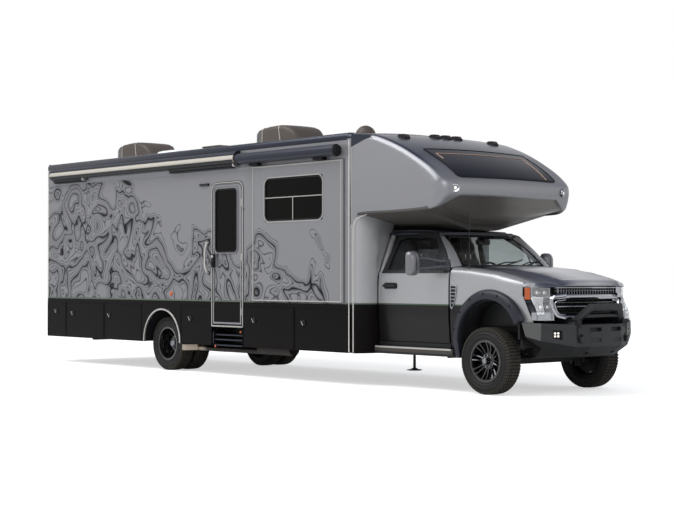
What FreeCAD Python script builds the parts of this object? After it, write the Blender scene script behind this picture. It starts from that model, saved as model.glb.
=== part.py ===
import FreeCAD, Part
import os
import re

import Sketcher

# A large motorhome on a medium-duty truck chassis, in millimetres.
# +X is forward, +Y is the driver's (left) side, +Z is up, and the ground is z = 0.
# The origin is on the ground at the middle of the vehicle's length and width.

doc = FreeCAD.newDocument("Motorhome")

SIZES = (
    # alias, value
    ("overall_length", 11460),
    ("front_overhang", 1120),
    ("rear_reach", 100),
    ("wheelbase", 6730),
    ("front_track", 1870),
    ("rear_track", 1824),
    ("dual_spacing", 310),
    ("tyre_radius", 420),
    ("tyre_width", 245),
    ("rim_radius", 256),
    ("rim_wall", 20),
    ("hub_radius", 110),
    ("spindle_radius", 45),
    ("rear_spindle_radius", 70),
    ("running_gap", 0.4),
    ("kingpin_offset", 135),
    ("kingpin_radius", 16),
    ("rail_spacing", 860),
    ("rail_width", 80),
    ("rail_bottom", 700),
    ("rail_top", 940),
    ("house_width", 2570),
    ("house_set_back", 2230),
    ("house_wall", 50),
    ("skirt_bottom", 440),
    ("panel_thickness", 40),
    ("panel_gap", 6),
    ("floor_level", 1100),
    ("floor_thickness", 60),
    ("eave_height", 3375),
    ("roof_edge", 55),
    ("roof_crown", 115),
    ("roof_flat", 900),
    ("rear_arch_radius", 490),
    ("rear_arch_height", 460),
    ("tyre_clearance", 40),
    ("door_width", 740),
    ("door_offset", 4645),
    ("door_bottom", 735),
    ("door_top", 2850),
    ("door_gap", 8),
    ("slide_front", 2405),
    ("slide_width", 1950),
    ("slide_bottom", 1130),
    ("slide_top", 3020),
    ("slide_depth", 620),
    ("slide_wall", 40),
    ("slide_gap", 8),
    ("slide_flange", 25),
    ("flange_thickness", 18),
    ("cab_width", 2000),
    ("cab_rear", 2040),
    ("cab_front", 665),
    ("cab_wall", 50),
    ("cab_side", 80),
    ("cab_door_gap", 8),
    ("door_set_back", 12),
    ("hinge_gap", 0.3),
    ("cab_sill", 560),
    ("cab_floor", 1000),
    ("belt_height", 1524),
    ("cab_roof", 2080),
    ("belt_shoulder", 40),
    ("side_lean", 260),
    ("screen_foot", 350),
    ("screen_head", 1095),
    ("pillar_lean", 90),
    ("cap_wall", 40),
    ("glass_inset", 8),
    ("glass_thickness", 10),
    ("wheel_arch_clearance", 85),
    ("wheel_arch_lift", 260),
    ("wheel_arch_shift", 35),
    ("flare_width", 125),
    ("flare_reach", 60),
    ("hood_width", 1680),
    ("hood_gap", 8),
    ("mirror_span", 2920),
    ("bumper_width", 2080),
    ("bumper_bottom", 480),
    ("bumper_top", 890),
    ("bumper_depth", 120),
    ("receiver_size", 76),
    ("receiver_socket", 51),
    ("receiver_pin_radius", 8),
    ("receiver_height", 383),
    ("jack_height", 200),
)

PLACES = (
    # name, expression
    ("front_axle", "overall_length / 2 - front_overhang"),
    ("rear_axle", "front_axle - wheelbase"),
    ("house_rear", "rear_reach - overall_length / 2"),
    ("house_front", "front_axle - house_set_back"),
    ("side_face", "house_width / 2"),
    ("inside_face", "side_face - house_wall"),
    ("wall_foot", "floor_level - floor_thickness"),
    ("wall_head", "eave_height - roof_edge"),
    ("roof_top", "eave_height + roof_crown"),
    ("cab_face", "cab_width / 2"),
    ("cab_inside", "cab_face - cab_side"),
    ("glasshouse_base", "cab_width - 2 * belt_shoulder"),
    ("glasshouse_top", "cab_width - 2 * side_lean"),
    ("cab_back", "front_axle - cab_rear"),
    ("firewall", "front_axle - cab_front"),
    ("front_tyre", "front_track / 2"),
    ("dual_outer", "rear_track / 2 + dual_spacing / 2"),
    ("dual_inner", "rear_track / 2 - dual_spacing / 2"),
    ("kingpin", "front_tyre - kingpin_offset"),
    ("rail_outside", "rail_spacing / 2 + rail_width / 2"),
    ("rail_inside", "rail_spacing / 2 - rail_width / 2"),
    ("door_front", "front_axle - door_offset"),
    ("door_rear", "door_front - door_width"),
    ("slide_nose", "front_axle - slide_front"),
    ("slide_tail", "slide_nose - slide_width"),
    ("arch_middle", "front_axle + wheel_arch_shift"),
    ("wheel_arch_radius", "tyre_radius + wheel_arch_clearance"),
    ("wheel_arch_height", "tyre_radius + wheel_arch_lift"),
    ("nose", "front_axle + front_overhang"),
)

sheet = doc.addObject("Spreadsheet::Sheet", "Sizes")
for row, (alias, value) in enumerate(SIZES, start=1):
    sheet.set(f"A{row}", alias)
    sheet.set(f"B{row}", str(value))
    sheet.setAlias(f"B{row}", alias)
doc.recompute()

places = doc.addObject("App::FeaturePython", "Places")
OWNER = {alias: "Sizes" for alias, value in SIZES}


def bound(text):
    """Write each bare name in an expression as Sizes.name or Places.name."""
    return re.sub(r"[a-z]+(_[a-z]+)*", lambda word: f"{OWNER[word[0]]}.{word[0]}", str(text))


for name, expression in PLACES:
    places.addProperty("App::PropertyFloat", name, "Places")
    places.setExpression(name, bound(expression))
    OWNER[name] = "Places"
doc.recompute()


def value_of(text):
    return float(places.evalExpression(bound(text)))


# ---------------------------------------------------------------- small helpers

ROTATIONS = {
    "X": FreeCAD.Rotation(FreeCAD.Vector(0, 1, 0), 90),
    "Y": FreeCAD.Rotation(FreeCAD.Vector(1, 0, 0), -90),
    "Z": FreeCAD.Rotation(),
}
SECTION_ROTATIONS = {
    "XY": FreeCAD.Rotation(),
    "XZ": FreeCAD.Rotation(FreeCAD.Vector(1, 0, 0), 90),
    "YZ": FreeCAD.Rotation(FreeCAD.Vector(1, 1, 1), 120),
}


def bind(thing, **expressions):
    for name, text in expressions.items():
        thing.setExpression(name.replace("__", "."), bound(text))
    return thing


def box(name, x0, x1, y0, y1, z0, z1):
    """A block between two corners, each side given by an expression."""
    block = doc.addObject("Part::Box", name)
    bind(block, Length=f"({x1}) - ({x0})", Width=f"({y1}) - ({y0})", Height=f"({z1}) - ({z0})")
    return bind(block, Placement__Base__x=x0, Placement__Base__y=y0, Placement__Base__z=z0)


def cylinder(name, radius, axis, low, high, x="0", y="0", z="0"):
    """A round bar along an axis, from low to high on it."""
    bar = doc.addObject("Part::Cylinder", name)
    bar.Placement.Rotation = ROTATIONS[axis]
    start = {"X": x, "Y": y, "Z": z, axis: low}
    bind(bar, Radius=radius, Height=f"({high}) - ({low})")
    return bind(bar, Placement__Base__x=start["X"], Placement__Base__y=start["Y"],
                Placement__Base__z=start["Z"])


def outline(sketch, points):
    """Straight sides through the points, each corner held by two bound dimensions."""
    corners = [FreeCAD.Vector(value_of(u), value_of(v), 0) for u, v in points]
    count = len(corners)
    sides = [Part.LineSegment(corners[i], corners[(i + 1) % count]) for i in range(count)]
    sketch.addGeometry(sides, False)
    rules = [Sketcher.Constraint("Coincident", i, 2, (i + 1) % count, 1) for i in range(count)]
    for i, corner in enumerate(corners):
        rules.append(Sketcher.Constraint("DistanceX", -1, 1, i, 1, corner.x))
        rules.append(Sketcher.Constraint("DistanceY", -1, 1, i, 1, corner.y))
    sketch.addConstraint(rules)
    for i, (u, v) in enumerate(points):
        sketch.setExpression(f"Constraints[{count + 2 * i}]", bound(u))
        sketch.setExpression(f"Constraints[{count + 2 * i + 1}]", bound(v))


def prism(name, plane, points, low, high):
    """A body padded from a sketch on an origin plane, from low to high across it."""
    body = doc.addObject("PartDesign::Body", name)
    sketch = body.newObject("Sketcher::SketchObject", name + "_sketch")
    origin_plane = next(o for o in body.Origin.OriginFeatures if o.Role == plane + "_Plane")
    sketch.AttachmentSupport = [(origin_plane, "")]
    sketch.MapMode = "FlatFace"
    outline(sketch, points)
    start = f"-({high})" if plane == "XZ" else low
    bind(sketch, AttachmentOffset__Base__z=start)
    pad = body.newObject("PartDesign::Pad", name + "_pad")
    pad.Profile = sketch
    bind(pad, Length=f"({high}) - ({low})")
    return body


def section(name, plane, at, points):
    """A free sketch across the vehicle at one station, for a loft."""
    sketch = doc.addObject("Sketcher::SketchObject", name)
    sketch.Placement.Rotation = SECTION_ROTATIONS[plane]
    outline(sketch, points)
    if plane == "YZ":
        return bind(sketch, Placement__Base__x=at)
    return bind(sketch, Placement__Base__z=at)


def loft(name, sections):
    shape = doc.addObject("Part::Loft", name)
    shape.Sections = sections
    shape.Solid = True
    shape.Ruled = True
    return shape


def turned(name, points, x, z):
    """A ring about a line along Y through (x, z): points are radius and y."""
    sketch = doc.addObject("Sketcher::SketchObject", name + "_sketch")
    outline(sketch, points)
    bind(sketch, Placement__Base__x=x, Placement__Base__z=z)
    ring = doc.addObject("Part::Revolution", name)
    ring.Source = sketch
    ring.Axis = (0, 1, 0)
    ring.Angle = 360
    ring.Solid = True
    return bind(ring, Base__x=x, Base__z=z)


def fuse(name, *pieces):
    joined = doc.addObject("Part::MultiFuse", name)
    joined.Shapes = list(pieces)
    joined.Refine = True
    return joined


def cut(name, base, *tools):
    for count, tool in enumerate(tools, start=1):
        result = doc.addObject("Part::Cut", name if count == len(tools) else f"{name}_cut_{count}")
        result.Base = base
        result.Tool = tool
        result.Refine = True
        base = result
    return base


def common(name, first, second):
    shared = doc.addObject("Part::Common", name)
    shared.Base = first
    shared.Tool = second
    shared.Refine = True
    return shared


def group(name, *pieces):
    """Like pieces that stand apart, kept as one sub-part."""
    apart = doc.addObject("Part::Compound", name)
    apart.Links = list(pieces)
    return apart


def other_side(name, piece):
    """The same piece mirrored to the other side of the vehicle."""
    twin = doc.addObject("Part::Mirroring", name)
    twin.Source = piece
    twin.Normal = (0, 1, 0)
    return twin


def both_sides(name, piece):
    return group(name, piece, other_side(name + "_twin", piece))


NODES = []


def node(name, shape):
    """Name a finished sub-part: its label names its file."""
    shape.Label = name
    NODES.append(shape)
    return shape


# ---------------------------------------------------------------- wheels and axles

def tyre_profile(middle):
    half = "tyre_width / 2"
    shoulders = (
        # radius, share of the half width
        ("rim_radius", 0.82), ("rim_radius + 20", 0.96), ("rim_radius + 75", 1.0),
        ("tyre_radius - 25", 0.92), ("tyre_radius - 5", 0.80), ("tyre_radius", 0.66),
    )
    outer = [(radius, f"{middle} + {half} * {share}") for radius, share in shoulders]
    inner = [(radius, f"{middle} - {half} * {share}") for radius, share in reversed(shoulders)]
    return outer + inner


def front_wheel():
    edge = "tyre_width / 2 - 6"
    bore = "spindle_radius + running_gap"
    inside = "rim_radius - rim_wall"
    profile = [
        ("rim_radius", f"front_tyre - ({edge})"), ("rim_radius", f"front_tyre + ({edge})"),
        (inside, f"front_tyre + ({edge})"), (inside, "front_tyre + 45"),
        ("hub_radius", "front_tyre + 70"), (bore, "front_tyre + 70"),
        (bore, "front_tyre - 60"), ("hub_radius", "front_tyre - 60"),
        ("hub_radius", "front_tyre + 45"), (inside, "front_tyre + 20"),
        (inside, f"front_tyre - ({edge})"),
    ]
    tyre = turned("left_front_tyre", tyre_profile("front_tyre"), "front_axle", "tyre_radius")
    rim = turned("left_front_rim", profile, "front_axle", "tyre_radius")
    for kind, piece in (("tyre", tyre), ("rim", rim)):
        node(f"left_front_{kind}", piece)
        node(f"right_front_{kind}", other_side(f"right_front_{kind}", piece))


def rear_wheels():
    edge = "tyre_width / 2 - 6"
    middle = "rear_track / 2"
    bore = "rear_spindle_radius + running_gap"
    inside = "rim_radius - rim_wall"
    profile = [
        ("rim_radius", f"dual_inner - ({edge})"), ("rim_radius", f"dual_outer + ({edge})"),
        (inside, f"dual_outer + ({edge})"), (inside, f"{middle} + 30"),
        (bore, f"{middle} + 30"), (bore, f"{middle} - 30"),
        (inside, f"{middle} - 30"), (inside, f"dual_inner - ({edge})"),
    ]
    rim = turned("left_rear_rims", profile, "rear_axle", "tyre_radius")
    outer = turned("left_outer_tyre", tyre_profile("dual_outer"), "rear_axle", "tyre_radius")
    inner = turned("left_inner_tyre", tyre_profile("dual_inner"), "rear_axle", "tyre_radius")
    tyres = group("left_rear_tyres", outer, inner)
    for kind, piece in (("tyres", tyres), ("rims", rim)):
        node(f"left_rear_{kind}", piece)
        node(f"right_rear_{kind}", other_side(f"right_rear_{kind}", piece))


def axles():
    axle = "tyre_radius"
    yoke = [box("yoke_back", "front_axle - 50", "front_axle + 50", "kingpin - 100",
                "kingpin - 60", f"{axle} - 125", f"{axle} + 125")]
    for side, low in (("upper", 95), ("lower", -125)):
        yoke.append(box(f"yoke_{side}", "front_axle - 50", "front_axle + 50", "kingpin - 60",
                        "kingpin + 38", f"{axle} + {low}", f"{axle} + {low} + 30"))
    yoke.append(cylinder("kingpin_bar", "kingpin_radius", "Z", f"{axle} - 125", f"{axle} + 125",
                         x="front_axle", y="kingpin"))
    end = fuse("yoke", *yoke)
    beam = cylinder("front_beam", 60, "Y", "100 - kingpin", "kingpin - 100",
                    x="front_axle", z=axle)
    node("front_axle_beam", fuse("front_axle_beam", beam, end, other_side("yoke_twin", end)))

    barrel = cylinder("knuckle_barrel", "spindle_radius + 5", "Z", f"{axle} - 94", f"{axle} + 94",
                      x="front_axle", y="kingpin")
    spindle = cylinder("knuckle_spindle", "spindle_radius", "Y", "kingpin", "front_tyre + 80",
                       x="front_axle", z=axle)
    hole = cylinder("knuckle_hole", "kingpin_radius + running_gap", "Z", f"{axle} - 150",
                    f"{axle} + 150", x="front_axle", y="kingpin")
    knuckle = cut("left_knuckle", fuse("knuckle_body", barrel, spindle), hole)
    node("left_knuckle", knuckle)
    node("right_knuckle", other_side("right_knuckle", knuckle))

    tube = cylinder("rear_tube", "rear_spindle_radius", "Y", "-rear_track / 2 - 75",
                    "rear_track / 2 + 75", x="rear_axle", z=axle)
    final_drive = box("final_drive", "rear_axle - 190", "rear_axle + 190", -170, 170,
                      f"{axle} - 160", f"{axle} + 160")
    node("rear_axle_housing", fuse("rear_axle_housing", tube, final_drive))


# ---------------------------------------------------------------- chassis

def leaf_spring(name, axle, seat, reach):
    """A plain leaf pack: its eyes meet the rail and its middle meets the axle."""
    points = [
        (f"{axle} - {reach}", "rail_bottom"), (f"{axle} - {reach}", "rail_bottom - 40"),
        (f"{axle} - 110", seat), (f"{axle} + 110", seat),
        (f"{axle} + {reach}", "rail_bottom - 40"), (f"{axle} + {reach}", "rail_bottom"),
        (f"{axle} + {reach} - 110", "rail_bottom"), (f"{axle} + 110", f"{seat} + 60"),
        (f"{axle} - 110", f"{seat} + 60"), (f"{axle} - {reach} + 110", "rail_bottom"),
    ]
    return prism(name, "XZ", points, "rail_inside + 5", "rail_outside - 5")


def frame_rails():
    rail = box("rail", "house_rear + house_wall + 10", "nose - bumper_depth", "rail_inside",
               "rail_outside", "rail_bottom", "rail_top")
    front = leaf_spring("front_spring", "front_axle", "tyre_radius + 60", 560)
    rear = leaf_spring("rear_spring", "rear_axle", "tyre_radius + rear_spindle_radius", 700)
    sides = [rail, front, rear]
    pieces = sides + [other_side(piece.Name + "_twin", piece) for piece in sides]
    for count in range(8):
        low = f"house_rear + 320 + {count} * (house_front - house_rear - 620) / 7"
        pieces.append(box(f"outrigger_{count}", low, f"{low} + 70", "45 - inside_face",
                          "inside_face - 45", "rail_top", "wall_foot"))
    for count, place in enumerate(("rear_axle - 900", "rear_axle + 900", "0", "front_axle - 1500")):
        pieces.append(box(f"crossmember_{count}", place, f"{place} + 80", "-rail_inside",
                          "rail_inside", "rail_bottom + 40", "rail_top - 40"))
    wells = [cylinder(f"rear_well_{count}", "tyre_radius + tyre_clearance", "Y",
                      f"{side} * rear_track / 2 - tyre_width - 40",
                      f"{side} * rear_track / 2 + tyre_width + 40", x="rear_axle", z="tyre_radius")
             for count, side in enumerate((1, -1))]
    node("frame_rails", cut("frame_rails", fuse("frame_blank", *pieces), *wells))


def running_gear():
    node("engine_block", box("engine_block", "front_axle - 520", "front_axle + 480",
                             "-rail_inside", "rail_inside", 640, 1290))
    jack = []
    for count, place in enumerate(("front_axle - 1810", "rear_axle - 1650")):
        foot = cylinder(f"jack_foot_{count}", 150, "Z", "jack_height", "jack_height + 12",
                        x=place, y="rail_outside + 50")
        ram = cylinder(f"jack_ram_{count}", 22, "Z", "jack_height + 12", "rail_bottom - 180",
                       x=place, y="rail_outside + 50")
        barrel = cylinder(f"jack_barrel_{count}", 48, "Z", "rail_bottom - 180", "rail_top - 40",
                          x=place, y="rail_outside + 50")
        arm = box(f"jack_arm_{count}", f"{place} - 60", f"{place} + 60", "rail_outside",
                  "rail_outside + 40", "rail_bottom + 20", "rail_top - 60")
        leg = fuse(f"jack_{count}", foot, ram, barrel, arm)
        jack += [leg, other_side(f"jack_twin_{count}", leg)]
    node("leveling_jacks", group("leveling_jacks", *jack))

    pipe_line = "-side_face + 235"
    pipe = cylinder("exhaust_run", 45, "X", "rear_axle + 700", "rear_axle + 2250",
                    y=pipe_line, z=380)
    muffler = cylinder("muffler", 95, "X", "rear_axle + 2250", "rear_axle + 3000",
                       y=pipe_line, z=430)
    tip_points = [("rear_axle + 700", f"{pipe_line} - 45"), ("rear_axle + 700", f"{pipe_line} + 45"),
                  ("rear_axle + 560", "-side_face + 130"), ("rear_axle + 530", "-side_face + 20"),
                  ("rear_axle + 600", "-side_face + 20")]
    tip = prism("exhaust_tip", "XY", tip_points, 340, 425)
    hangers = [cylinder(f"hanger_{count}", 8, "Z", 400, "wall_foot", x=place, y=pipe_line)
               for count, place in enumerate(("rear_axle + 800", "rear_axle + 2500"))]
    node("exhaust_pipe", fuse("exhaust_pipe", pipe, muffler, tip, *hangers))


def hitch():
    half = "receiver_size / 2"
    hole = "receiver_socket / 2"
    mouth = "house_rear - rear_reach + 10"
    tube = box("receiver_tube", mouth, "house_rear + 260", f"-{half}", half,
               f"receiver_height - {half}", f"receiver_height + {half}")
    bar = box("receiver_bar", "house_rear + 140", "house_rear + 220", "-rail_outside",
              "rail_outside", "receiver_height - 30", "receiver_height + 30")
    plates = [box(f"receiver_plate_{count}", "house_rear + 100", "house_rear + 240", low, high,
                  "receiver_height - 30", "rail_bottom")
              for count, (low, high) in enumerate((("rail_inside + 20", "rail_inside + 40"),
                                                   ("-rail_inside - 40", "-rail_inside - 20")))]
    socket = box("receiver_hole", "house_rear - 200", "house_rear + 130", f"-{hole}", hole,
                 f"receiver_height - {hole}", f"receiver_height + {hole}")
    pin = cylinder("receiver_pin_hole", "receiver_pin_radius", "Y", "-receiver_size",
                   "receiver_size", x=f"{mouth} + 60", z="receiver_height")
    node("hitch_receiver", cut("hitch_receiver", fuse("receiver_body", tube, bar, *plates),
                               socket, pin))


# ---------------------------------------------------------------- house

FIXED_WINDOWS = []

LEFT_WINDOWS = (
    # from the front axle: rear edge, front edge; sill, head
    (9250, 8450, 2050, 2600),
    (6250, 5350, 2050, 2600),
    (4300, 2950, 1850, 2600),
)


def house_shell():
    node("house_floor", box("house_floor", "house_rear + house_wall", "house_front",
                            "-inside_face", "inside_face", "wall_foot", "floor_level"))
    right = box("right_wall_blank", "house_rear", "house_front", "-side_face", "-inside_face",
                "wall_foot", "wall_head")
    doorway = box("doorway", "door_rear", "door_front", "-side_face - 10", "-inside_face + 10",
                  "door_bottom", "door_top")
    bay = box("slide_bay", "slide_tail - slide_gap", "slide_nose + slide_gap",
              "-side_face - 10", "-inside_face + 10", "floor_level", "slide_top + slide_gap")
    node("right_wall", cut("right_wall", right, doorway, bay))

    left = box("left_wall_blank", "house_rear", "house_front", "inside_face", "side_face",
               "wall_foot", "wall_head")
    holes, panes = [], []
    for count, (rear, front, sill, head) in enumerate(LEFT_WINDOWS):
        span = (f"front_axle - {rear}", f"front_axle - {front}")
        holes.append(box(f"left_hole_{count}", *span, "inside_face - 10", "side_face + 10",
                         sill, head))
        panes.append(box(f"left_pane_{count}", *span, "side_face - glass_inset - glass_thickness",
                         "side_face - glass_inset", sill, head))
    node("left_wall", cut("left_wall", left, *holes))
    FIXED_WINDOWS.extend(panes)

    tail = box("rear_wall", "house_rear", "house_rear + house_wall", "-inside_face",
               "inside_face", "skirt_bottom + 10", "wall_head")
    bulkhead = box("bulkhead_blank", "house_front - house_wall", "house_front",
                   "-inside_face", "inside_face", "floor_level", "wall_head")
    walkway = box("walkway", "house_front - house_wall - 10", "house_front + 10", -450, 450,
                  "floor_level - 1", "cab_roof - 80")
    bunk = box("bunk_opening", "house_front - house_wall - 10", "house_front + 10", "135 - inside_face",
               "inside_face - 135", 2380, 3240)
    node("end_walls", group("end_walls", tail, cut("front_bulkhead", bulkhead, walkway, bunk)))

    slope = "eave_height + roof_crown * 0.55"
    roof_points = [
        ("-side_face", "wall_head"), ("-side_face", "eave_height"), ("-side_face + 300", slope),
        ("-roof_flat / 2", "roof_top"), ("roof_flat / 2", "roof_top"),
        ("side_face - 300", slope), ("side_face", "eave_height"), ("side_face", "wall_head"),
    ]
    node("roof", prism("roof", "YZ", roof_points, "house_rear", "house_front"))


def skirts():
    """The fixed lower body: wheel-arch panels, and the posts that the doors close on."""
    arch = box("arch_blank", "rear_axle - 566", "rear_axle + 510",
               "side_face - panel_thickness", "side_face", "skirt_bottom", "wall_foot")
    hole = cylinder("arch_hole", "rear_arch_radius", "Y", "side_face - 100", "side_face + 100",
                    x="rear_axle", z="rear_arch_height")
    below = box("arch_below", "rear_axle - rear_arch_radius", "rear_axle + rear_arch_radius",
                "side_face - 100", "side_face + 100", 0, "rear_arch_height")
    left_arch = cut("left_arch", arch, hole, below)
    pieces = [left_arch, other_side("right_arch", left_arch)]
    posts = ("front_axle - 10160", "front_axle - 9655", "front_axle - 8445", "front_axle - 6190",
             "front_axle - 5460", "front_axle - 4600", "front_axle - 3468", "front_axle - 2330")
    for count, place in enumerate(posts):
        pieces.append(box(f"right_post_{count}", place, f"{place} + 44", "-side_face + 46",
                          "-side_face + 90", "skirt_bottom + 20", "wall_foot"))
    fixed = (
        # rear edge, front edge, from the front axle
        (10230, 9640), (6215, 4660),
    )
    for count, (rear, front) in enumerate(fixed):
        pieces.append(box(f"left_panel_{count}", f"front_axle - {rear}", f"front_axle - {front}",
                          "side_face - panel_thickness", "side_face", "skirt_bottom", "wall_foot"))
    for count, place in enumerate(("front_axle - 9630", "front_axle - 7360", "front_axle - 4650",
                                   "front_axle - 2330")):
        pieces.append(box(f"left_post_{count}", place, f"{place} + 44", "side_face - 90",
                          "side_face - 46", "skirt_bottom + 20", "wall_foot"))
    node("lower_body", group("lower_body", *pieces))


def entry_step():
    x0, x1 = "door_rear + 10", "door_front - 10"
    back, front = "-side_face + 330", "-side_face + 46"
    pieces = [
        box("step_side_rear", x0, f"{x0} + 12", front, back, 450, "wall_foot"),
        box("step_side_front", f"{x1} - 12", x1, front, back, 450, "wall_foot"),
        box("step_lower", x0, x1, "-side_face + 15", "-side_face + 240", 450, 480),
        box("step_upper", x0, x1, front, back, 590, 620),
    ]
    return fuse("entry_step", *pieces)


COMPARTMENTS = (
    # name, side (-1 right, 1 left), rear seam, front seam, from the front axle
    ("right_rear_corner_hatch", -1, 10240, 9633),
    ("right_rear_hatch", -1, 9633, 8423),
    ("right_mid_hatch", -1, 8423, 7299),
    ("right_step_hatch", -1, 6217, 5395),
    ("right_slide_hatch", -1, 4635, 3446),
    ("right_front_hatch", -1, 3446, 2302),
    ("left_rear_hatch", 1, 9633, 7306),
    ("left_front_hatch", 1, 4653, 2302),
)


def compartment_hatches():
    for name, side, rear, front in COMPARTMENTS:
        faces = ("-side_face", "-side_face + panel_thickness")
        if side > 0:
            faces = ("side_face - panel_thickness", "side_face")
        span = (f"front_axle - {rear} + panel_gap / 2", f"front_axle - {front} - panel_gap / 2")
        panel = box(f"{name}_panel", *span, *faces, "skirt_bottom", "wall_foot - panel_gap")
        barrel = cylinder(f"{name}_hinge", "panel_gap - hinge_gap", "X", *span,
                          y=f"{side} * side_face", z="wall_foot - panel_gap")
        node(name, fuse(name, panel, barrel))


def entry_door():
    leaf = box("door_leaf", "door_rear + door_gap", "door_front - door_gap", "-side_face",
               "-side_face + panel_thickness", "door_bottom + door_gap", "door_top - door_gap")
    span = ("door_rear + 75", "door_front - 120")
    hole = box("door_hole", *span, "-side_face - 10", "-inside_face", 1830, 2770)
    pane = box("door_pane", *span, "-side_face + glass_inset",
               "-side_face + glass_inset + glass_thickness", 1830, 2770)
    barrel = cylinder("door_hinge", "door_gap - hinge_gap", "Z", "door_bottom + door_gap",
                      "door_top - door_gap", x="door_front - door_gap", y="-side_face")
    node("entry_door", cut("entry_door", fuse("door_with_hinge", leaf, barrel), hole))
    node("entry_door_window", pane)


def slide_out():
    """A box open to the inside, with a flange round its face and two runners below it."""
    back = "-side_face + slide_depth"
    face = "-side_face - flange_thickness - 5"
    room = box("room_blank", "slide_tail", "slide_nose", face, back, "slide_bottom", "slide_top")
    flange = box("room_flange", "slide_tail - slide_flange - slide_gap",
                 "slide_nose + slide_flange + slide_gap", face, "-side_face - 5",
                 "floor_level + slide_gap", "slide_top + slide_flange + slide_gap")
    hollow = box("room_hollow", "slide_tail + slide_wall", "slide_nose - slide_wall",
                 "-side_face + slide_wall", f"{back} + 10", "slide_bottom + slide_wall",
                 "slide_top - slide_wall")
    span = ("slide_tail + 275", "slide_nose - 395")
    hole = box("room_hole", *span, f"{face} - 10", "-side_face + slide_wall + 10", 2250, 2865)
    pane = box("room_pane", *span, f"{face} + glass_inset",
               f"{face} + glass_inset + glass_thickness", 2250, 2865)
    runners = [box(f"runner_{count}", place, f"{place} + 60", "-inside_face + 10", back,
                   "floor_level + running_gap", "slide_bottom")
               for count, place in enumerate(("slide_tail + 250", "slide_nose - 310"))]
    node("slide_out_room", cut("slide_out_room", fuse("room_solid", room, flange, *runners),
                               hollow, hole))
    node("slide_out_window", pane)

    roller_line = "-side_face - 68"
    roller = cylinder("topper_roller", 55, "X", "slide_tail - 100", "slide_nose + 110",
                      y=roller_line, z=3160)
    arms = [box(f"topper_arm_{count}", place, f"{place} + 40", face, "-side_face - 5",
                "slide_top + slide_flange + slide_gap", 3160)
            for count, place in enumerate(("slide_tail + 30", "slide_nose - 70"))]
    node("slide_out_awning", fuse("slide_out_awning", roller, *arms))


def roof_fittings():
    profile = (
        # from the rear of the unit, height above the roof
        (0, 0), (0, 230), (60, 285), (560, 290), (820, 200), (960, 60), (960, 0),
    )
    units = []
    for count, place in enumerate((9520, 5560)):
        points = [(f"front_axle - {place} + {along}", f"roof_top + {up}") for along, up in profile]
        units.append(prism(f"air_conditioner_{count}", "XZ", points, -345, 345))
    node("air_conditioners", group("air_conditioners", *units))

    skylight = box("skylight", "front_axle - 8260", "front_axle - 7660", -400, 0,
                   "roof_top", "roof_top + 95")
    vent = box("fan_vent", "front_axle - 6900", "front_axle - 6450", -400, 0,
               "roof_top", "roof_top + 75")
    dome = doc.addObject("Part::Sphere", "antenna_ball")
    bind(dome, Radius=150, Placement__Base__x="front_axle - 3080", Placement__Base__y=-270,
         Placement__Base__z="roof_top - 20")
    above = box("antenna_space", "front_axle - 3300", "front_axle - 2800", -450, -100,
                "roof_top", "roof_top + 300")
    node("roof_fittings", group("roof_fittings", skylight, vent,
                                common("antenna_dome", dome, above)))

    points = [("-side_face", 3075), ("-side_face", 3300), ("-side_face - 70", 3305),
              ("-side_face - 120", 3260), ("-side_face - 125", 3150), ("-side_face - 85", 3080)]
    node("patio_awning", prism("patio_awning", "YZ", points, "front_axle - 9790",
                               "front_axle - 4530"))


LAMPS = []


def rear_end():
    node("rear_bumper", box("rear_bumper", "house_rear - 60", "house_rear", "-inside_face + 60",
                            "inside_face - 60", 480, 620))
    lamps = []
    for side, y in (("left", "inside_face - 150"), ("right", "-inside_face + 40")):
        lamps.append(box(f"{side}_tail_lamp", "house_rear - 22", "house_rear", y, f"{y} + 110",
                         1160, 1520))
    LAMPS.extend(lamps)
    stile = []
    for side, y in (("inner", "side_face - 560"), ("outer", "side_face - 230")):
        stile.append(cylinder(f"ladder_{side}", 14, "Z", 1150, "wall_head - 10",
                              x="house_rear - 86", y=y))
        stile.append(cylinder(f"ladder_foot_{side}", 10, "X", "house_rear - 86", "house_rear",
                              y=y, z=1200))
        stile.append(cylinder(f"ladder_head_{side}", 14, "X", "house_rear - 86", "house_rear",
                              y=y, z="wall_head - 24"))
    for count in range(7):
        stile.append(cylinder(f"ladder_rung_{count}", 12, "Y", "side_face - 560",
                              "side_face - 230", x="house_rear - 86", z=f"1260 + 300 * {count}"))
    node("rear_ladder", fuse("rear_ladder", *stile))


# ---------------------------------------------------------------- front cap over the cab

CAP_SECTIONS = (
    # behind the front axle, half width, top at the side, top at the middle,
    # bottom at the side, bottom at the middle, half width of the flat bottom
    (1800, 1285, 3350, 3465, 2290, 2080, 900),
    (1290, 1280, 3185, 3290, 2300, 2150, 870),
    (720, 1262, 2885, 2965, 2318, 2310, 850),
    (530, 1205, 2745, 2800, 2370, 2362, 900),
    (450, 1090, 2675, 2700, 2480, 2470, 950),
)


def cap_section(name, x, inset, numbers):
    half, top_side, top_middle, bottom_side, bottom_middle, flat = numbers
    side = f"{half} - {inset}"
    side_top = f"{top_side} - {inset}"
    middle_top = f"{top_middle} - {inset}"
    side_bottom = f"{bottom_side} + {inset}"
    middle_bottom = f"{bottom_middle} + {inset}"
    flat_bottom = f"{flat} - {inset}"
    points = [
        (f"-({side})", side_bottom), (f"-({side})", f"{side_top} - 70"),
        (f"90 - ({side})", side_top), ("-roof_flat / 2", middle_top),
        ("roof_flat / 2", middle_top), (f"({side}) - 90", side_top), (side, f"{side_top} - 70"),
        (side, side_bottom), (flat_bottom, middle_bottom), (f"-({flat_bottom})", middle_bottom),
    ]
    return section(name, "YZ", x, points)


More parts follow.
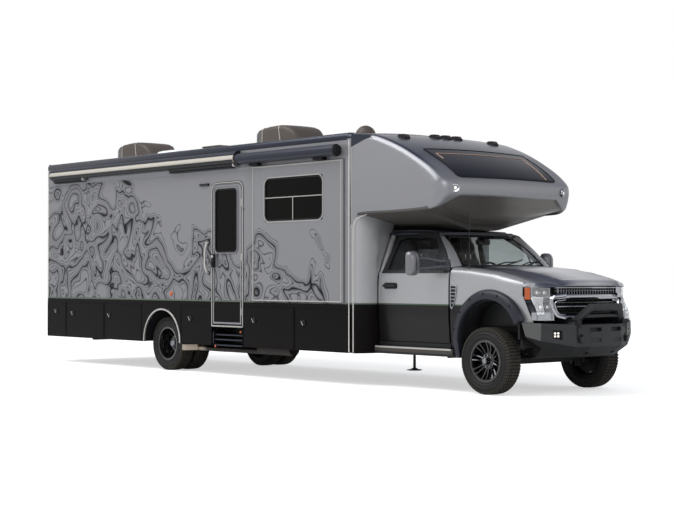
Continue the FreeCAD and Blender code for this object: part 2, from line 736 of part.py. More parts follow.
def cap_form(name, inset, back):
    """The outer form of the cap, moved in by an inset on every side but the rear."""
    inset = f"({inset})"
    root = ("side_face", "eave_height", "roof_top", 2250, "cab_roof", 1000)
    stations = [cap_section(f"{name}_root", f"house_front - {back}", inset, root)]
    for count, (behind, *numbers) in enumerate(CAP_SECTIONS):
        x = f"front_axle - {behind} - {inset}"
        stations.append(cap_section(f"{name}_{count}", x, inset, numbers))
    return loft(name, stations)


def front_cap():
    outer = cap_form("cap_outer", "0", 0)
    inner = cap_form("cap_inner", "cap_wall", 1)
    window = prism("cap_opening", "XY", [
        ("front_axle - 1080", -1060), ("front_axle - 640", -1060), ("front_axle - 590", -960),
        ("front_axle - 590", 960), ("front_axle - 640", 1060), ("front_axle - 1080", 1060),
    ], 2700, 3400)
    node("front_cap", cut("front_cap", outer, inner, window))
    skin = cut("cap_glass_skin", cap_form("cap_glass_outer", "glass_inset", 0),
               cap_form("cap_glass_inner", "glass_inset + glass_thickness", 1))
    FIXED_WINDOWS.append(common("cap_window", skin, window))

    points = [("house_front", "side_face"), ("cab_back", "cab_face"),
              ("cab_back", "cab_face - 60"), ("house_front", "side_face - 60")]
    wing = cut("cab_side_panel", prism("side_panel_blank", "XY", points, "skirt_bottom", 2250),
               outer)
    node("cab_side_panels", both_sides("cab_side_panels", wing))


# ---------------------------------------------------------------- cab

def glasshouse(name, inset, low, high):
    """The tapered upper cab between two heights, moved in by an inset."""
    inset = f"({inset})"
    sections = []
    for end, height in (("foot", low), ("head", high)):
        share = f"(({height}) - belt_height) / (cab_roof - belt_height)"
        back = f"cab_back + pillar_lean * {share} + {inset}"
        front = f"front_axle - screen_foot - (screen_head - screen_foot) * {share} - 1.4 * {inset}"
        half = (f"glasshouse_base / 2 - (glasshouse_base - glasshouse_top) / 2 * {share}"
                f" - {inset}")
        points = [(back, f"-({half})"), (front, f"-({half})"), (front, half), (back, half)]
        sections.append(section(f"{name}_{end}", "XY", height, points))
    return loft(name, sections)


def door_outline(grow, rear_grow):
    """The cab door's edge: a positive grow makes the opening that it closes."""
    front = f"firewall - door_set_back + {grow}"
    rear = f"cab_back + 75 - {grow}"
    lower = [(rear, f"615 - {grow}"), (front, f"615 - {grow}"), (front, "belt_height"),
             (rear, "belt_height")]
    upper = [(f"cab_back + 95 - {rear_grow}", "belt_height"), (front, "belt_height"),
             (front, f"1570 + {grow}"), (f"firewall - 425 + {grow}", f"2000 + {grow}"),
             (f"cab_back + 165 - {rear_grow}", f"2000 + {grow}")]
    return lower, upper


def door_block(name, grow, rear_grow, inner_grow):
    lower, upper = door_outline(grow, rear_grow)
    inner = f"cab_inside - {inner_grow}"
    return fuse(name, prism(f"{name}_lower", "XZ", lower, inner, "cab_face + 20"),
                prism(f"{name}_upper", "XZ", upper, "glasshouse_top / 2 - 90", "cab_face + 20"))


def cab():
    lower = box("cab_lower", "cab_back", "firewall", "-cab_face", "cab_face", "cab_sill",
                "belt_height")
    cowl = box("cab_cowl", "firewall - 30", "front_axle - screen_foot", "-cab_face + 60",
               "cab_face - 60", "belt_height - 70", "belt_height")
    outer = fuse("cab_outer", lower, cowl, glasshouse("glasshouse_outer", "0", "belt_height",
                                                      "cab_roof"))
    cabin = box("cabin_space", "cab_back + cab_wall", "firewall - cab_wall", "-cab_inside",
                "cab_inside", "cab_floor", "belt_height")
    under = box("cab_under", "cab_back + cab_wall", "firewall - cab_wall", "-cab_inside + 60",
                "cab_inside - 60", "cab_sill - 10", "rail_top")
    tunnel = box("rail_space", "cab_back - 10", "firewall + 10", "-rail_outside - 40",
                 "rail_outside + 40", "cab_sill - 10", "rail_top")
    upper = glasshouse("glasshouse_inner", "cab_wall", "belt_height - 1", "cab_roof - cab_wall")
    doorway = door_block("cab_doorway", "cab_door_gap", "3 * cab_door_gap", "3 * cab_door_gap")
    screen = prism("screen_opening", "YZ", [
        (-850, 1590), (850, 1590), (690, 1995), (-690, 1995)],
        "front_axle - 1130", "front_axle - 200")
    rear_door = box("cab_walkway", "cab_back - 10", "cab_back + cab_wall + 200", -450, 450,
                    "cab_floor + 100", "cab_roof - 80")
    node("cab_shell", cut("cab_shell", outer, cabin, under, tunnel, upper, doorway,
                          other_side("cab_doorway_twin", doorway), screen, rear_door))

    skin = cut("cab_glass_skin",
               glasshouse("cab_glass_outer", "glass_inset", "belt_height - 1", "cab_roof"),
               glasshouse("cab_glass_inner", "glass_inset + glass_thickness",
                          "belt_height - 2", "cab_roof + 1"))
    FIXED_WINDOWS.append(common("windshield", skin, screen))
    node("fixed_windows", group("fixed_windows", *FIXED_WINDOWS))

    shell = cut("door_skin", outer, cabin, upper)
    leaf = common("cab_door_blank", shell, door_block("cab_door_block", 0, 0, 0))
    light = prism("door_light", "XZ", [
        ("cab_back + 160", 1565), ("firewall - 75", 1565), ("firewall - 75", 1600),
        ("firewall - 445", 1955), ("cab_back + 215", 1955)],
        "glasshouse_top / 2 - 90", "cab_face + 40")
    barrels = [cylinder(f"cab_hinge_{count}", "cab_door_gap - hinge_gap", "Z", height, height + 100,
                        x="firewall - door_set_back", y="cab_face")
               for count, height in enumerate((760, 1330))]
    door = cut("left_cab_door", fuse("cab_door_leaf", leaf, *barrels), light)
    glass = common("left_cab_door_glass", skin, light)
    node("left_cab_door", door)
    node("right_cab_door", other_side("right_cab_door", door))
    node("left_cab_door_glass", glass)
    node("right_cab_door_glass", other_side("right_cab_door_glass", glass))

    head = box("mirror_head", "firewall - 360", "firewall - 220", "mirror_span / 2 - 240",
               "mirror_span / 2", 1480, 1770)
    arms = []
    for count, height in enumerate((1530, 1660)):
        points = [("firewall - 110", "cab_face"), ("firewall - 60", "cab_face"),
                  ("firewall - 220", "mirror_span / 2 - 200"),
                  ("firewall - 270", "mirror_span / 2 - 200")]
        arms.append(prism(f"mirror_arm_{count}", "XY", points, height, height + 40))
    foot = box("mirror_foot", "firewall - 130", "firewall - 50", "cab_face - 90", "cab_face + 20",
               1525, 1720)
    outside = glasshouse("mirror_foot_trim", "0", "belt_height", "cab_roof")
    mirror = cut("left_mirror", fuse("mirror_body", head, foot, *arms), outside)
    node("left_mirror", mirror)
    node("right_mirror", other_side("right_mirror", mirror))
    return outer


def cab_interior():
    dash = prism("dash_form", "XZ", [
        ("firewall - 240", 1130), ("firewall - 260", 1380), ("firewall - 180", 1470),
        ("firewall - cab_wall", 1500), ("firewall - cab_wall", 1130)], -850, 850)
    wheel = doc.addObject("Part::Torus", "steering_rim")
    wheel.Placement.Rotation = FreeCAD.Rotation(FreeCAD.Vector(0, 1, 0), -65)
    bind(wheel, Radius1=190, Radius2=16, Placement__Base__x="firewall - 400",
         Placement__Base__y=420, Placement__Base__z=1430)
    column = doc.addObject("Part::Cylinder", "steering_column")
    column.Placement.Rotation = FreeCAD.Rotation(FreeCAD.Vector(0, 1, 0), 115)
    bind(column, Radius=32, Height=230, Placement__Base__x="firewall - 408",
         Placement__Base__y=420, Placement__Base__z=1434)
    spoke = box("steering_spoke", "firewall - 410", "firewall - 390", 232, 608, 1415, 1445)
    node("dashboard", fuse("dashboard", dash, column, wheel, spoke))
    seats = []
    for side, y in (("left", 420), ("right", -420)):
        base = box(f"{side}_seat_base", "cab_back + 330", "cab_back + 850", y - 250, y + 250,
                   "cab_floor", "cab_floor + 330")
        back = box(f"{side}_seat_back", "cab_back + 230", "cab_back + 370", y - 240, y + 240,
                   "cab_floor + 230", "cab_floor + 780")
        rest = box(f"{side}_head_rest", "cab_back + 240", "cab_back + 340", y - 130, y + 130,
                   "cab_floor + 780", "cab_floor + 960")
        seats.append(fuse(f"{side}_seat", base, back, rest))
    node("seats", group("seats", *seats))


def front_clip(cab_form):
    top_line = (
        # ahead of the front axle, height
        (-450, 1572), (80, 1512), (670, 1368),
    )
    top = [(f"front_axle + {along}", str(up)) for along, up in top_line]
    points = ([("firewall", "cab_sill"), ("firewall", "1555")] + top
              + [("front_axle + 670", "900"), ("front_axle + 400", "900"),
                 ("front_axle + 400", "cab_sill")])
    blank = prism("fender_blank", "XZ", points, "hood_width / 2 + hood_gap", "cab_face")
    under = [(x, f"{z} - 50") for x, z in points[1:5]]
    inner_points = [("firewall - 1", "cab_sill - 1"), ("firewall - 1", "1505")] + under[1:] + [
        ("front_axle + 670", "800"), ("front_axle + 670", "cab_sill - 1")]
    hollow = prism("fender_hollow", "XZ", inner_points, "hood_width / 2", "cab_face - 50")
    arch = cylinder("front_arch", "wheel_arch_radius", "Y", "cab_face - 200", "cab_face + 100",
                    x="arch_middle", z="wheel_arch_height")
    below = box("front_arch_below", "arch_middle - wheel_arch_radius",
                "arch_middle + wheel_arch_radius + 200", "cab_face - 200", "cab_face + 100",
                0, "wheel_arch_height")
    fender = cut("fender", blank, hollow, arch, below, cab_form)
    ring = cylinder("flare_ring", "wheel_arch_radius + flare_width", "Y", "cab_face",
                    "cab_face + flare_reach", x="arch_middle", z="wheel_arch_height")
    bore = cylinder("flare_bore", "wheel_arch_radius", "Y", "cab_face - 10",
                    "cab_face + flare_reach + 10", x="arch_middle", z="wheel_arch_height")
    low_front = box("flare_low_front", "arch_middle", "arch_middle + 900", "cab_face - 10",
                    "cab_face + 100", 0, "bumper_top + 12")
    low_rear = box("flare_low_rear", "arch_middle - 900", "arch_middle + 10", "cab_face - 10",
                   "cab_face + 100", 0, "cab_sill")
    flare = cut("flare", ring, bore, low_front, low_rear)
    node("front_fenders", both_sides("front_fenders", fuse("fender_and_flare", fender, flare)))

    hood_points = [
        ("front_axle - 340", "1588"), ("front_axle + 80", "1548"), ("front_axle + 640", "1430"),
        ("front_axle + 830", "1395"), ("front_axle + 860", "1350"), ("front_axle + 820", "1350"),
        ("front_axle + 620", "1385"), ("front_axle + 70", "1503"), ("front_axle - 340", "1543"),
    ]
    lid = prism("hood_lid", "XZ", hood_points, "-hood_width / 2", "hood_width / 2")
    arms = []
    for count, low in enumerate((620, -660)):
        arms.append(box(f"hood_arm_{count}", "front_axle - screen_foot + hinge_gap",
                        "front_axle - 300", low, f"{low} + 40", 1470, 1550))
        arms.append(cylinder(f"hood_barrel_{count}", 14, "Y", f"{low} - 10", f"{low} + 50",
                             x="front_axle - 330", z=1550))
    node("hood", fuse("hood", lid, *arms))

    node("grille", box("grille", "front_axle + 770", "front_axle + 850", -620, 620, 960, 1340))
    lamp = prism("left_head_lamp", "XY", [
        ("front_axle + 670", "cab_face"), ("front_axle + 670", 620), ("front_axle + 840", 620),
        ("front_axle + 790", 900), ("front_axle + 700", "cab_face")], 930, 1345)
    node("lamps", group("lamps", lamp, other_side("right_head_lamp", lamp), *LAMPS))


def front_bumper():
    half = "bumper_width / 2"
    outer = [("nose - 540", f"-{half}"), ("nose - 235", f"-{half}"), ("nose - 60", -620),
             ("nose", -500), ("nose", 500), ("nose - 60", 620), ("nose - 235", half),
             ("nose - 540", half)]
    inner = [("nose - 550", f"-{half} + 60"), ("nose - 290", f"-{half} + 60"),
             ("nose - bumper_depth", -540), ("nose - bumper_depth", 540),
             ("nose - 290", f"{half} - 60"), ("nose - 550", f"{half} - 60")]
    beam = cut("bumper_beam", prism("bumper_outer", "XY", outer, 700, "bumper_top"),
               prism("bumper_inner", "XY", inner, 690, "bumper_top + 10"))
    chin = prism("bumper_chin", "XZ", [
        ("nose - bumper_depth - 100", "bumper_bottom"), ("nose - 90", "bumper_bottom"),
        ("nose - 20", 620), ("nose - 20", 700), ("nose - bumper_depth", 700)], -640, 640)
    hoop = []
    for side, sign in (("left", 1), ("right", -1)):
        points = [(sign * 560, "bumper_top"), (sign * 490, "bumper_top"), (sign * 380, 1100),
                  (sign * 380, 1150), (sign * 430, 1150)]
        hoop.append(prism(f"hoop_{side}", "YZ", points, "nose - 90", "nose - 25"))
    hoop.append(box("hoop_bar", "nose - 90", "nose - 25", -430, 430, 1095, 1150))
    hoop.append(box("hoop_rib", "nose - 80", "nose - 35", -440, 440, 990, 1030))
    node("front_bumper", fuse("front_bumper", beam, chin, *hoop))


def running_boards():
    board = box("board", "cab_back + 20", "firewall + 60", "cab_face - 110", "cab_face + 70",
                450, 495)
    brackets = [box(f"board_bracket_{count}", f"cab_back + {place}", f"cab_back + {place} + 80",
                    "cab_face - 110", "cab_face - 85", 495, "cab_sill")
                for count, place in enumerate((120, 650, 1180))]
    left = fuse("left_board", board, *brackets)
    node("steps", group("steps", left, other_side("right_board", left), entry_step()))


front_wheel()
rear_wheels()
axles()
frame_rails()
running_gear()
hitch()
house_shell()
skirts()
compartment_hatches()
entry_door()
slide_out()
roof_fittings()
rear_end()
front_cap()
cab_form = cab()
cab_interior()
front_clip(cab_form)
front_bumper()
running_boards()
doc.recompute()

# ---------------------------------------------------------------- checks and export

for item in doc.Objects:
    if "Invalid" in item.State or "Error" in item.State:
        raise RuntimeError(f"{item.Label} did not build: {item.State}")

os.makedirs("parts", exist_ok=True)
for item in NODES:
    if item.Shape.isNull() or not item.Shape.isValid() or not item.Shape.Solids:
        raise RuntimeError(f"{item.Label} has no valid solid")
    item.Shape.exportStep(f"parts/{item.Label}.step")
print(len(NODES), "sub-parts written")
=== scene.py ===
# %% [markdown]
# # A large motorhome, piece by piece
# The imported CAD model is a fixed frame: every panel that moves in it already has its place, its
# hinge and its body. This lesson dresses that frame. Each step says what the real thing is and
# how it is made here. Everything is in metres: +X is forward, +Y is the driver's side, +Z is up.

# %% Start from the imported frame
import math

import bmesh
import bpy
import numpy as np
from mathutils import Matrix, Vector


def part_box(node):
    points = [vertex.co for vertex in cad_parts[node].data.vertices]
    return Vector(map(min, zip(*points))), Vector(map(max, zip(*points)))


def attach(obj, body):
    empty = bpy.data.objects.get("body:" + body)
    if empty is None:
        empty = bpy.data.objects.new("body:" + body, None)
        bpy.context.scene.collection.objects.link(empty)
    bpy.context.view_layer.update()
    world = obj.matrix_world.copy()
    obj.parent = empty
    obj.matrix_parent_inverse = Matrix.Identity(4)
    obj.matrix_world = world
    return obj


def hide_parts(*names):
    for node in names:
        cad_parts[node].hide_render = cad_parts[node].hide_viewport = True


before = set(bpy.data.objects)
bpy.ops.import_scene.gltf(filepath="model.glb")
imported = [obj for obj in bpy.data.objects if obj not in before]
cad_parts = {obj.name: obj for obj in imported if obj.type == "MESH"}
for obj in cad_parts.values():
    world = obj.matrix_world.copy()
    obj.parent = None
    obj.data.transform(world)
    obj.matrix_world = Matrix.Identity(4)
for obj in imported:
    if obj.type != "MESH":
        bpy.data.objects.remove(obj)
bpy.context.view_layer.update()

# %% Read the places that later steps share
def middle(node):
    low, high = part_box(node)
    return [(low[i] + high[i]) / 2 for i in range(3)]


AXLE = middle("left_front_tyre")[0]
REAR_AXLE = middle("left_rear_tyres")[0]
TYRE = middle("left_front_tyre")[2]
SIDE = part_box("left_wall")[1][1]
HOUSE_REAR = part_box("roof")[0][0]
HOUSE_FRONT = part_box("roof")[1][0]
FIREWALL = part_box("left_cab_door")[1][0]
BELT_LINE, STRIPE = 1.095, 0.018
SIDES = (("left", 1), ("right", -1))
print("axles at", round(AXLE, 3), "and", round(REAR_AXLE, 3), "side at", round(SIDE, 3))

# %% [markdown]
# A colour is easiest to match as the hex value that a screen shows, while a shader works in
# linear light. One function turns the first into the second. Another small one adds any node with
# its settings and its links, so a material reads as a short list of what it is made of.

# %% Helpers for colours and nodes
def colour(code):
    channels = [int(code[i:i + 2], 16) / 255 for i in (1, 3, 5)]
    linear = [c / 12.92 if c <= 0.04045 else ((c + 0.055) / 1.055) ** 2.4 for c in channels]
    return (*linear, 1.0)


def give(node, values):
    """Sets properties and sockets. A node or a socket is linked, and a hex is a colour."""
    for key, value in values.items():
        if isinstance(key, str) and key not in node.inputs:
            setattr(node, key, value)
    for key, value in values.items():
        if isinstance(key, str) and key not in node.inputs:
            continue
        if isinstance(value, bpy.types.Node):
            value = next(output for output in value.outputs if output.enabled)
        if isinstance(value, bpy.types.NodeSocket):
            node.id_data.links.new(value, node.inputs[key])
        else:
            node.inputs[key].default_value = colour(value) if isinstance(value, str) else value
    return node


def add_node(tree, kind, values=None):
    return give(tree.nodes.new(kind), values or {})


def new_material(name, code, metallic=0.0, roughness=0.5, **settings):
    """A material with one shader: returns it, its tree and the shader."""
    made = bpy.data.materials.new(name)
    made.use_nodes = True
    shader = made.node_tree.nodes["Principled BSDF"]
    give(shader, {"Base Color": code, "Metallic": metallic, "Roughness": roughness})
    give(shader, {key.replace("_", " "): value for key, value in settings.items()})
    made.diffuse_color = colour(code)
    print("finish:", name, code)
    return made, made.node_tree, shader


def own_place(tree):
    """The object's own coordinates, whole and along each axis."""
    place = add_node(tree, "ShaderNodeTexCoord").outputs["Object"]
    return place, add_node(tree, "ShaderNodeSeparateXYZ", {0: place}).outputs


def rippled(tree, place, scale, height, strength=0.4, detail=2.0):
    """A bump from soft noise, as no moulded or pressed panel is perfectly flat."""
    noise = add_node(tree, "ShaderNodeTexNoise", {"Scale": scale, "Detail": detail,
        "Vector": place})
    return add_node(tree, "ShaderNodeBump", {"Strength": strength, "Distance": height,
        "Height": noise})


def coated(name, code, metallic, roughness, grain, depth, amount, shade="#000000", **settings):
    """A finish with a fine grain of that size in metres, and a slight change of colour."""
    made, tree, shader = new_material(name, code, metallic, roughness, **settings)
    place = add_node(tree, "ShaderNodeTexCoord").outputs["Object"]
    cloud = add_node(tree, "ShaderNodeTexNoise", {"Scale": 2.2, "Detail": 4.0, "Vector": place})
    reach = add_node(tree, "ShaderNodeMath", {"operation": "MULTIPLY", 0: cloud, 1: amount})
    tint = add_node(tree, "ShaderNodeMix", {"data_type": "RGBA", 0: reach, 6: code, 7: shade})
    give(shader, {"Base Color": tint, "Normal": rippled(tree, place, 1 / grain, depth, 0.6, 3.0)})
    return made

# %% [markdown]
# ## Paints, plastics and metals
# Most of what shows is silver paint over fibreglass: a metallic basecoat under clearcoat, so it
# is a soft grey with a sharp gloss on top. The lower body is solid black gel-coat. Each finish
# has a slight unevenness of colour and a bump, because no moulded panel is perfectly flat. The
# numbers are: metallic, roughness, size and depth of the grain, share of the tint, and the tint.

# %% Painted and moulded finishes
THIN_COAT = {"Coat_Weight": 0.2, "Coat_Roughness": 0.1}
silver_paint = coated("metallic_silver_clearcoat", "#86868A", 0.55, 0.38, 0.35, 0.0006, 0.1,
    **THIN_COAT)
cab_silver = coated("cab_silver_clearcoat", "#A2A2A4", 0.55, 0.36, 0.35, 0.0006, 0.1, **THIN_COAT)
black_gelcoat = coated("black_gelcoat", "#0C090A", 0.0, 0.28, 0.5, 0.0008, 0.2, "#141112",
    Specular_IOR_Level=0.06)
mirror_paint = coated("mirror_shell_enamel", "#77777A", 0.4, 0.35, 0.3, 0.0005, 0.3, "#2C2C30",
    Coat_Weight=0.3, Coat_Roughness=0.08)
dark_rail = coated("anodised_dark_aluminium", "#2B2E3A", 0.6, 0.36, 0.05, 0.0002, 0.3, "#14151A")
arm_plastic = coated("mirror_arm_nylon", "#3A3C42", 0.0, 0.35, 0.004, 0.0003, 0.3)
flare_plastic = coated("textured_black_polypropylene", "#24262F", 0.0, 0.42, 0.004, 0.0003, 0.3,
    Specular_IOR_Level=0.3)
trim_plastic = coated("moulded_black_abs", "#121316", 0.0, 0.45, 0.003, 0.0003, 0.3,
    Specular_IOR_Level=0.3)
seal_rubber = coated("epdm_rubber_seal", "#0B0B0D", 0.0, 0.7, 0.002, 0.0002, 0.3,
    Specular_IOR_Level=0.25)
# Two copies of the bumper's black coat: a lighter one paints light on the side faces, and a darker
# one paints shade on the chin.
bumper_side_painted_light = coated("powder_coat_painted_light", "#5A5A59", 0.2, 0.5, 0.003, 0.0004, 0.3,
    Specular_IOR_Level=0.35)
bumper_chin_painted_shade = coated("shaded_powder_coat", "#191A1B", 0.1, 0.55, 0.003, 0.0004, 0.3,
    Specular_IOR_Level=0.2)
lamp_shell = coated("smoked_lamp_shell", "#4A4B4F", 0.8, 0.25, 0.02, 0.0003, 0.4)
bumper_coat = coated("black_powder_coat", "#2A2B2D", 0.1, 0.52, 0.003, 0.0004, 0.35,
    Specular_IOR_Level=0.35)
chrome = coated("chrome_plate", "#B4B5BA", 1.0, 0.1, 0.15, 0.0008, 0.45, "#55575C")
bright_trim = coated("brushed_aluminium", "#C9C6C2", 0.9, 0.32, 0.006, 0.0001, 0.2, "#7A7672")
satin_trim = coated("satin_window_frame", "#B0AEAA", 0.5, 0.42, 0.006, 0.0001, 0.2, "#7A7672")
chassis_paint = coated("chassis_black_enamel", "#121214", 0.0, 0.6, 0.02, 0.0008, 0.4,
    Specular_IOR_Level=0.3)
wheel_gloss = coated("gloss_black_alloy", "#131316", 0.45, 0.2, 0.05, 0.0002, 0.2, Coat_Weight=1.0,
    Coat_Roughness=0.04)
cap_grey = coated("machined_cap_grey", "#8B8D92", 0.8, 0.3, 0.01, 0.0002, 0.2)
roof_sheet = coated("tpo_roof_membrane", "#C9C8C4", 0.0, 0.7, 0.02, 0.0006, 0.15, "#8C8A84")
cooler_plastic = coated("weathered_shroud_plastic", "#4C4540", 0.0, 0.5, 0.01, 0.0004, 0.35,
    "#2E2925", Specular_IOR_Level=0.3)
skylight_plastic = coated("white_acrylic_dome", "#E4E6E8", 0.0, 0.2, 0.2, 0.0004, 0.1, "#AEB2B8")
floor_ply = coated("plywood_floor", "#8A7257", 0.0, 0.6, 0.03, 0.0003, 0.4, "#4A3A2A")
green_line = coated("dark_green_pinstripe", "#4C5A4C", 0.0, 0.4, 0.01, 0.0001, 0.2)
orange_lens = coated("amber_polycarbonate", "#B8541A", 0.0, 0.2, 0.01, 0.0005, 0.4, "#6A1A06",
    Coat_Weight=0.3)
smoked_lens = coated("smoked_amber_lens", "#33180E", 0.0, 0.3, 0.01, 0.0005, 0.3, "#160A06",
    Specular_IOR_Level=0.3)
red_lens = coated("red_polycarbonate", "#A3161A", 0.0, 0.18, 0.01, 0.0005, 0.3, "#3A0406",
    Coat_Weight=0.5)
copper_line = coated("copper_tint_line", "#A58B7C", 0.3, 0.35, 0.01, 0.0001, 0.15)
blank_plate = coated("painted_blank_plate", "#D9D9D6", 0.0, 0.4, 0.01, 0.0001, 0.1)

# %% Exhaust steel, bright at the tail tip, with painted shade along the length under the body
exhaust_steel, tree, shader = new_material("aluminised_steel", "#938877", 0.85, 0.38)
axes = own_place(tree)[1]
under_body_shade = add_node(tree, "ShaderNodeMapRange", {"From Min": -1.3, "From Max": -1.18,
    "Value": axes["X"]})
tint = add_node(tree, "ShaderNodeMix", {"data_type": "RGBA", 0: under_body_shade, 6: "#A3998A", 7: "#1E1914"})
give(shader, {"Base Color": tint})

# %% [markdown]
# Glass comes in two kinds. The cab's is clear enough to look through to the seats and out of the
# far side, and the house windows are a privacy tint behind which nothing shows, so they are a
# dark gloss with a slight ripple.

# %% Glass and lenses
CLEAR = {"Transmission_Weight": 1.0, "IOR": 1.45, "Specular_IOR_Level": 0.15}
cab_glass = new_material("laminated_cab_glass", "#F8FBFA", 0.0, 0.0, **CLEAR)[0]
side_glass = new_material("tinted_side_glass", "#9BA3A4", 0.0, 0.0, **CLEAR)[0]
privacy_glass = coated("privacy_tint_glass", "#080706", 0.0, 0.08, 0.8, 0.001, 0.3,
    Specular_IOR_Level=0.05)
cap_glass = coated("smoked_acrylic", "#15151B", 0.0, 0.12, 0.6, 0.0008, 0.3,
    Specular_IOR_Level=0.2)
lamp_lens = new_material("clear_polycarbonate", "#F4F6F8", 0.0, 0.03, Transmission_Weight=0.92,
    IOR=1.58)[0]
bright_lamp = new_material("lit_white_lens", "#F2EFE6", 0.0, 0.2, Emission_Strength=0.35,
    Emission_Color="#FFF8E8")[0]

# %% [markdown]
# ## The printed contour pattern
# The silver walls carry a vinyl print like a contour map: thin lines close together, with a
# heavier line now and then, all dark grey to black. It covers nearly the full height at the rear
# and runs out low down toward the front. A real map line joins points of one height, so the same
# rule makes it here: a noise field stands for the land, and a line is drawn wherever the field
# passes a whole step. Lowering the field above a slope makes the outermost lines close round
# islands by themselves. The sizes come from the print: about 0.4 m from hill to hill, and lines
# some 8 mm wide.

# %% The house skin: silver, contour print, pinstripe and black foot
house_skin, tree, shader = new_material("printed_fibreglass_skin", "#858588", 0.45, 0.34,
    Specular_IOR_Level=0.06)
place, axes = own_place(tree)
# Which slice of the land the walls show.
SLICE = 2.415
apart = add_node(tree, "ShaderNodeMath", {"operation": "SUBTRACT", 0: axes["Y"], 1: SLICE})
flat = add_node(tree, "ShaderNodeCombineXYZ", {"X": axes["X"], "Y": apart, "Z": axes["Z"]})
land = add_node(tree, "ShaderNodeTexNoise", {"Scale": 1.8, "Detail": 1.5, "Roughness": 0.5,
    "Distortion": 0.5, "Vector": flat})
slope = add_node(tree, "ShaderNodeMapRange", {"From Min": -5.7, "From Max": 2.3, "To Min": 0.0,
    "To Max": 1.0, "Value": axes["X"]})
ceiling = add_node(tree, "ShaderNodeFloatCurve", {"Value": slope})
PRINT_TOP = ((0.0, 0.9), (0.144, 0.93), (0.194, 0.91), (0.33, 0.86), (0.36, 0.66), (0.4, 0.54),
    (0.5, 0.5), (0.61, 0.47), (0.7, 0.43), (0.77, 0.46), (0.82, 0.34), (0.85, 0.2), (0.924, 0.28),
    (0.97, 0.04))
curve = ceiling.mapping.curves[0]
curve.points[0].location, curve.points[1].location = PRINT_TOP[0], PRINT_TOP[-1]
for point in PRINT_TOP[1:-1]:
    curve.points.new(*point)
ceiling.mapping.update()
top = add_node(tree, "ShaderNodeMapRange", {"To Min": 1.0, "To Max": 3.55, "Value": ceiling})
above = add_node(tree, "ShaderNodeMath", {"operation": "SUBTRACT", 0: axes["Z"], 1: top})
fall = add_node(tree, "ShaderNodeMapRange", {"From Min": -0.55, "From Max": 0.45, "To Min": 0.0,
    "To Max": 0.42, "Value": above})
field = add_node(tree, "ShaderNodeMath", {"operation": "SUBTRACT", 0: land, 1: fall})
inside = add_node(tree, "ShaderNodeMath", {"operation": "GREATER_THAN", 0: field, 1: 0.335})
last = "#858588"
for height_step, width, code, amount in ((0.144, 0.26, "#5C5D61", 0.6), (0.036, 0.19, "#2C2D31",
        0.95), (0.144, 0.13, "#050506", 1.0)):
    level = add_node(tree, "ShaderNodeMath", {"operation": "MULTIPLY", 0: field,
        1: 1 / height_step})
    wave = add_node(tree, "ShaderNodeMath", {"operation": "PINGPONG", 0: level, 1: 0.5})
    thin = add_node(tree, "ShaderNodeMapRange", {"From Min": width, "From Max": 0.0,
        "Value": wave})
    line = add_node(tree, "ShaderNodeMath", {"operation": "MULTIPLY", 0: thin, 1: inside})
    reach = add_node(tree, "ShaderNodeMath", {"operation": "MULTIPLY", 0: line, 1: amount})
    last = add_node(tree, "ShaderNodeMix", {"data_type": "RGBA", 0: reach, 6: last, 7: code})
below = add_node(tree, "ShaderNodeMath", {"operation": "LESS_THAN", 0: axes["Z"], 1: BELT_LINE})
foot = add_node(tree, "ShaderNodeMix", {"data_type": "RGBA", 0: below, 6: last, 7: "#0C090A"})
metal = add_node(tree, "ShaderNodeMapRange", {"From Min": 1.0, "From Max": 0.0, "To Min": 0.0,
    "To Max": 0.45, "Value": below})
give(shader, {"Base Color": foot, "Metallic": metal, "Normal": rippled(tree, place, 1.8, 0.004)})

# %% The cab's two-tone paint: silver, a green line, and black below it behind the arch
two_tone, tree, shader = new_material("two_tone_cab_enamel", "#A0A0A2", 0.55, 0.36,
    Specular_IOR_Level=0.2, Coat_Weight=0.12, Coat_Roughness=0.1)
place, axes = own_place(tree)
behind_arch = add_node(tree, "ShaderNodeMath", {"operation": "LESS_THAN", 0: axes["X"],
    1: AXLE + 0.035})
last = "#A0A0A2"
for edge_z, code in ((BELT_LINE + STRIPE, "#4C5A4C"), (BELT_LINE, "#0C090A")):
    under = add_node(tree, "ShaderNodeMath", {"operation": "LESS_THAN", 0: axes["Z"], 1: edge_z})
    mask = add_node(tree, "ShaderNodeMath", {"operation": "MULTIPLY", 0: under, 1: behind_arch})
    last = add_node(tree, "ShaderNodeMix", {"data_type": "RGBA", 0: mask, 6: last, 7: code})
metal = add_node(tree, "ShaderNodeMapRange", {"To Min": 0.55, "To Max": 0.0, "Value": mask})
give(shader, {"Base Color": last, "Metallic": metal, "Normal": rippled(tree, place, 2.5, 0.003)})

# %% The hood's paint, with painted dark reflections along the two valleys beside its raised centre
hood_paint, tree, shader = new_material("hood_silver_painted_reflection", "#A0A0A4", 0.6, 0.3,
    Coat_Weight=0.25, Coat_Roughness=0.08)
place, axes = own_place(tree)
off_middle = add_node(tree, "ShaderNodeMath", {"operation": "ABSOLUTE", 0: axes["Y"]})
# The ramp paints dark reflections into the silver along the valleys. The centre and the edges stay
# light.
valley_reflection = add_node(tree, "ShaderNodeValToRGB", {0: off_middle})
shades = valley_reflection.color_ramp.elements
shades[0].position, shades[0].color = 0.0, colour("#A6A6AA")
shades[1].position, shades[1].color = 0.84, colour("#9A9AA0")
for at, code in ((0.3, "#8E8E96"), (0.5, "#565762"), (0.72, "#54555F"), (0.8, "#6E6F78")):
    shades.new(at).color = colour(code)
give(shader, {"Base Color": valley_reflection, "Normal": rippled(tree, place, 3.0, 0.003)})

# %% [markdown]
# ## Rubber, cloth and fabric
# Tyre rubber is nearly black and dull, and its sidewall is a little dusty. The awning's roller
# shows the pale back of its vinyl cloth, and the seats are a dark woven fabric: both get threads
# drawn a few times coarser than life so that they show at all.

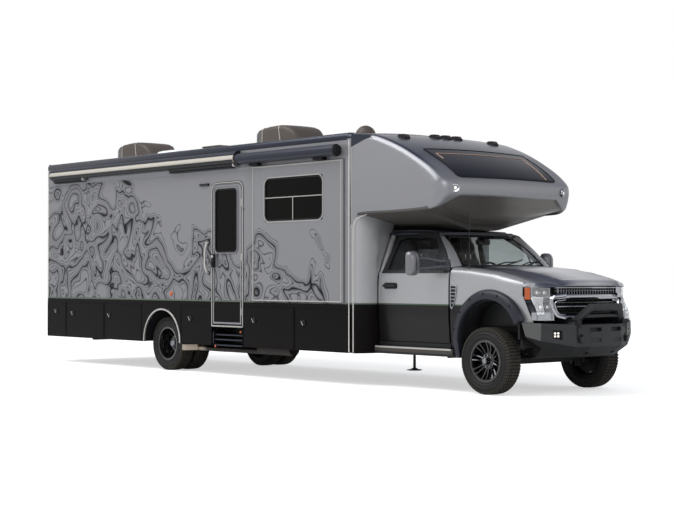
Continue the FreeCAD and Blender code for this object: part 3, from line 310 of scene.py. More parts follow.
# %% Rubber and cloth
tyre_rubber = coated("vulcanised_tyre_rubber", "#0C0B0B", 0.0, 0.62, 0.006, 0.0006, 0.4, "#1D1A17",
    Specular_IOR_Level=0.35)
worn_rubber = coated("scuffed_tread_rubber", "#38352F", 0.0, 0.8, 0.005, 0.0005, 0.5, "#17150F",
    Specular_IOR_Level=0.3)


def woven(name, code, thread, depth, shade):
    made, tree, shader = new_material(name, code, 0.0, 0.85, Sheen_Weight=0.25)
    place = add_node(tree, "ShaderNodeTexCoord").outputs["Object"]
    warp, weft = [add_node(tree, "ShaderNodeTexWave", {"bands_direction": way,
        "Scale": 0.314 / thread, "Distortion": 0.4, "Vector": place}).outputs["Fac"]
        for way in ("X", "Z")]
    cross = add_node(tree, "ShaderNodeMath", {"operation": "MULTIPLY", 0: warp, 1: weft})
    tint = add_node(tree, "ShaderNodeMix", {"data_type": "RGBA", 0: cross, 6: shade, 7: code})
    bump = add_node(tree, "ShaderNodeBump", {"Strength": 0.5, "Distance": depth, "Height": cross})
    give(shader, {"Base Color": tint, "Normal": bump})
    return made


awning_cloth = woven("acrylic_awning_cloth", "#ADA79C", 0.012, 0.0006, "#A9A49A")
seat_cloth = woven("woven_seat_cloth", "#4A4A50", 0.006, 0.0005, "#2A2A2F")

# %% [markdown]
# ## Camera, light and floor
# The camera stands off the front passenger corner at a person's eye height with a short
# telephoto lens, which keeps the long body from bending away. The light is plain: a pale world
# that fills every side and one broad soft lamp above, so a colour shows about as it is written.
# The world is white toward the horizon and darker overhead, which gives upper faces their depth.
# The floor looks white to the camera and in reflections, and it still takes the shadow.

# %% Camera
def add_object(name, data):
    made = bpy.data.objects.new(name, data)
    bpy.context.collection.objects.link(made)
    return made


def look(thing, way):
    thing.rotation_euler = way.to_track_quat("-Z", "Y").to_euler()


camera = add_object("camera", bpy.data.cameras.new("camera"))
camera.data.sensor_width, camera.data.lens, camera.data.clip_end = 36.0, 81.27, 200.0
camera.location = (17.711, -14.688, 1.464)
yaw, pitch = 2.4326, 0.0159
look(camera, Vector((math.cos(yaw) * math.cos(pitch), math.sin(yaw) * math.cos(pitch),
    math.sin(pitch))))
bpy.context.scene.camera = camera
print("camera lens", round(camera.data.lens), "mm")

# %% World and lamps
bpy.context.scene.view_settings.view_transform = "Standard"
bpy.context.scene.world = bpy.data.worlds.new("pale_studio")
bpy.context.scene.world.use_nodes = True
sky = bpy.context.scene.world.node_tree
plain = give(sky.nodes["Background"], {"Color": (0.93, 0.96, 1.0, 1.0), "Strength": 0.62})
toward = add_node(sky, "ShaderNodeTexCoord").outputs["Generated"]
height = add_node(sky, "ShaderNodeSeparateXYZ", {0: toward})
ceiling_tint = add_node(sky, "ShaderNodeValToRGB", {0: height.outputs["Z"]})
ramp = ceiling_tint.color_ramp.elements
ramp[0].position, ramp[0].color = 0.22, (1, 1, 1, 1)
ramp[1].position, ramp[1].color = 0.75, (0.16, 0.18, 0.26, 1)
white = add_node(sky, "ShaderNodeBackground", {"Strength": 1.0, "Color": ceiling_tint})
rays = add_node(sky, "ShaderNodeLightPath").outputs
seen = add_node(sky, "ShaderNodeMath", {"operation": "MAXIMUM", 0: rays["Is Camera Ray"],
    1: rays["Is Glossy Ray"]})
through = add_node(sky, "ShaderNodeMath", {"operation": "MAXIMUM", 0: seen,
    1: rays["Is Transmission Ray"]})
choice = add_node(sky, "ShaderNodeMixShader", {0: through, 1: plain, 2: white})
give(sky.nodes["World Output"], {"Surface": choice})
for name, place, target, size, power in (("overhead_softbox", (-2.0, -7.0, 13.0), (0.5, 0.0, 1.0),
        (14.0, 9.0), 1900), ("front_softbox", (15.0, -5.0, 7.5), (3.0, 0.0, 1.2), (7.0, 6.0),
        420)):
    lamp = add_object(name, bpy.data.lights.new(name, "AREA"))
    lamp.data.shape, lamp.data.energy = "RECTANGLE", power
    lamp.data.size, lamp.data.size_y = size
    lamp.location = place
    look(lamp, Vector(target) - Vector(place))
    print(name, power, "W")

# %% Floor
studio_paper = bpy.data.materials.new("studio_paper")
studio_paper.use_nodes = True
paper = studio_paper.node_tree
card = give(paper.nodes["Principled BSDF"], {"Base Color": (0.8, 0.8, 0.8, 1), "Roughness": 0.9,
    "Specular IOR Level": 0.0})
glow = add_node(paper, "ShaderNodeEmission", {"Color": (1, 1, 1, 1), "Strength": 0.55})
rays = add_node(paper, "ShaderNodeLightPath").outputs
faint = add_node(paper, "ShaderNodeMath", {"operation": "MULTIPLY", 0: rays["Is Glossy Ray"],
    1: 0.25})
seen = add_node(paper, "ShaderNodeMath", {"operation": "MAXIMUM", 0: rays["Is Camera Ray"],
    1: faint})
through = add_node(paper, "ShaderNodeMath", {"operation": "MAXIMUM", 0: seen,
    1: rays["Is Transmission Ray"]})
both = add_node(paper, "ShaderNodeAddShader", {0: card, 1: glow})
choice = add_node(paper, "ShaderNodeMixShader", {0: through, 1: card, 2: both})
give(paper.nodes["Material Output"], {"Surface": choice})
floor_mesh = bpy.data.meshes.new("studio_floor")
floor_mesh.from_pydata([(-60, -60, 0), (60, -60, 0), (60, 60, 0), (-60, 60, 0)], [],
    [(0, 1, 2, 3)])
floor_mesh.materials.append(studio_paper)
studio_floor = add_object("studio_floor", floor_mesh)

# %% [markdown]
# ## Building blocks
# A vehicle's trim is mostly bars, tubes, plates and turned rings. Shape gathers such closed
# shells into one mesh, so a whole mirror or a whole ladder is one piece. Its normals are then
# recalculated, and a small bevel gives each edge the highlight that a real edge has.

# %% Outlines: points in two axes
def arc(centre, radius, start, end, count):
    """Points of an arc, angles in degrees."""
    return [(centre[0] + radius * math.cos(math.radians(start + (end - start) * k / (count - 1))),
        centre[1] + radius * math.sin(math.radians(start + (end - start) * k / (count - 1))))
        for k in range(count)]


def rounded(low, high, radius, steps=5, inset=0.0):
    """A rectangle's outline with round corners, drawn in by the inset."""
    (a0, b0), (a1, b1) = ((v + inset for v in low), (v - inset for v in high))
    return (arc((a1 - radius, b0 + radius), radius, -90, 0, steps)
        + arc((a1 - radius, b1 - radius), radius, 0, 90, steps) + arc((a0 + radius, b1 - radius),
        radius, 90, 180, steps) + arc((a0 + radius, b0 + radius), radius, 180, 270, steps))


def raised(outline, axis, level):
    """An outline in the other two axes, set at that place along the axis."""
    at = "XYZ".index(axis)
    return [(*pair[:at], level, *pair[at:]) for pair in outline]


# %% Shape: many closed shells in one mesh
BLOCK = ((0, 1, 3, 2), (4, 6, 7, 5), (0, 4, 5, 1), (2, 3, 7, 6), (0, 2, 6, 4), (1, 5, 7, 3))
AXES = {"X": (1, 2, 0), "Y": (2, 0, 1), "Z": (0, 1, 2)}


def soften(made, width, angle):
    edges = made.modifiers.new("edges", "BEVEL")
    edges.width, edges.segments, edges.limit_method = width, 2, "ANGLE"
    edges.angle_limit, edges.harden_normals = math.radians(angle), True


def outward(mesh, merge=False):
    """Turns every face outward, after joining points that coincide."""
    work = bmesh.new()
    work.from_mesh(mesh)
    if merge:
        bmesh.ops.remove_doubles(work, verts=work.verts, dist=1e-6)
    bmesh.ops.recalc_face_normals(work, faces=work.faces)
    work.to_mesh(mesh)
    work.free()


def settle(made, body, nodes):
    """Joins a piece to its body, and hides the nodes it stands for."""
    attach(made, body)
    if nodes:
        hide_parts(*nodes)
    print(f"{made.name}: {len(made.data.polygons)} faces on {body}")
    return made


class Shape:
    def __init__(self):
        self.points, self.faces, self.paints = [], [], []

    def shell(self, points, faces, paint=0):
        first = len(self.points)
        self.points.extend(tuple(float(c) for c in point) for point in points)
        self.faces.extend([first + i for i in face] for face in faces)
        self.paints.extend([paint] * len(faces))
        return self

    def block(self, low, high, paint=0):
        return self.shell([(x, y, z) for x in (low[0], high[0]) for y in (low[1], high[1])
            for z in (low[2], high[2])], BLOCK, paint)

    def skin(self, rings, paint=0, closed=False):
        """Joins rings of equal length. Open rows of rings are capped at both ends."""
        count, rows = len(rings[0]), len(rings)
        faces = []
        for row in range(rows if closed else rows - 1):
            here, there = row * count, ((row + 1) % rows) * count
            faces += [(here + i, here + (i + 1) % count, there + (i + 1) % count, there + i)
                for i in range(count)]
        if not closed:
            faces += [tuple(range(count)), tuple(range((rows - 1) * count, rows * count))]
        return self.shell([point for ring in rings for point in ring], faces, paint)

    def prism(self, outline, axis, low, high, paint=0):
        return self.skin([raised(outline, axis, level) for level in (low, high)], paint)

    def frame(self, outer, inner, axis, low, high, paint=0):
        """A flat frame between two outlines of equal length."""
        return self.skin([raised(outline, axis, level) for outline, level in ((outer, low),
            (outer, high), (inner, high), (inner, low))], paint, closed=True)

    def pad(self, axis, low, high, corner, steps, levels, paint=0):
        """A rounded block in layers, each a place along the axis and how far it is drawn in."""
        return self.skin([raised(rounded(low, high, corner, steps, inset), axis, level)
            for level, inset in levels], paint)

    def pipe(self, path, radius, paint=0, sides=12, closed=False):
        """A round tube along a path of points, with one radius or one for each point."""
        path = [Vector(point) for point in path]
        radii = [radius] * len(path) if isinstance(radius, (int, float)) else radius
        rings, side = [], None
        for i, point in enumerate(path):
            before = path[i - 1] if closed or i else point
            after = path[(i + 1) % len(path)] if closed or i < len(path) - 1 else point
            along = (after - before).normalized()
            if side is None:
                side = along.orthogonal().normalized()
            side = (side - along * side.dot(along)).normalized()
            other = along.cross(side)
            rings.append([point + radii[i] * (math.cos(a) * side + math.sin(a) * other)
                for a in (math.tau * k / sides for k in range(sides))])
        return self.skin(rings, paint, closed)

    def turn(self, profile, centre, paint=0, sides=64, axis="Y", sign=1):
        """A closed profile of (radius, place along the axis), turned about it."""
        u, v, w = AXES[axis]
        rings = []
        for k in range(sides):
            angle = math.tau * k / sides
            ring = []
            for radius, along in profile:
                point = list(centre)
                point[u] += radius * math.cos(angle)
                point[v] += radius * math.sin(angle)
                point[w] += along * sign
                ring.append(point)
            rings.append(ring)
        return self.skin(rings, paint, closed=True)

    def moved(self, turn, place):
        self.points = [tuple(turn @ Vector(p) + Vector(place)) for p in self.points]
        return self

    def mirrored(self):
        twin = Shape()
        twin.points = [(x, -y, z) for x, y, z in self.points]
        twin.faces = [face[::-1] for face in self.faces]
        twin.paints = list(self.paints)
        return twin

    def join(self, other):
        first = len(self.points)
        self.points += other.points
        self.faces += [[first + i for i in face] for face in other.faces]
        self.paints += other.paints
        return self

    def both_sides(self):
        return self.join(self.mirrored())

    def piece(self, name, materials, body="chassis", slot="trim_plastic", nodes=(), bevel=0.0,
            angle=35):
        """Makes the object, gives it its finish, and joins it to its body in the frame."""
        mesh = bpy.data.meshes.new(name)
        mesh.from_pydata(self.points, [], self.faces)
        for material in materials if isinstance(materials, (list, tuple)) else [materials]:
            mesh.materials.append(material)
        mesh.polygons.foreach_set("material_index", self.paints)
        outward(mesh, merge=True)
        made = add_object(name, mesh)
        mesh.shade_smooth()
        if bevel:
            soften(made, bevel, angle)
        else:
            mesh.set_sharp_from_angle(angle=math.radians(angle))
        return settle(made, body, nodes)


# %% [markdown]
# What repeats is placed by Geometry Nodes, from one part and a few named sizes. Two trees do for
# this vehicle: a ring, for tread blocks, wheel nuts and spokes, and a grid, for louvres,
# honeycomb cells, rungs and rows of ribs. The part is a small mesh of a few dozen faces, used
# once in the tree and then thrown away. The result is turned into a plain mesh.

# %% Trees for rings and grids
def start_tree(name, **inputs):
    tree = bpy.data.node_groups.new(name, "GeometryNodeTree")
    for label, kind in inputs.items():
        tree.interface.new_socket(label.replace("_", " "), in_out="INPUT", socket_type="NodeSocket"
            + kind)
    tree.interface.new_socket("Geometry", in_out="OUTPUT", socket_type="NodeSocketGeometry")
    return tree, add_node(tree, "NodeGroupInput").outputs


def end_tree(tree, given, points, turned):
    """Puts the part on the points, makes it real, and gives it its finish."""
    part = add_node(tree, "GeometryNodeObjectInfo", {"Object": given["Part"]})
    spread = add_node(tree, "GeometryNodeInstanceOnPoints", {"Points": points,
        "Instance": part.outputs["Geometry"], **turned})
    real = add_node(tree, "GeometryNodeRealizeInstances", {0: spread})
    moved = add_node(tree, "GeometryNodeTransform", {"Geometry": real,
        "Translation": given["Centre"]})
    finish = add_node(tree, "GeometryNodeSetMaterial", {"Geometry": moved,
        "Material": given["Finish"]})
    add_node(tree, "NodeGroupOutput", {0: finish})
    return tree


def ring_tree():
    """The part is drawn at the top of the ring, and turned about a line along Y."""
    tree, given = start_tree("ring_of_parts", Part="Object", Count="Int", First_Angle="Float",
        Step_Angle="Float", Centre="Vector", Finish="Material")
    points = add_node(tree, "GeometryNodePoints", {"Count": given["Count"]})
    index = add_node(tree, "GeometryNodeInputIndex")
    angle = add_node(tree, "ShaderNodeMath", {"operation": "MULTIPLY_ADD", 0: index,
        1: given["Step Angle"], 2: given["First Angle"]})
    return end_tree(tree, given, points, {"Rotation": add_node(tree, "ShaderNodeCombineXYZ",
        {"Y": angle})})


def grid_tree():
    """Rows and columns of the part, each odd row moved along by a share of the step."""
    tree, given = start_tree("grid_of_parts", Part="Object", Count="Int", Columns="Int",
        Step="Vector", Row_Step="Vector", Odd_Shift="Float", Centre="Vector", Finish="Material")
    index = add_node(tree, "GeometryNodeInputIndex")
    row = add_node(tree, "ShaderNodeMath", {"operation": "DIVIDE", 0: index, 1: given["Columns"]})
    row = add_node(tree, "ShaderNodeMath", {"operation": "FLOOR", 0: row})
    column = add_node(tree, "ShaderNodeMath", {"operation": "FLOORED_MODULO", 0: index,
        1: given["Columns"]})
    odd = add_node(tree, "ShaderNodeMath", {"operation": "FLOORED_MODULO", 0: row, 1: 2.0})
    along = add_node(tree, "ShaderNodeMath", {"operation": "MULTIPLY_ADD", 0: odd,
        1: given["Odd Shift"], 2: column})
    across = add_node(tree, "ShaderNodeVectorMath", {"operation": "SCALE", 0: given["Step"],
        "Scale": along})
    up = add_node(tree, "ShaderNodeVectorMath", {"operation": "SCALE", 0: given["Row Step"],
        "Scale": row})
    place = add_node(tree, "ShaderNodeVectorMath", {"operation": "ADD", 0: across, 1: up})
    return end_tree(tree, given, add_node(tree, "GeometryNodePoints", {"Count": given["Count"],
        "Position": place}), {})


RING, GRID = ring_tree(), grid_tree()
print("trees:", RING.name, "and", GRID.name)


def repeat(name, tree, part, settings, finish, body="chassis", nodes=(),
        angle=35):
    """Runs a tree on a part and keeps the result as a plain mesh, by default in one row."""
    seed_mesh = bpy.data.meshes.new("part")
    seed_mesh.from_pydata(part.points, [], part.faces)
    outward(seed_mesh)
    seed = add_object("part", seed_mesh)
    made = add_object(name, bpy.data.meshes.new(name))
    modifier = made.modifiers.new("nodes", "NODES")
    modifier.node_group = tree
    values = {"Part": seed, "Finish": finish, "Columns": settings["Count"], "Row Step": (0, 0, 0),
        "Odd Shift": 0.0, "Centre": (0, 0, 0), "First Angle": 0.0, **settings}
    for item in tree.interface.items_tree:
        if item.in_out == "INPUT":
            modifier[item.identifier] = values[item.name]
    grown = made.evaluated_get(bpy.context.evaluated_depsgraph_get())
    made.data = bpy.data.meshes.new_from_object(grown)
    made.modifiers.remove(modifier)
    made.data.shade_smooth()
    made.data.set_sharp_from_angle(angle=math.radians(angle))
    bpy.data.objects.remove(seed)
    return settle(made, body, nodes)

# %% [markdown]
# ## Finish the frame's own panels
# Walls, roof, floor, doors' flat leaves, rails and axles already have the right shape, so they
# keep it and only get their finish. A CAD node's mesh is never touched.

# %% Materials for the nodes that stay
KEPT = (  # a finish, and the nodes that get it
    (house_skin, "right_wall left_wall end_walls slide_out_room entry_door"),
    (black_gelcoat, "lower_body right_rear_corner_hatch right_rear_hatch right_mid_hatch "
     "right_step_hatch right_slide_hatch right_front_hatch left_rear_hatch left_front_hatch"),
    (roof_sheet, "roof"), (floor_ply, "house_floor"), (exhaust_steel, "exhaust_pipe"),
    (chassis_paint, "frame_rails front_axle_beam rear_axle_housing left_knuckle "
     "right_knuckle engine_block hitch_receiver leveling_jacks"),
    (privacy_glass, "entry_door_window slide_out_window"), (lamp_lens, "lamps"),
    (silver_paint, "front_cap cab_shell cab_side_panels left_cab_door right_cab_door "
     "front_fenders hood left_mirror right_mirror"),
    (trim_plastic, "steps dashboard seats grille"), (bumper_coat, "front_bumper rear_bumper"),
    (cab_glass, "fixed_windows left_cab_door_glass right_cab_door_glass"),
    (cooler_plastic, "air_conditioners"), (skylight_plastic, "roof_fittings"),
    (dark_rail, "patio_awning slide_out_awning"), (bright_trim, "rear_ladder"),
    (tyre_rubber, "left_front_tyre right_front_tyre left_rear_tyres right_rear_tyres"),
    (wheel_gloss, "left_front_rim right_front_rim left_rear_rims right_rear_rims"))
for material, names in KEPT:
    for name in names.split():
        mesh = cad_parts[name].data
        mesh.materials.clear()
        mesh.materials.append(material)
print(sum(len(names.split()) for _, names in KEPT), "nodes got a finish")

# %% [markdown]
# ## The cap over the cab
# The real cap is one large fibreglass moulding: flat sides, a sloped front with a dark window, a
# crease over a shallow chin panel, and a soffit that falls to the cab's roof. Two outlines along
# the vehicle, one for its side and one for its middle, hold that shape. Every point of the
# surface lies between them, and near each side it turns in by a radius that is small below and
# large at the nose.

# %% The cap's two outlines
CAP_ROWS = (
    # side: ahead of the axle, height; middle: ahead of the axle, height; edge radius
    (-2.23, 3.375, -2.23, 3.44, 0.05), (-1.85, 3.345, -1.85, 3.385, 0.08),
    (-1.6, 3.275, -1.58, 3.312, 0.09), (-1.32, 3.165, -1.29, 3.2, 0.09),
    (-1.06, 3.035, -1.03, 3.07, 0.09), (-0.8, 2.885, -0.77, 2.915, 0.1),
    (-0.625, 2.755, -0.58, 2.775, 0.12), (-0.555, 2.682, -0.515, 2.692, 0.15),
    (-0.538, 2.6, -0.498, 2.6, 0.16), (-0.55, 2.515, -0.512, 2.515, 0.16),
    (-0.585, 2.445, -0.6, 2.42, 0.13), (-0.65, 2.365, -0.72, 2.3, 0.09),
    (-0.78, 2.32, -0.84, 2.18, 0.05), (-1.0, 2.306, -1.02, 2.09, 0.04),
    (-1.43, 2.298, -1.4, 2.085, 0.035), (-2.03, 2.296, -2.03, 2.085, 0.03),
    (-2.165, 2.245, -2.165, 2.085, 0.03), (-2.23, 2.12, -2.23, 2.085, 0.03),
)


def smooth_rows(rows, steps):
    """Catmull-Rom through the rows, which rounds the outline between them."""
    rows = np.array(rows, float)
    padded = np.vstack([2 * rows[0] - rows[1], rows, 2 * rows[-1] - rows[-2]])
    found = []
    for i in range(1, len(padded) - 2):
        a, b, c, d = padded[i - 1:i + 3]
        for k in range(steps):
            t = k / steps
            found.append(0.5 * (2 * b + (c - a) * t + (2 * a - 5 * b + 4 * c - d) * t ** 2
                + (3 * b - a - 3 * c + d) * t ** 3))
    return np.array(found + [rows[-1]])


CAP_STEPS = 8
CAP = smooth_rows(CAP_ROWS, CAP_STEPS)
print("cap outlines of", len(CAP), "points")


def step(value, low, high):
    share = min(1.0, max(0.0, (value - low) / (high - low)))
    return share * share * (3 - 2 * share)


def cap_point(t, y, lift=0.0):
    """The cap's surface: t counts the rows, from the top rear round the nose to the soffit."""
    i = t * CAP_STEPS
    places = range(len(CAP))
    side_x, side_z, mid_x, mid_z, edge = (np.interp(i, places, CAP[:, k]) for k in range(5))
    along_x, along_z = (np.interp(i + 1, places, CAP[:, k]) - np.interp(i - 1, places, CAP[:, k])
        for k in (0, 1))
    length = math.hypot(along_x, along_z)
    share = (abs(y) / SIDE) ** 2
    if t > 7.5:
        share += (min(1.0, max(0.0, (abs(y) - 0.3) / 0.92)) - share) * step(t, 8.0, 10.0)
    x = mid_x + (side_x - mid_x) * share
    z = mid_z + (side_z - mid_z) * share
    over = max(0.0, abs(y) - (SIDE - edge))
    turned_in = edge - math.sqrt(max(0.0, edge ** 2 - over ** 2))
    chin = 2.505 - 0.55 * max(0.0, abs(y) - 0.92)
    sunk = 0.0
    if 7.5 < t < 13:
        sunk = 0.034 * step(chin - z, 0.0, 0.02) * step(1.25 - abs(y), 0.0, 0.03)
    shift = lift - turned_in - sunk
    taper = 1 - 0.02 / SIDE * step(x, -1.8, -0.6)
    return (AXLE + x - along_z / length * shift, y * taper, z + along_x / length * shift)


# %% The moulding: silver sides, a painted dark reflection on the top, painted shade on the chin and soffit
def cap_columns(t):
    edge = float(np.interp(t * CAP_STEPS, range(len(CAP)), CAP[:, 4]))
    flat = np.linspace(-1, 1, 129) * (SIDE - edge)
    turn = [SIDE - edge + edge * math.sin(math.radians(a)) for a in (15, 30, 45, 60, 75, 90)]
    return [-y for y in turn[::-1]] + list(flat) + turn


cap = Shape()
ROWS = [k / 6 for k in range(6 * (len(CAP_ROWS) - 1) + 1)]
grid = [[cap_point(t, y) for y in cap_columns(t)] for t in ROWS]
WIDE = len(grid[0])
points = [point for row in grid for point in row]
faces, paints = [], []
for row in range(len(grid) - 1):
    for column in range(WIDE - 1):
        here = row * WIDE + column
        faces.append((here, here + WIDE, here + WIDE + 1, here + 1))
        x, y, z = (sum(points[i][k] for i in faces[-1]) / 4 for k in range(3))
        # Paint for each face: the rail's dark colour at the rear corner, a painted dark reflection
        # on the top rows, painted shade on the soffit rows, and silver elsewhere.
        rail = z > 3.2 + 0.289 * (x - AXLE + 2.264) and x < AXLE - 1.79
        at_side = column < 4 or column > WIDE - 6
        top = ROWS[row] < 6.6 and not at_side
        soffit = ROWS[row] >= 12.0
        paints.append(1 if rail else 2 if top else 3 if soffit else 0)
sides = [tuple(row * WIDE for row in range(len(grid))), tuple(row * WIDE + WIDE - 1
    for row in range(len(grid)))[::-1]]
back = tuple(range(WIDE - 1, -1, -1)) + tuple(range((len(grid) - 1) * WIDE, len(grid) * WIDE))
cap.shell(points, faces + sides + [back[::-1]])
cap.paints = paints + [0, 0, 0]
# The top's silver turns dark with height. This is a painted reflection of a dark sky on the upward
# faces.
top_painted_reflection, tree, shader = new_material("metallic_clearcoat_painted_reflection", "#3E414D", 0.5, 0.3,
    Coat_Weight=0.25, Coat_Roughness=0.08)
place, axes = own_place(tree)
share = add_node(tree, "ShaderNodeMapRange", {"From Min": 2.68, "From Max": 3.02,
    "Value": axes["Z"]})
tint = add_node(tree, "ShaderNodeMix", {"data_type": "RGBA", 0: share, 6: "#86868A", 7: "#383B47"})
give(shader, {"Base Color": tint, "Normal": rippled(tree, place, 2.0, 0.003)})
# The cap's silver, with painted shade on the chin below the crease.
cap_silver_chin_shade, tree, shader = new_material("cap_silver_shaded_chin", "#86868A", 0.55, 0.38,
    **THIN_COAT)
axes = own_place(tree)[1]
off_middle = add_node(tree, "ShaderNodeMath", {"operation": "ABSOLUTE", 0: axes["Y"]})
slant = add_node(tree, "ShaderNodeMapRange", {"From Min": 0.92, "From Max": 1.32, "To Min": 2.505,
    "To Max": 2.285, "Value": off_middle})
under = add_node(tree, "ShaderNodeMath", {"operation": "SUBTRACT", 0: slant, 1: axes["Z"]})
edge = add_node(tree, "ShaderNodeMapRange", {"From Max": 0.012, "Value": under})
ahead = add_node(tree, "ShaderNodeMath", {"operation": "GREATER_THAN", 0: axes["X"],
    1: AXLE - 1.05})
mask = add_node(tree, "ShaderNodeMath", {"operation": "MULTIPLY", 0: edge, 1: ahead})
tint = add_node(tree, "ShaderNodeMix", {"data_type": "RGBA", 0: mask, 6: "#86868A", 7: "#66635F"})
give(shader, {"Base Color": tint})
# The soffit's dark grey is painted shade under the overhang.
soffit_painted_shade = coated("soffit_painted_shade_grey", "#55524F", 0.2, 0.5, 0.02, 0.0004, 0.3)
cap.piece("cap_shell", [cap_silver_chin_shade, dark_rail, top_painted_reflection, soffit_painted_shade], slot="body_silver",
    nodes=("front_cap",), angle=28)
print("cap", len(points), "points")

# %% [markdown]
# The cap's window is a smoked acrylic pane bonded over the slope, with a thin copper tint line
# printed inside its edge. It follows the moulding, so its points are the cap's own points lifted
# by a few millimetres.

# %% The cap's window and its line
def sheet_shell(shape, front, back, paint=0):
    """Closes two equal grids of points into one thin shell."""
    rows, wide = len(front), len(front[0])
    points = [p for row in front for p in row] + [p for row in back for p in row]
    count = rows * wide
    faces = []
    for i in range(rows - 1):
        for k in range(wide - 1):
            a = i * wide + k
            faces.append((a, a + wide, a + wide + 1, a + 1))
            faces.append((count + a, count + a + 1, count + a + wide + 1, count + a + wide))
    rim = ([k for k in range(wide)] + [i * wide + wide - 1 for i in range(1, rows)]
        + [(rows - 1) * wide + k for k in range(wide - 2, -1, -1)] + [i * wide
        for i in range(rows - 2, 0, -1)])
    for i, a in enumerate(rim):
        b = rim[(i + 1) % len(rim)]
        faces.append((a, b, count + b, count + a))
    return shape.shell(points, faces, paint)


LOW_T, HIGH_T, PANE_HALF, PANE_CORNER = 3.45, 6.32, 0.945, 0.1


def pane_line(grow):
    """The pane's outline over the cap, with round lower corners."""
    corner_t = PANE_CORNER * (HIGH_T - LOW_T) / 0.8
    outline = [(LOW_T, -PANE_HALF - grow + k * (PANE_HALF + grow) / 15) for k in range(31)]
    outline += [(LOW_T + (HIGH_T - corner_t - LOW_T) * k / 12, PANE_HALF + grow)
        for k in range(1, 13)]
    outline += [(HIGH_T - corner_t + corner_t * math.sin(math.radians(a)) + grow,
        PANE_HALF - PANE_CORNER + PANE_CORNER * math.cos(math.radians(a)) + grow)
        for a in range(15, 91, 15)]
    middle_run = outline[31:]
    outline += [(HIGH_T + grow, (PANE_HALF - PANE_CORNER) * (1 - k / 14)) for k in range(1, 28)]
    outline += [(t, -y) for t, y in middle_run[::-1]]
    return outline


def window_half(t):
    corner_t = PANE_CORNER * (HIGH_T - LOW_T) / 0.8
    over = max(0.0, t - (HIGH_T - corner_t)) / corner_t
    return PANE_HALF - PANE_CORNER * (1 - math.sqrt(max(0.0, 1 - over ** 2)))


def pane_rows(lift):
    levels = list(np.linspace(LOW_T, HIGH_T - 0.36, 14)) + list(np.linspace(HIGH_T - 0.33, HIGH_T,
        9))
    return [[cap_point(t, window_half(t) * k / 30, lift) for k in range(-30, 31)] for t in levels]


cap_pane = Shape()
sheet_shell(cap_pane, pane_rows(0.006), pane_rows(-0.004))
cap_pane.piece("cap_window", cap_glass, slot="window_glass", angle=40)
seal = Shape()
seal.pipe([cap_point(t, y, 0.003) for t, y in pane_line(0.004)], 0.01, sides=8, closed=True)
seal.piece("cap_window_seal", seal_rubber)
line = Shape()
line_path = ([cap_point(4.45 - 0.5 * k / 5, -0.86, 0.006) for k in range(5)] + [cap_point(3.95,
    -0.86 + 1.66 * k / 40, 0.006) for k in range(41)] + [cap_point(3.95 + 2.2 * k / 20,
    0.8 - 0.04 * k / 20, 0.006) for k in range(1, 21)])
line.pipe(line_path, 0.008, sides=8)
line.piece("cap_window_line", copper_line)

# %% [markdown]
# Five low clearance lamps stand along the cap's crest, as the rules ask of a wide vehicle, and a
# round lamp sits in a pocket at each end of the crease.

# %% Clearance lamps and corner lamps
clearance = Shape()
for y, t in ((-0.85, 1.65), (-0.205, 1.36), (0.0, 1.36), (0.205, 1.36), (0.85, 1.65)):
    x, _, z = cap_point(t, y)
    for half, paint, outline in ((0.05, 0, ((-0.075, -0.02), (-0.075, 0.012), (-0.03, 0.038),
            (0.045, 0.036), (0.085, -0.004), (0.09, -0.03))), (0.03, 1, ((0.055, -0.02),
            (0.055, 0.024), (0.064, 0.02), (0.092, -0.006)))):
        clearance.prism([(x + a, z + b) for a, b in outline], "Y", y - half, y + half, paint)
clearance.piece("clearance_lamps", [trim_plastic, smoked_lens], bevel=0.004)
corner = Shape()
for side in (-1, 1):
    x, y, z = cap_point(8.1, 1.047)
    lamp = Shape()
    lamp.turn([(0.03, 0.006), (0.052, 0.01), (0.06, 0.002), (0.06, -0.02), (0.03, -0.02)],
        (0, 0, 0), 0, 28, "X")
    lamp.turn([(0.001, -0.004), (0.03, -0.004), (0.03, -0.018), (0.001, -0.018)], (0, 0, 0), 1, 24,
        "X")
    lamp.turn([(0.001, 0.012), (0.018, 0.01), (0.022, -0.002), (0.001, -0.003)], (0, 0, 0), 2, 20,
        "X")
    turn = Matrix.Rotation(math.radians(28), 3, "Z")
    lamp.moved(turn, (x + 0.004, y, z))
    corner.join(lamp.mirrored() if side < 0 else lamp)
corner.piece("cap_corner_lamps", [chrome, seal_rubber, bright_lamp], slot="lamp_lens")

# %% [markdown]
# Above a slanting line at the cap's rear corner the side is the roof rail's dark colour, as if the
# rail swept down on to the cap. A thin plate carries that colour on each side.

# %% Dark corner over the cap's side
corner_plate = Shape()
corner_plate.prism([(AXLE + x, z) for x, z in ((-2.232, 3.203), (-1.83, 3.326), (-1.88, 3.34),
    (-2.0, 3.356), (-2.232, 3.372))], "Y", SIDE - 0.004, SIDE + 0.002)
corner_plate.prism([(2.383, 2.128), (2.383, 2.36), (2.5, 2.36), (2.5, 2.285), (2.462, 2.262),
    (2.443, 2.243)], "Y", SIDE - 0.006, SIDE + 0.0008, 1)
corner_plate.both_sides().piece("cap_corner_plates", [dark_rail, silver_paint], slot="body_black")

# %% [markdown]
# ## Hood and fenders
# Both are pressed steel: large, gently crowned surfaces with a raised centre on the hood and a
# round shoulder on each fender. Each is a grid of points whose heights follow a few measured
# stations, given a thickness by Solidify and a fine edge by Bevel. The gap between them stays
# even because both read the same shoulder line.

# %% Shoulder line shared by hood and fenders
SHOULDER = ((-0.7, 1.59), (-0.34, 1.572), (0.078, 1.522), (0.39, 1.452), (0.667, 1.373),
    (0.75, 1.35))
HOOD_HALF = 0.838


def shoulder(x):
    return float(np.interp(x - AXLE, [a for a, b in SHOULDER], [b for a, b in SHOULDER]))


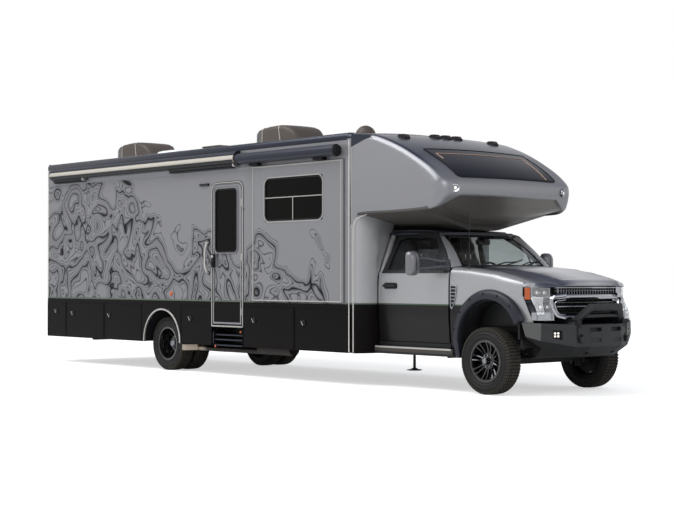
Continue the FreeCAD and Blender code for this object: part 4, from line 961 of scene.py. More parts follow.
def thick_sheet(name, grid, depth, materials, body, nodes=(), paints=None, bevel=0.003,
        flip=False, sharp=30):
    """A grid of points made into a plate whose outer face is the grid."""
    wide = len(grid[0])
    mesh = bpy.data.meshes.new(name)
    faces = [(r * wide + c, (r + 1) * wide + c, (r + 1) * wide + c + 1, r * wide + c + 1)
        for r in range(len(grid) - 1) for c in range(wide - 1)]
    mesh.from_pydata([tuple(map(float, p)) for row in grid for p in row], [],
        [face[::-1] for face in faces] if flip else faces)
    for material in materials:
        mesh.materials.append(material)
    if paints:
        mesh.polygons.foreach_set("material_index", paints)
    mesh.shade_smooth()
    mesh.set_sharp_from_angle(angle=math.radians(sharp))
    made = add_object(name, mesh)
    plate = made.modifiers.new("plate", "SOLIDIFY")
    plate.thickness, plate.offset = depth, -1.0
    soften(made, bevel, 50)
    return settle(made, body, nodes)


# %% Hood
def hood_point(u, y):
    front = AXLE + float(np.interp(abs(y), (0, 0.4, 0.52, 0.6, 0.7, 0.78, HOOD_HALF), (0.85, 0.845,
        0.832, 0.8, 0.745, 0.7, 0.655)))
    rear = AXLE - 0.335
    x = rear + (front - rear) * u
    across = abs(y) / HOOD_HALF
    crown = float(np.interp(u, (0, 0.4, 0.8, 1), (0.016, 0.03, 0.05, 0.052))) * (1 - across ** 3.0)
    inner = float(np.interp(u, (0, 1), (0.66, 0.5)))
    dome = float(np.interp(u, (0, 0.5, 1), (0.012, 0.024, 0.034))) * step(inner + 0.03 - abs(y),
        0.0, 0.05)
    groove = -0.006 * math.exp(-((abs(y) - inner - 0.07) / 0.025) ** 2)
    lip = -0.022 * step(u, 0.955, 1.0)
    return (x, y, shoulder(x) + crown + dome + groove + lip - 0.002)


us = [k / 44 for k in range(42)] + [0.965, 0.98, 0.99, 1.0]
ys = [HOOD_HALF * k / 36 for k in range(-36, 37)]
hood_grid = [[hood_point(u, y) for y in ys] for u in us]
nose_rows = [[(x + out, y, z + (1.352 - 0.02 * (abs(y) / HOOD_HALF) ** 2 - z) * down)
    for x, y, z in hood_grid[-1]] for out, down in ((0.008, 0.3), (0.012, 0.65), (0.01, 1.0))]
thick_sheet("hood_panel", hood_grid + nose_rows, 0.022, [hood_paint], "hood_lid",
    ("hood",))

# %% Fenders
ARCH_X, ARCH_Z, ARCH_R = AXLE + 0.035, 0.68, 0.505


def body_side(z):
    """Half the cab's width at a height: full at the waist and drawn in above and below."""
    return (0.998 - 0.144 * max(0.0, 1.05 - z) ** 2 - 0.07 * max(0.0, z - 1.25) ** 2
        - 1.6 * max(0.0, z - 1.44) ** 2)


def front_edge(z):
    return AXLE + float(np.interp(z, (0.9, 1.03, 1.19, 1.35), (0.662, 0.657, 0.534, 0.528)))


def nose_in(x):
    """How far the fender has drawn in toward the lamps."""
    return 0.1 * (max(0.0, x - AXLE - 0.22) / 0.42) ** 2


def spread(points, count):
    """That many points, evenly along a path in two axes."""
    points = np.array(points, float)
    run = np.concatenate([[0], np.cumsum(np.linalg.norm(np.diff(points, axis=0), axis=1))])
    at = np.linspace(0, run[-1], count)
    return [(float(np.interp(s, run, points[:, 0])), float(np.interp(s, run, points[:, 1])))
        for s in at]


DROP = 0.17
SHOULDER_X = [FIREWALL + 0.016 + (front_edge(1.22) - FIREWALL - 0.016) * k / 30 for k in range(31)]
rear_rise = spread([(FIREWALL + 0.016, 0.56), (FIREWALL + 0.016, shoulder(FIREWALL) - DROP)], 13)
top_run = [(x, shoulder(x) - DROP) for x in SHOULDER_X]
front_drop = spread([(front_edge(1.2), shoulder(front_edge(1.22)) - DROP),
    (front_edge(0.905), 0.905)], 10)
outer_line = rear_rise[:-1] + top_run + front_drop[1:]
arch_line = (spread([(ARCH_X - ARCH_R, 0.56), (ARCH_X - ARCH_R, ARCH_Z)], 3)[:-1]
    + arc((ARCH_X, ARCH_Z), ARCH_R, 180, 138, 11)[:-1] + arc((ARCH_X, ARCH_Z), ARCH_R, 138, 50, 31)
    + arc((ARCH_X, ARCH_Z), ARCH_R, 50, 26, 10)[1:])
arch_line = arch_line[:len(outer_line)]
fender_rows = []
for share in (0.0, 0.15, 0.35, 0.55, 0.75, 0.9, 1.0):
    row = []
    for (ax, az), (bx, bz) in zip(arch_line, outer_line):
        x, z = ax + (bx - ax) * share, az + (bz - az) * share
        row.append((x, body_side(z) - nose_in(x), z))
    fender_rows.append(row)
roll = [[(x, 0.848 + (body_side(shoulder(x) - DROP) - nose_in(x) - 0.848) * reach, shoulder(x)
    - DROP * drop) for x in SHOULDER_X] for reach, drop in ((1.0, 1.0), (0.975, 0.62), (0.9, 0.34),
    (0.76, 0.16), (0.55, 0.06), (0.28, 0.015), (0.0, 0.0))]


def twin(grid):
    return [[(x, -y, z) for x, y, z in row] for row in grid]


brow = []
for k in range(11):
    x = AXLE + 0.5 + 0.145 * k / 10
    out = max(0.843, float(np.interp(x - AXLE, (0.5, 0.54, 0.59, 0.635, 0.68), (0.938, 0.934,
        0.896, 0.851, 0.8))))
    top = shoulder(x)
    brow.append([(x, 0.839 + (out - 0.839) * share, top - (top - 1.348) * share ** 2)
        for share in (0.0, 0.25, 0.5, 0.7, 0.85, 0.95, 1.0)])
for side, make, flip in (("left", list, False), ("right", twin, True)):
    thick_sheet(f"{side}_lamp_brow", make(brow), 0.014, [two_tone], "chassis",
        flip=flip)
    thick_sheet(f"{side}_fender_side", make(fender_rows), 0.016, [two_tone], "chassis",
        ("front_fenders",) if side == "left" else (), flip=flip)
    thick_sheet(f"{side}_fender_top", make(roll), 0.016, [two_tone], "chassis",
        flip=flip)

# %% [markdown]
# The flares are textured polypropylene, wide and slightly hooked, with bolts set in shallow
# pockets. One section is swept round the arch, and then down behind the wheel as a mud guard.

# %% Flares, their bolts and the wheel housings
FLARE = ((0.503, 0.985), (0.503, 1.048), (0.512, 1.058), (0.54, 1.06), (0.585, 1.05),
    (0.612, 1.03), (0.628, 1.004), (0.63, 0.985))
flares = Shape()
rings = []
for angle in range(24, 181, 4):
    c, s = math.cos(math.radians(angle)), math.sin(math.radians(angle))
    rings.append([(ARCH_X + r * c, y, ARCH_Z + r * s) for r, y in FLARE])
for z in (0.62, 0.56, 0.5, 0.44):
    lean = 0.1 * (ARCH_Z - z)
    rings.append([(ARCH_X - r * (1 - 0.16 * (ARCH_Z - z)), y - lean, z) for r, y in FLARE])
flares.skin(rings)
flares.both_sides().piece("wheel_flares", flare_plastic, slot="body_black", bevel=0.003, angle=30)
for side, sign in SIDES:
    bolt = Shape()
    y = sign * 1.046
    bolt.turn([(0.001, 0.02), (0.009, 0.019), (0.012, 0.012), (0.012, -0.01), (0.001, -0.01)],
        (0, 0, 0.578), 0, 12, sign=sign)
    repeat(f"{side}_flare_bolts", RING, bolt, {"Count": 7, "First Angle": math.radians(-78),
        "Step Angle": math.radians(24), "Centre": (ARCH_X, y, ARCH_Z)}, trim_plastic)
housings = Shape()
housings.prism([(ARCH_X + r * math.cos(math.radians(a)), ARCH_Z + r * math.sin(math.radians(a)))
    for r, angles in ((0.5, range(25, 186, 8)), (0.488, range(185, 24, -8))) for a in angles], "Y",
    0.7, 0.985)
housings.prism(arc((ARCH_X, ARCH_Z), 0.495, 20, 160, 16), "Y", 0.68, 0.7)
housings.prism([(AXLE - back, z) for back, z in ((0.465, 0.72), (0.45, 0.72), (0.458, 0.64),
    (0.512, 0.46), (0.528, 0.46))], "Y", 0.72, 1.0)
housings.block((AXLE - 0.655, 0.86, 0.43), (AXLE - 0.64, 1.045, 0.56))
housings.both_sides().piece("wheel_housings", trim_plastic, bevel=0.002)
print("hood and fenders follow a shoulder from", SHOULDER[0][1], "to", SHOULDER[-1][1])

# %% [markdown]
# ## Grille and head lamps
# The grille is chrome-plated plastic: a frame, bars across it and a honeycomb of black cells
# behind them. Each head lamp is a stack of bright bowls under a clear lens that wraps round the
# corner to an amber marker. The badge's place on the bar stays bare.

# %% Grille
def grille_x(y):
    return AXLE + 0.852 - 0.13 * (y / 0.66) ** 2


def bowed_bar(shape, half, low, high, depth, forward):
    """A bar that follows the grille's bow across the nose."""
    rings = []
    for k in range(25):
        y = -half + 2 * half * k / 24
        x = grille_x(y) + forward
        middle_z = (low + high) / 2
        rings.append([(x - depth, y, low), (x - 0.008, y, low), (x, y, low + (high - low) * 0.25),
            (x + 0.002, y, middle_z), (x, y, high - (high - low) * 0.25), (x - 0.008, y, high),
            (x - depth, y, high)])
    return shape.skin(rings)


grille = Shape()
for half, low, high, depth, forward in ((0.575, 1.318, 1.345, 0.09, 0.0), (0.57, 1.284, 1.298,
        0.05, -0.012), (0.64, 1.19, 1.246, 0.09, 0.018), (0.56, 1.142, 1.154, 0.05, -0.02),
        (0.56, 1.085, 1.11, 0.05, -0.006), (0.56, 0.945, 0.985, 0.09, 0.01)):
    bowed_bar(grille, half, low, high, depth, forward)
for side in (-1, 1):
    outline = spread([(0.48, 1.24), (0.64, 1.222), (0.672, 1.18), (0.66, 1.08), (0.6, 0.985),
        (0.48, 0.955)], 22)
    path = [(grille_x(y) + 0.034, side * y, z) for y, z in outline]
    grille.pipe(path, [0.029] * len(path), sides=10)
    inner = spread([(0.44, 1.178), (0.57, 1.165), (0.595, 1.13), (0.57, 1.05), (0.53, 1.0),
        (0.44, 0.99)], 18)
    grille.pipe([(grille_x(y) - 0.008, side * y, z) for y, z in inner], 0.014, sides=8)
grille.piece("grille_chrome_bars", chrome, slot="grille_chrome", nodes=("grille",), bevel=0.002)
backing = Shape()
backing.prism([(-0.6, 0.93), (0.6, 0.93), (0.6, 1.34), (-0.6, 1.34)], "X", AXLE + 0.66, AXLE + 0.7)
backing.piece("grille_shutter", seal_rubber, bevel=0.003)
cell = Shape()
outer_hex = arc((0, 0), 0.027, 30, 390, 7)[:-1]
inner_hex = arc((0, 0), 0.0215, 30, 390, 7)[:-1]
cell.frame(outer_hex, inner_hex, "X", AXLE + 0.722, AXLE + 0.745)
repeat("grille_honeycomb", GRID, cell, {"Count": 24 * 8, "Columns": 24, "Step": (0, 0.0468, 0),
    "Row Step": (0, 0, 0.0405), "Odd Shift": 0.5, "Centre": (0, -0.55, 1.0)}, trim_plastic)
slot_cell = Shape()
slot_cell.block((AXLE + 0.7, -0.003, 1.25), (AXLE + 0.765, 0.003, 1.335))
repeat("grille_fins", GRID, slot_cell, {"Count": 23, "Step": (0, 0.05, 0),
    "Centre": (0, -0.55, 0)}, chrome)

# %% Head lamps
LENS = ((0.54, 0.926), (0.59, 0.89), (0.635, 0.845), (0.68, 0.79), (0.712, 0.735), (0.738, 0.672))


def on_lens(share, z, out=0.0):
    """A point of the lens, from its rear end at 0 to the grille at 1."""
    k = share * (len(LENS) - 1)
    x, y = (float(np.interp(k, range(len(LENS)), [p[i] for p in LENS])) for i in (0, 1))
    lean = front_edge(z) - front_edge(1.35)
    return (AXLE + x + lean * (1 - 0.5 * share) + out * 0.7, y + out * 0.7, z)


def lamp_sheet(shape, low, high, out, depth, paint, first=0.0, last=1.0):
    levels = [low + (high - low) * k / 6 for k in range(7)]
    shares = [first + (last - first) * k / 10 for k in range(11)]
    return sheet_shell(shape, [[on_lens(s, z, out) for s in shares] for z in levels],
        [[on_lens(s, z, out - depth) for s in shares] for z in levels], paint)


lamps, lenses = Shape(), Shape()
lamp_sheet(lamps, 0.935, 1.345, -0.085, 0.02, 4)
lamp_sheet(lamps, 0.94, 1.03, -0.04, 0.01, 3)
for z in (0.935, 1.035, 1.155, 1.205, 1.335):
    lamp_sheet(lamps, z, z + 0.01, -0.01, 0.07, 0)
for share in (0.3, 0.98):
    lamp_sheet(lamps, 0.94, 1.34, -0.006, 0.075, 0, share - 0.015, share + 0.015)
for z, radius in ((1.27, 0.042), (1.095, 0.042)):
    for share in (0.45, 0.72):
        x, y, _ = on_lens(share, z, -0.062)
        lamps.turn([(radius, 0.035), (radius * 0.86, 0.038), (radius * 0.5, -0.02),
            (0.001, -0.022), (0.001, -0.03), (radius, -0.03)], (x, y, z), 3, 24, "X")
        lamps.turn([(0.001, 0.028), (radius * 0.36, 0.022), (radius * 0.46, 0.0), (0.001, 0.0)],
            (x, y, z), 1, 20, "X")
lamp_sheet(lamps, 1.168, 1.2, -0.03, 0.02, 2)
lamp_sheet(lenses, 0.93, 1.348, 0.0, 0.006, 0, 0.27)
markers = Shape()
lamp_sheet(markers, 1.185, 1.33, 0.004, 0.03, 0, 0.03, 0.25)
for shape in (lamps, lenses, markers):
    shape.both_sides()
lamps.piece("head_lamp_bowls", [chrome, bright_lamp, trim_plastic, chrome, lamp_shell],
    slot="lamp_lens", nodes=("lamps",))
lenses.piece("head_lamp_lenses", lamp_lens, slot="lamp_lens")
markers.piece("side_markers", orange_lens, slot="lamp_lens", bevel=0.002)

# %% [markdown]
# ## Doors, pillars and glass of the cab
# A cab door is one pressed skin below the waist and a slim black frame above it, both leaning in
# toward the roof. The same rule gives the cab's half width at every height, so doors, pillars and
# glass meet. Paint is silver above a thin green line and black below it.

# %% The cab's half width, below and above the waist
WAIST = 1.524


def cab_side(z, out=0.0):
    if z <= WAIST:
        return body_side(z) + out
    return body_side(WAIST) - 0.012 - 0.235 * (z - WAIST) / 0.556 + out


def leaning(shape, out=0.0):
    """Moves each point of a flat side part on to the cab's leaning side."""
    shape.points = [(x, y + cab_side(z, out), z) for x, y, z in shape.points]
    return shape


DOOR = ((2.656, 3.926), (0.615, WAIST))
FRAME_OUT = [(2.656, WAIST), (2.7, 1.8), (2.745, 1.99), (2.8, 2.035), (2.95, 2.05), (3.46, 2.04),
    (3.54, 2.01), (3.72, 1.82), (3.926, 1.6), (3.926, WAIST)]
FRAME_IN = [(2.742, WAIST + 0.03), (2.772, 1.8), (2.8, 1.945), (2.84, 1.972), (2.95, 1.985),
    (3.42, 1.978), (3.49, 1.955), (3.64, 1.8), (3.855, 1.585), (3.862, WAIST + 0.03)]


def even(outline, count):
    return spread(list(outline) + [outline[0]], count + 1)[:-1]


LEVELS = [0.615, 0.66, 0.72, 0.8, 0.88, 0.96, 1.04, BELT_LINE - 0.001, BELT_LINE + 0.017, 1.18,
    1.24, 1.3, 1.36, 1.42, 1.46, 1.49, WAIST]
door_grid = [[(x, cab_side(z) - 0.006 * math.exp(-((z - 0.8) / 0.05) ** 2), z)
    for x in np.linspace(*DOOR[0], 12)] for z in LEVELS]
CAB_DOORS = (("left", "driver_door", 1), ("right", "passenger_door", -1))
for side, body, sign in CAB_DOORS:
    thick_sheet(f"{side}_door_skin", door_grid if sign > 0 else twin(door_grid), 0.035, [two_tone],
        body, (f"{side}_cab_door",), flip=sign < 0)
    turned = Shape()
    outline_out = even(FRAME_OUT, 60)
    outline_in = even(FRAME_IN, 60)
    turned.frame(outline_out, outline_in, "Y", -0.035, 0.002)
    leaning(turned)
    belt = Shape().prism(((2.66, WAIST - 0.012), (2.66, WAIST + 0.028), (3.92, WAIST + 0.028),
        (3.92, WAIST - 0.012)), "Y", -0.02, 0.008)
    leaning(belt)
    handle, grip = Shape(), cab_side(1.34)
    path = [(2.735, grip + 0.002, 1.345), (2.755, grip + 0.022, 1.345), (2.83, grip + 0.026,
        1.343), (2.925, grip + 0.022, 1.34), (2.95, grip + 0.002, 1.338)]
    handle.pipe(path, [0.018, 0.025, 0.026, 0.026, 0.02], sides=10)
    handle.prism(rounded((2.712, 1.303), (2.972, 1.385), 0.03, 5), "Y", grip - 0.006, grip + 0.003)
    handle.turn([(0.016, -0.002), (0.016, 0.003), (0.001, 0.004), (0.001, -0.002)],
        (2.7, grip + 0.002, 1.345), sides=20)
    pane = Shape()
    outline = even([(x + (-0.01 if x < 3 else 0.01), z) for x, z in FRAME_IN], 60)
    pane.prism(outline, "Y", -0.024, -0.018)
    leaning(pane)
    divider = Shape()
    divider.prism([(3.62, 1.55), (3.645, 1.55), (3.595, 1.875), (3.57, 1.875)], "Y", -0.028,
        -0.012)
    leaning(divider)
    for shape in (belt, handle, divider):
        turned.join(shape)
    if sign < 0:
        turned, pane = turned.mirrored(), pane.mirrored()
    turned.piece(f"{side}_door_frame", trim_plastic, body, "trim_plastic", bevel=0.003)
    pane.piece(f"{side}_door_glass", side_glass, body, "window_glass", (f"{side}_cab_door_glass",))

# %% Pillars, roof, cowl and sills
WIND_BASE, WIND_TOP = (AXLE - 0.64, 0.8, 1.588), (AXLE - 1.2, 0.625, 2.035)


def screen_edge(share):
    """The windscreen's side edge, from the cowl at 0 to the roof at 1."""
    bulge = 0.028 * math.sin(math.pi * share)
    x, y, z = (a + (b - a) * share for a, b in zip(WIND_BASE, WIND_TOP))
    return Vector((x + bulge, y, z + bulge))


def frame_edge(share):
    """The door frame's front edge beside it."""
    x, z = (float(np.interp(share, (0, 0.5, 1), values)) for values in ((3.93, 3.735, 3.53),
        (1.585, 1.82, 2.02)))
    return Vector((x, cab_side(z) + 0.002, z))


shell = Shape()
rings = []
for k in range(13):
    front, rear = screen_edge(k / 12), frame_edge(k / 12)
    rings.append([front + Vector((0.004, -0.008, 0.0)), front + Vector((0.012, 0.012, 0.012)),
        front.lerp(rear, 0.55) + Vector((0.012, 0.016, 0.014)), rear,
        rear + Vector((-0.02, -0.04, -0.03)), front + Vector((-0.06, 0.01, -0.06))])
shell.skin(rings)
ROOF_EDGE = ((-0.06, -0.02), (0.0, 0.0), (0.028, -0.03), (0.02, -0.06), (-0.06, -0.06))
shell.skin([[(x, y + a, z + b) for a, b in ROOF_EDGE] for x, z, y in ((3.52, 2.015, 0.715),
    (3.44, 2.055, 0.715), (3.0, 2.075, 0.735), (2.6, 2.075, 0.735))], 1)
shell.skin([[(2.6, cab_side(z) - 0.05, z), (2.6, cab_side(z), z), (2.648, cab_side(z), z),
    (2.648, cab_side(z) - 0.05, z)] for z in (0.6, 1.0, 1.3, WAIST, WAIST + 0.01, 1.8, 2.05)])
shell.both_sides()
roof_rings = []
for x, z, half in ((2.57, 2.05, 0.74), (2.6, 2.083, 0.74), (3.0, 2.09, 0.735), (3.34, 2.075, 0.69),
        (3.455, 2.045, 0.62)):
    bow = 0.0 if x < 3.4 else 0.045
    across = np.linspace(-1, 1, 15)
    roof_rings.append([(x + bow * (1 - u * u), half * u, z + 0.012 * (1 - u * u)) for u in across]
        + [(x + bow * (1 - u * u), half * u, z - 0.05) for u in across[::-1]])
shell.skin(roof_rings, 1)
shell.piece("cab_pillars_and_roof", [two_tone, flare_plastic], slot="body_silver",
    nodes=("cab_shell",), bevel=0.004, angle=30)

cowl = Shape()
cowl_rings = []
for x, lift in ((AXLE - 0.7, 0.0), (AXLE - 0.6, 0.008), (AXLE - 0.5, 0.002), (AXLE - 0.43, -0.008),
        (AXLE - 0.378, -0.016)):
    cowl_rings.append([(x, y, 1.582 + lift + 0.03 * (1 - (y / 0.9) ** 2))
        for y in np.linspace(-0.86, 0.86, 23)] + [(x, y, 1.53) for y in np.linspace(0.86, -0.86,
        23)])
cowl.skin(cowl_rings)
cowl.block((AXLE - 0.385, -0.8, 1.525), (AXLE - 0.315, 0.8, 1.542))
cowl.block((3.9, -0.95, 0.6), (3.935, 0.95, 1.5))
cowl.piece("cowl_and_firewall", trim_plastic, bevel=0.003)
back = Shape()
back.prism([(-0.96, 0.62), (0.96, 0.62), (0.985, 1.1), (0.965, WAIST), (0.78, 1.6), (0.6, 1.65),
    (-0.6, 1.65), (-0.78, 1.6), (-0.965, WAIST), (-0.985, 1.1)], "X", 2.585, 2.6)
for y0, y1 in ((-0.8, -0.55), (0.55, 0.8)):
    back.prism([(y0, 1.55), (y1, 1.55), (y1 * 0.97, 2.05), (y0 * 0.97, 2.05)], "X", 2.585, 2.6)
back.block((2.6, -0.93, 0.62), (3.9, 0.93, 0.66))
for side in (-1, 1):
    for z0, z1, out in ((0.53, 0.605, 0.966), (0.6, 0.66, 0.925)):
        back.block((2.56, min(side * 0.86, side * out), z0), (3.94, max(side * 0.86, side * out),
            z1))
back.piece("cab_back_and_floor", trim_plastic, bevel=0.003)

# %% Windscreen, bonded into a black surround
def screen_point(u, v, lift=0.0):
    half = WIND_BASE[1] + (WIND_TOP[1] - WIND_BASE[1]) * v - 0.004
    y = half * u
    bulge = 0.028 * math.sin(math.pi * v) + 0.045 * (1 - u * u)
    x = WIND_BASE[0] + (WIND_TOP[0] - WIND_BASE[0]) * v + bulge + lift * 0.66
    z = WIND_BASE[2] + (WIND_TOP[2] - WIND_BASE[2]) * v + 0.028 * math.sin(
        math.pi * v) + lift * 0.72
    return (x, y, z)


def screen_sheet(shape, us, vs, front=0.0, back=-0.006):
    return sheet_shell(shape, *([[screen_point(u, v, lift) for u in us] for v in vs]
        for lift in (front, back)))


across, upward = np.linspace(-1, 1, 25), np.linspace(0, 1, 11)
screen = screen_sheet(Shape(), across, upward)
screen.piece("windscreen", cab_glass, slot="window_glass", nodes=("fixed_windows",))
surround = Shape()
for low, high in ((-0.02, 0.05), (0.9, 1.02)):
    screen_sheet(surround, across, (low, (low + high) / 2, high), 0.003, -0.01)
for side in (-1, 1):
    screen_sheet(surround, [side * u for u in (0.945, 0.975, 1.0)], upward, 0.003, -0.01)
surround.piece("windscreen_surround", seal_rubber, slot="window_glass")

# %% [markdown]
# The wipers park along the glass's foot, each an arm from the cowl and a curved blade. A tall
# whip aerial stands on the passenger fender and reaches up to the cap.

# %% Wipers and aerial
wipers = Shape()
for foot, tip in ((-0.35, 0.28), (0.3, 0.8)):
    arm = [Vector(screen_point(foot, 0.0, 0.01)), Vector(screen_point((foot + tip) / 2, 0.07,
        0.035)), Vector(screen_point(tip, 0.1, 0.025))]
    wipers.pipe(arm, [0.012, 0.008, 0.006], sides=8)
    blade = [screen_point(tip - 0.3 + 0.52 * k / 10, 0.03 + 0.14 * k / 10, 0.012)
        for k in range(11)]
    wipers.pipe(blade, 0.008, sides=6)
wipers.turn([(0.028, 0.0), (0.028, 0.02), (0.001, 0.03), (0.001, 0.0)],
    screen_point(-0.35, 0.0, 0.0), sides=16, axis="Z")
wipers.piece("wipers", trim_plastic)
aerial = Shape()
aerial.pipe([(AXLE - 0.38, -0.925, 1.585), (AXLE - 0.378, -0.925, 1.66), (AXLE - 0.38, -0.925,
    2.27)], [0.01, 0.0055, 0.0045], sides=8)
aerial.turn([(0.024, 0.0), (0.018, 0.018), (0.01, 0.028), (0.001, 0.028), (0.001, 0.0)],
    (AXLE - 0.38, -0.925, 1.575), sides=16, axis="Z")
aerial.piece("whip_aerial", trim_plastic)

# %% [markdown]
# ## Mirrors
# Towing mirrors stand well out on two arms: a tall rounded head, its glass in two parts facing
# back, and its shell dark in front.

# %% Mirrors
MIRROR_X, MIRROR_Y = 3.52, (1.19, 1.372)
for side, body, sign in CAB_DOORS:
    mirror = Shape()
    mirror.skin([[(MIRROR_X + dx, y, z) for y, z in rounded((MIRROR_Y[0] + inner, low),
        (MIRROR_Y[1] + outer, high), corner_r, 6)] for dx, low, high, inner, outer, corner_r in (
        (0.0, 1.5, 1.77, 0.012, -0.012, 0.05), (0.006, 1.482, 1.786, 0.002, -0.002, 0.055),
        (0.045, 1.478, 1.79, 0.0, 0.0, 0.06), (0.08, 1.484, 1.78, 0.008, -0.006, 0.065),
        (0.104, 1.505, 1.755, 0.022, -0.02, 0.06), (0.118, 1.54, 1.71, 0.055, -0.05, 0.045))])
    for z, foot in ((1.7, 1.66), (1.575, 1.59)):
        mirror.pipe([(3.86, cab_side(foot) - 0.02, foot), (3.8, 1.02, foot + 0.005),
            (3.68, 1.12, z), (MIRROR_X + 0.07, MIRROR_Y[0] + 0.02, z)], [0.024, 0.022, 0.02, 0.02],
            1, 10)
    mirror.prism(((3.8, 1.55), (3.915, 1.55), (3.915, 1.6), (3.83, 1.7), (3.8, 1.7)), "Y", 0.9,
        0.965, 1)
    for low, high in ((1.6, 1.765), (1.502, 1.582)):
        mirror.prism(rounded((MIRROR_Y[0] + 0.022, low), (MIRROR_Y[1] - 0.022, high), 0.024, 5),
            "X", MIRROR_X - 0.005, MIRROR_X + 0.008, 2)
    mirror = mirror.mirrored() if sign < 0 else mirror
    mirror.piece(f"{side}_mirror_head", [mirror_paint, arm_plastic, chrome], body, "body_silver",
        (f"{side}_mirror",), bevel=0.003, angle=40)

# %% [markdown]
# ## Front bumper
# The steel bumper is folded plate: two wings with a square pocket for a work lamp, a centre with
# slots, a chin that slopes back under it, and a hoop over the grille. One grid of points covers
# the fold lines, and points inside a pocket are pushed back, which leaves a real recess.

# %% Bumper plate
PLAN = ((5.215, 1.03, 0.897), (5.36, 0.846, 0.893), (5.584, 0.485, 0.875), (5.655, 0.28, 0.875),
    (5.665, 0.0, 0.875))
FOOT = ((5.245, 1.0, 0.742), (5.35, 0.846, 0.69), (5.598, 0.485, 0.617), (5.668, 0.28, 0.615),
    (5.678, 0.0, 0.615))
CHIN = ((5.27, 0.96, 0.715), (5.335, 0.75, 0.589), (5.415, 0.45, 0.49), (5.48, 0.28, 0.488),
    (5.49, 0.0, 0.488))
RUN = [0.0]
for (x0, y0, z0), (x1, y1, z1) in zip(PLAN, PLAN[1:]):
    RUN.append(RUN[-1] + math.hypot(x1 - x0, y1 - y0))


def along_plan(s):
    """The fold lines at that run along the plate: top, foot and chin."""
    return [[float(np.interp(s, RUN, [p[k] for p in line])) for k in range(3)]
        for line in (PLAN, FOOT, CHIN)]


def run_at(y):
    return float(np.interp(-y, [-p[1] for p in PLAN], RUN))


POCKETS = ((0.615, 0.725, 0.3, 0.78, 0.055), (0.385, 0.465, 0.42, 0.85, 0.06), (0.085, 0.3, 0.1,
    0.32, 0.05), (0.1, 0.29, 0.62, 0.8, 0.012), (0.21, 0.285, 1.52, 1.72, 0.03))
stops = set(RUN)
levels = {0.0, 1.0, 2.0, 0.06, 1.5}
for low, high, above, below, _ in POCKETS:
    for y in (low, high):
        stops |= {run_at(y) - 0.0015, run_at(y) + 0.0015}
    for v in (above, below):
        levels |= {v - 0.006, v + 0.006}
stops, levels = sorted(stops), sorted(levels)


def plate_point(s, v):
    top, foot, chin = along_plan(s)
    upper, lower, share = (top, foot, v) if v <= 1 else (foot, chin, v - 1)
    p = [a + (b - a) * share for a, b in zip(upper, lower)]
    for low, high, above, below, depth in POCKETS:
        if run_at(high) < s < run_at(low) and above < v < below:
            p[0] -= depth
    return p


half_rows = [[plate_point(s, v) for s in stops] for v in levels]
ledge = [[x - 0.13, min(y, 1.0), z] for x, y, z in half_rows[0]]
under = [[x - 0.1, y * 0.97, z + 0.02] for x, y, z in half_rows[-1]]
half_rows = [ledge] + half_rows + [under]
full = [[(x, -y, z) for x, y, z in row] + [(x, y, z) for x, y, z in row[-2::-1]]
    for row in half_rows]
# The side faces take the lighter coat as painted light, and the chin takes the darker coat as
# painted shade.
at_side = [s < RUN[1] for s in stops[:-1]]
at_side += at_side[::-1]
heights = [None] + levels + [None]
plate_paint = [0 if a is None else 2 if b is None or a >= 1.0 else 1 if side else 0
    for a, b in zip(heights, heights[1:]) for side in at_side]
thick_sheet("bumper_plate", full, 0.008, [bumper_coat, bumper_side_painted_light, bumper_chin_painted_shade],
    "chassis", ("front_bumper",), plate_paint, bevel=0.003, flip=True, sharp=8)

# %% Hoop, pocket lamps, tow tabs and brackets
def hoop_x(z):
    return 5.56 + 0.62 * (z - 0.885)


hoop = Shape()
OUTER = [(-0.5, 0.88), (-0.44, 0.945), (-0.285, 1.11), (-0.256, 1.135)]
INNER = [(-0.385, 0.88), (-0.36, 0.925), (-0.255, 1.025), (-0.225, 1.045)]
for line in (OUTER, INNER):
    line += [(-y, z) for y, z in line[::-1]]
rings = []
for (ya, za), (yb, zb) in zip(OUTER, INNER):
    front = [(hoop_x(za) - 0.01, ya, za), (hoop_x(za), ya * 0.985, za - 0.008), (hoop_x(zb),
        yb * 1.01, zb + 0.008), (hoop_x(zb) - 0.01, yb, zb)]
    rear = [(x - 0.095, y, z) for x, y, z in front]
    rings.append(front + rear[::-1])
hoop.skin(rings)
hoop.skin([[(5.6, y, 0.965), (5.607, y, 0.985), (5.6, y, 1.005), (5.565, y, 1.005),
    (5.56, y, 0.965)] for y in (-0.33, 0.0, 0.33)])
hoop.block((5.5, -0.44, 0.855), (5.645, 0.44, 0.873))
for side in (-1, 1):
    hoop.block((5.575, side * 0.425 - 0.014, 0.665), (5.655, side * 0.425 + 0.014, 0.735))
    hoop.block((5.1, side * 0.42 - 0.035, 0.66), (5.5, side * 0.42 + 0.035, 0.8))
hoop.block((5.38, -0.42, 0.7), (5.48, 0.42, 0.78))
hoop.piece("bumper_hoop", bumper_coat, slot="bumper_black", bevel=0.005, angle=25)
pods = Shape()
for side in (-1, 1):
    pod = Shape()
    pod.prism(rounded((-0.045, -0.038), (0.045, 0.038), 0.01, 4), "X", -0.03, 0.012)
    for z in (-0.018, 0.018):
        for y in (-0.02, 0.02):
            pod.turn([(0.001, 0.018), (0.012, 0.017), (0.016, 0.012), (0.001, 0.01)], (0, y, z), 1,
                14, "X")
    turn = Matrix.Rotation(side * math.radians(32), 3, "Z")
    pod.moved(turn, (5.448, side * 0.67, 0.76))
    pods.join(pod)
pods.piece("bumper_work_lamps", [trim_plastic, bright_lamp], slot="lamp_lens", bevel=0.002)

# %% [markdown]
# ## Running boards and trim
# The boards under the cab doors are ribbed aluminium with a black edge. A bright generic vent
# trim stands behind each flare.

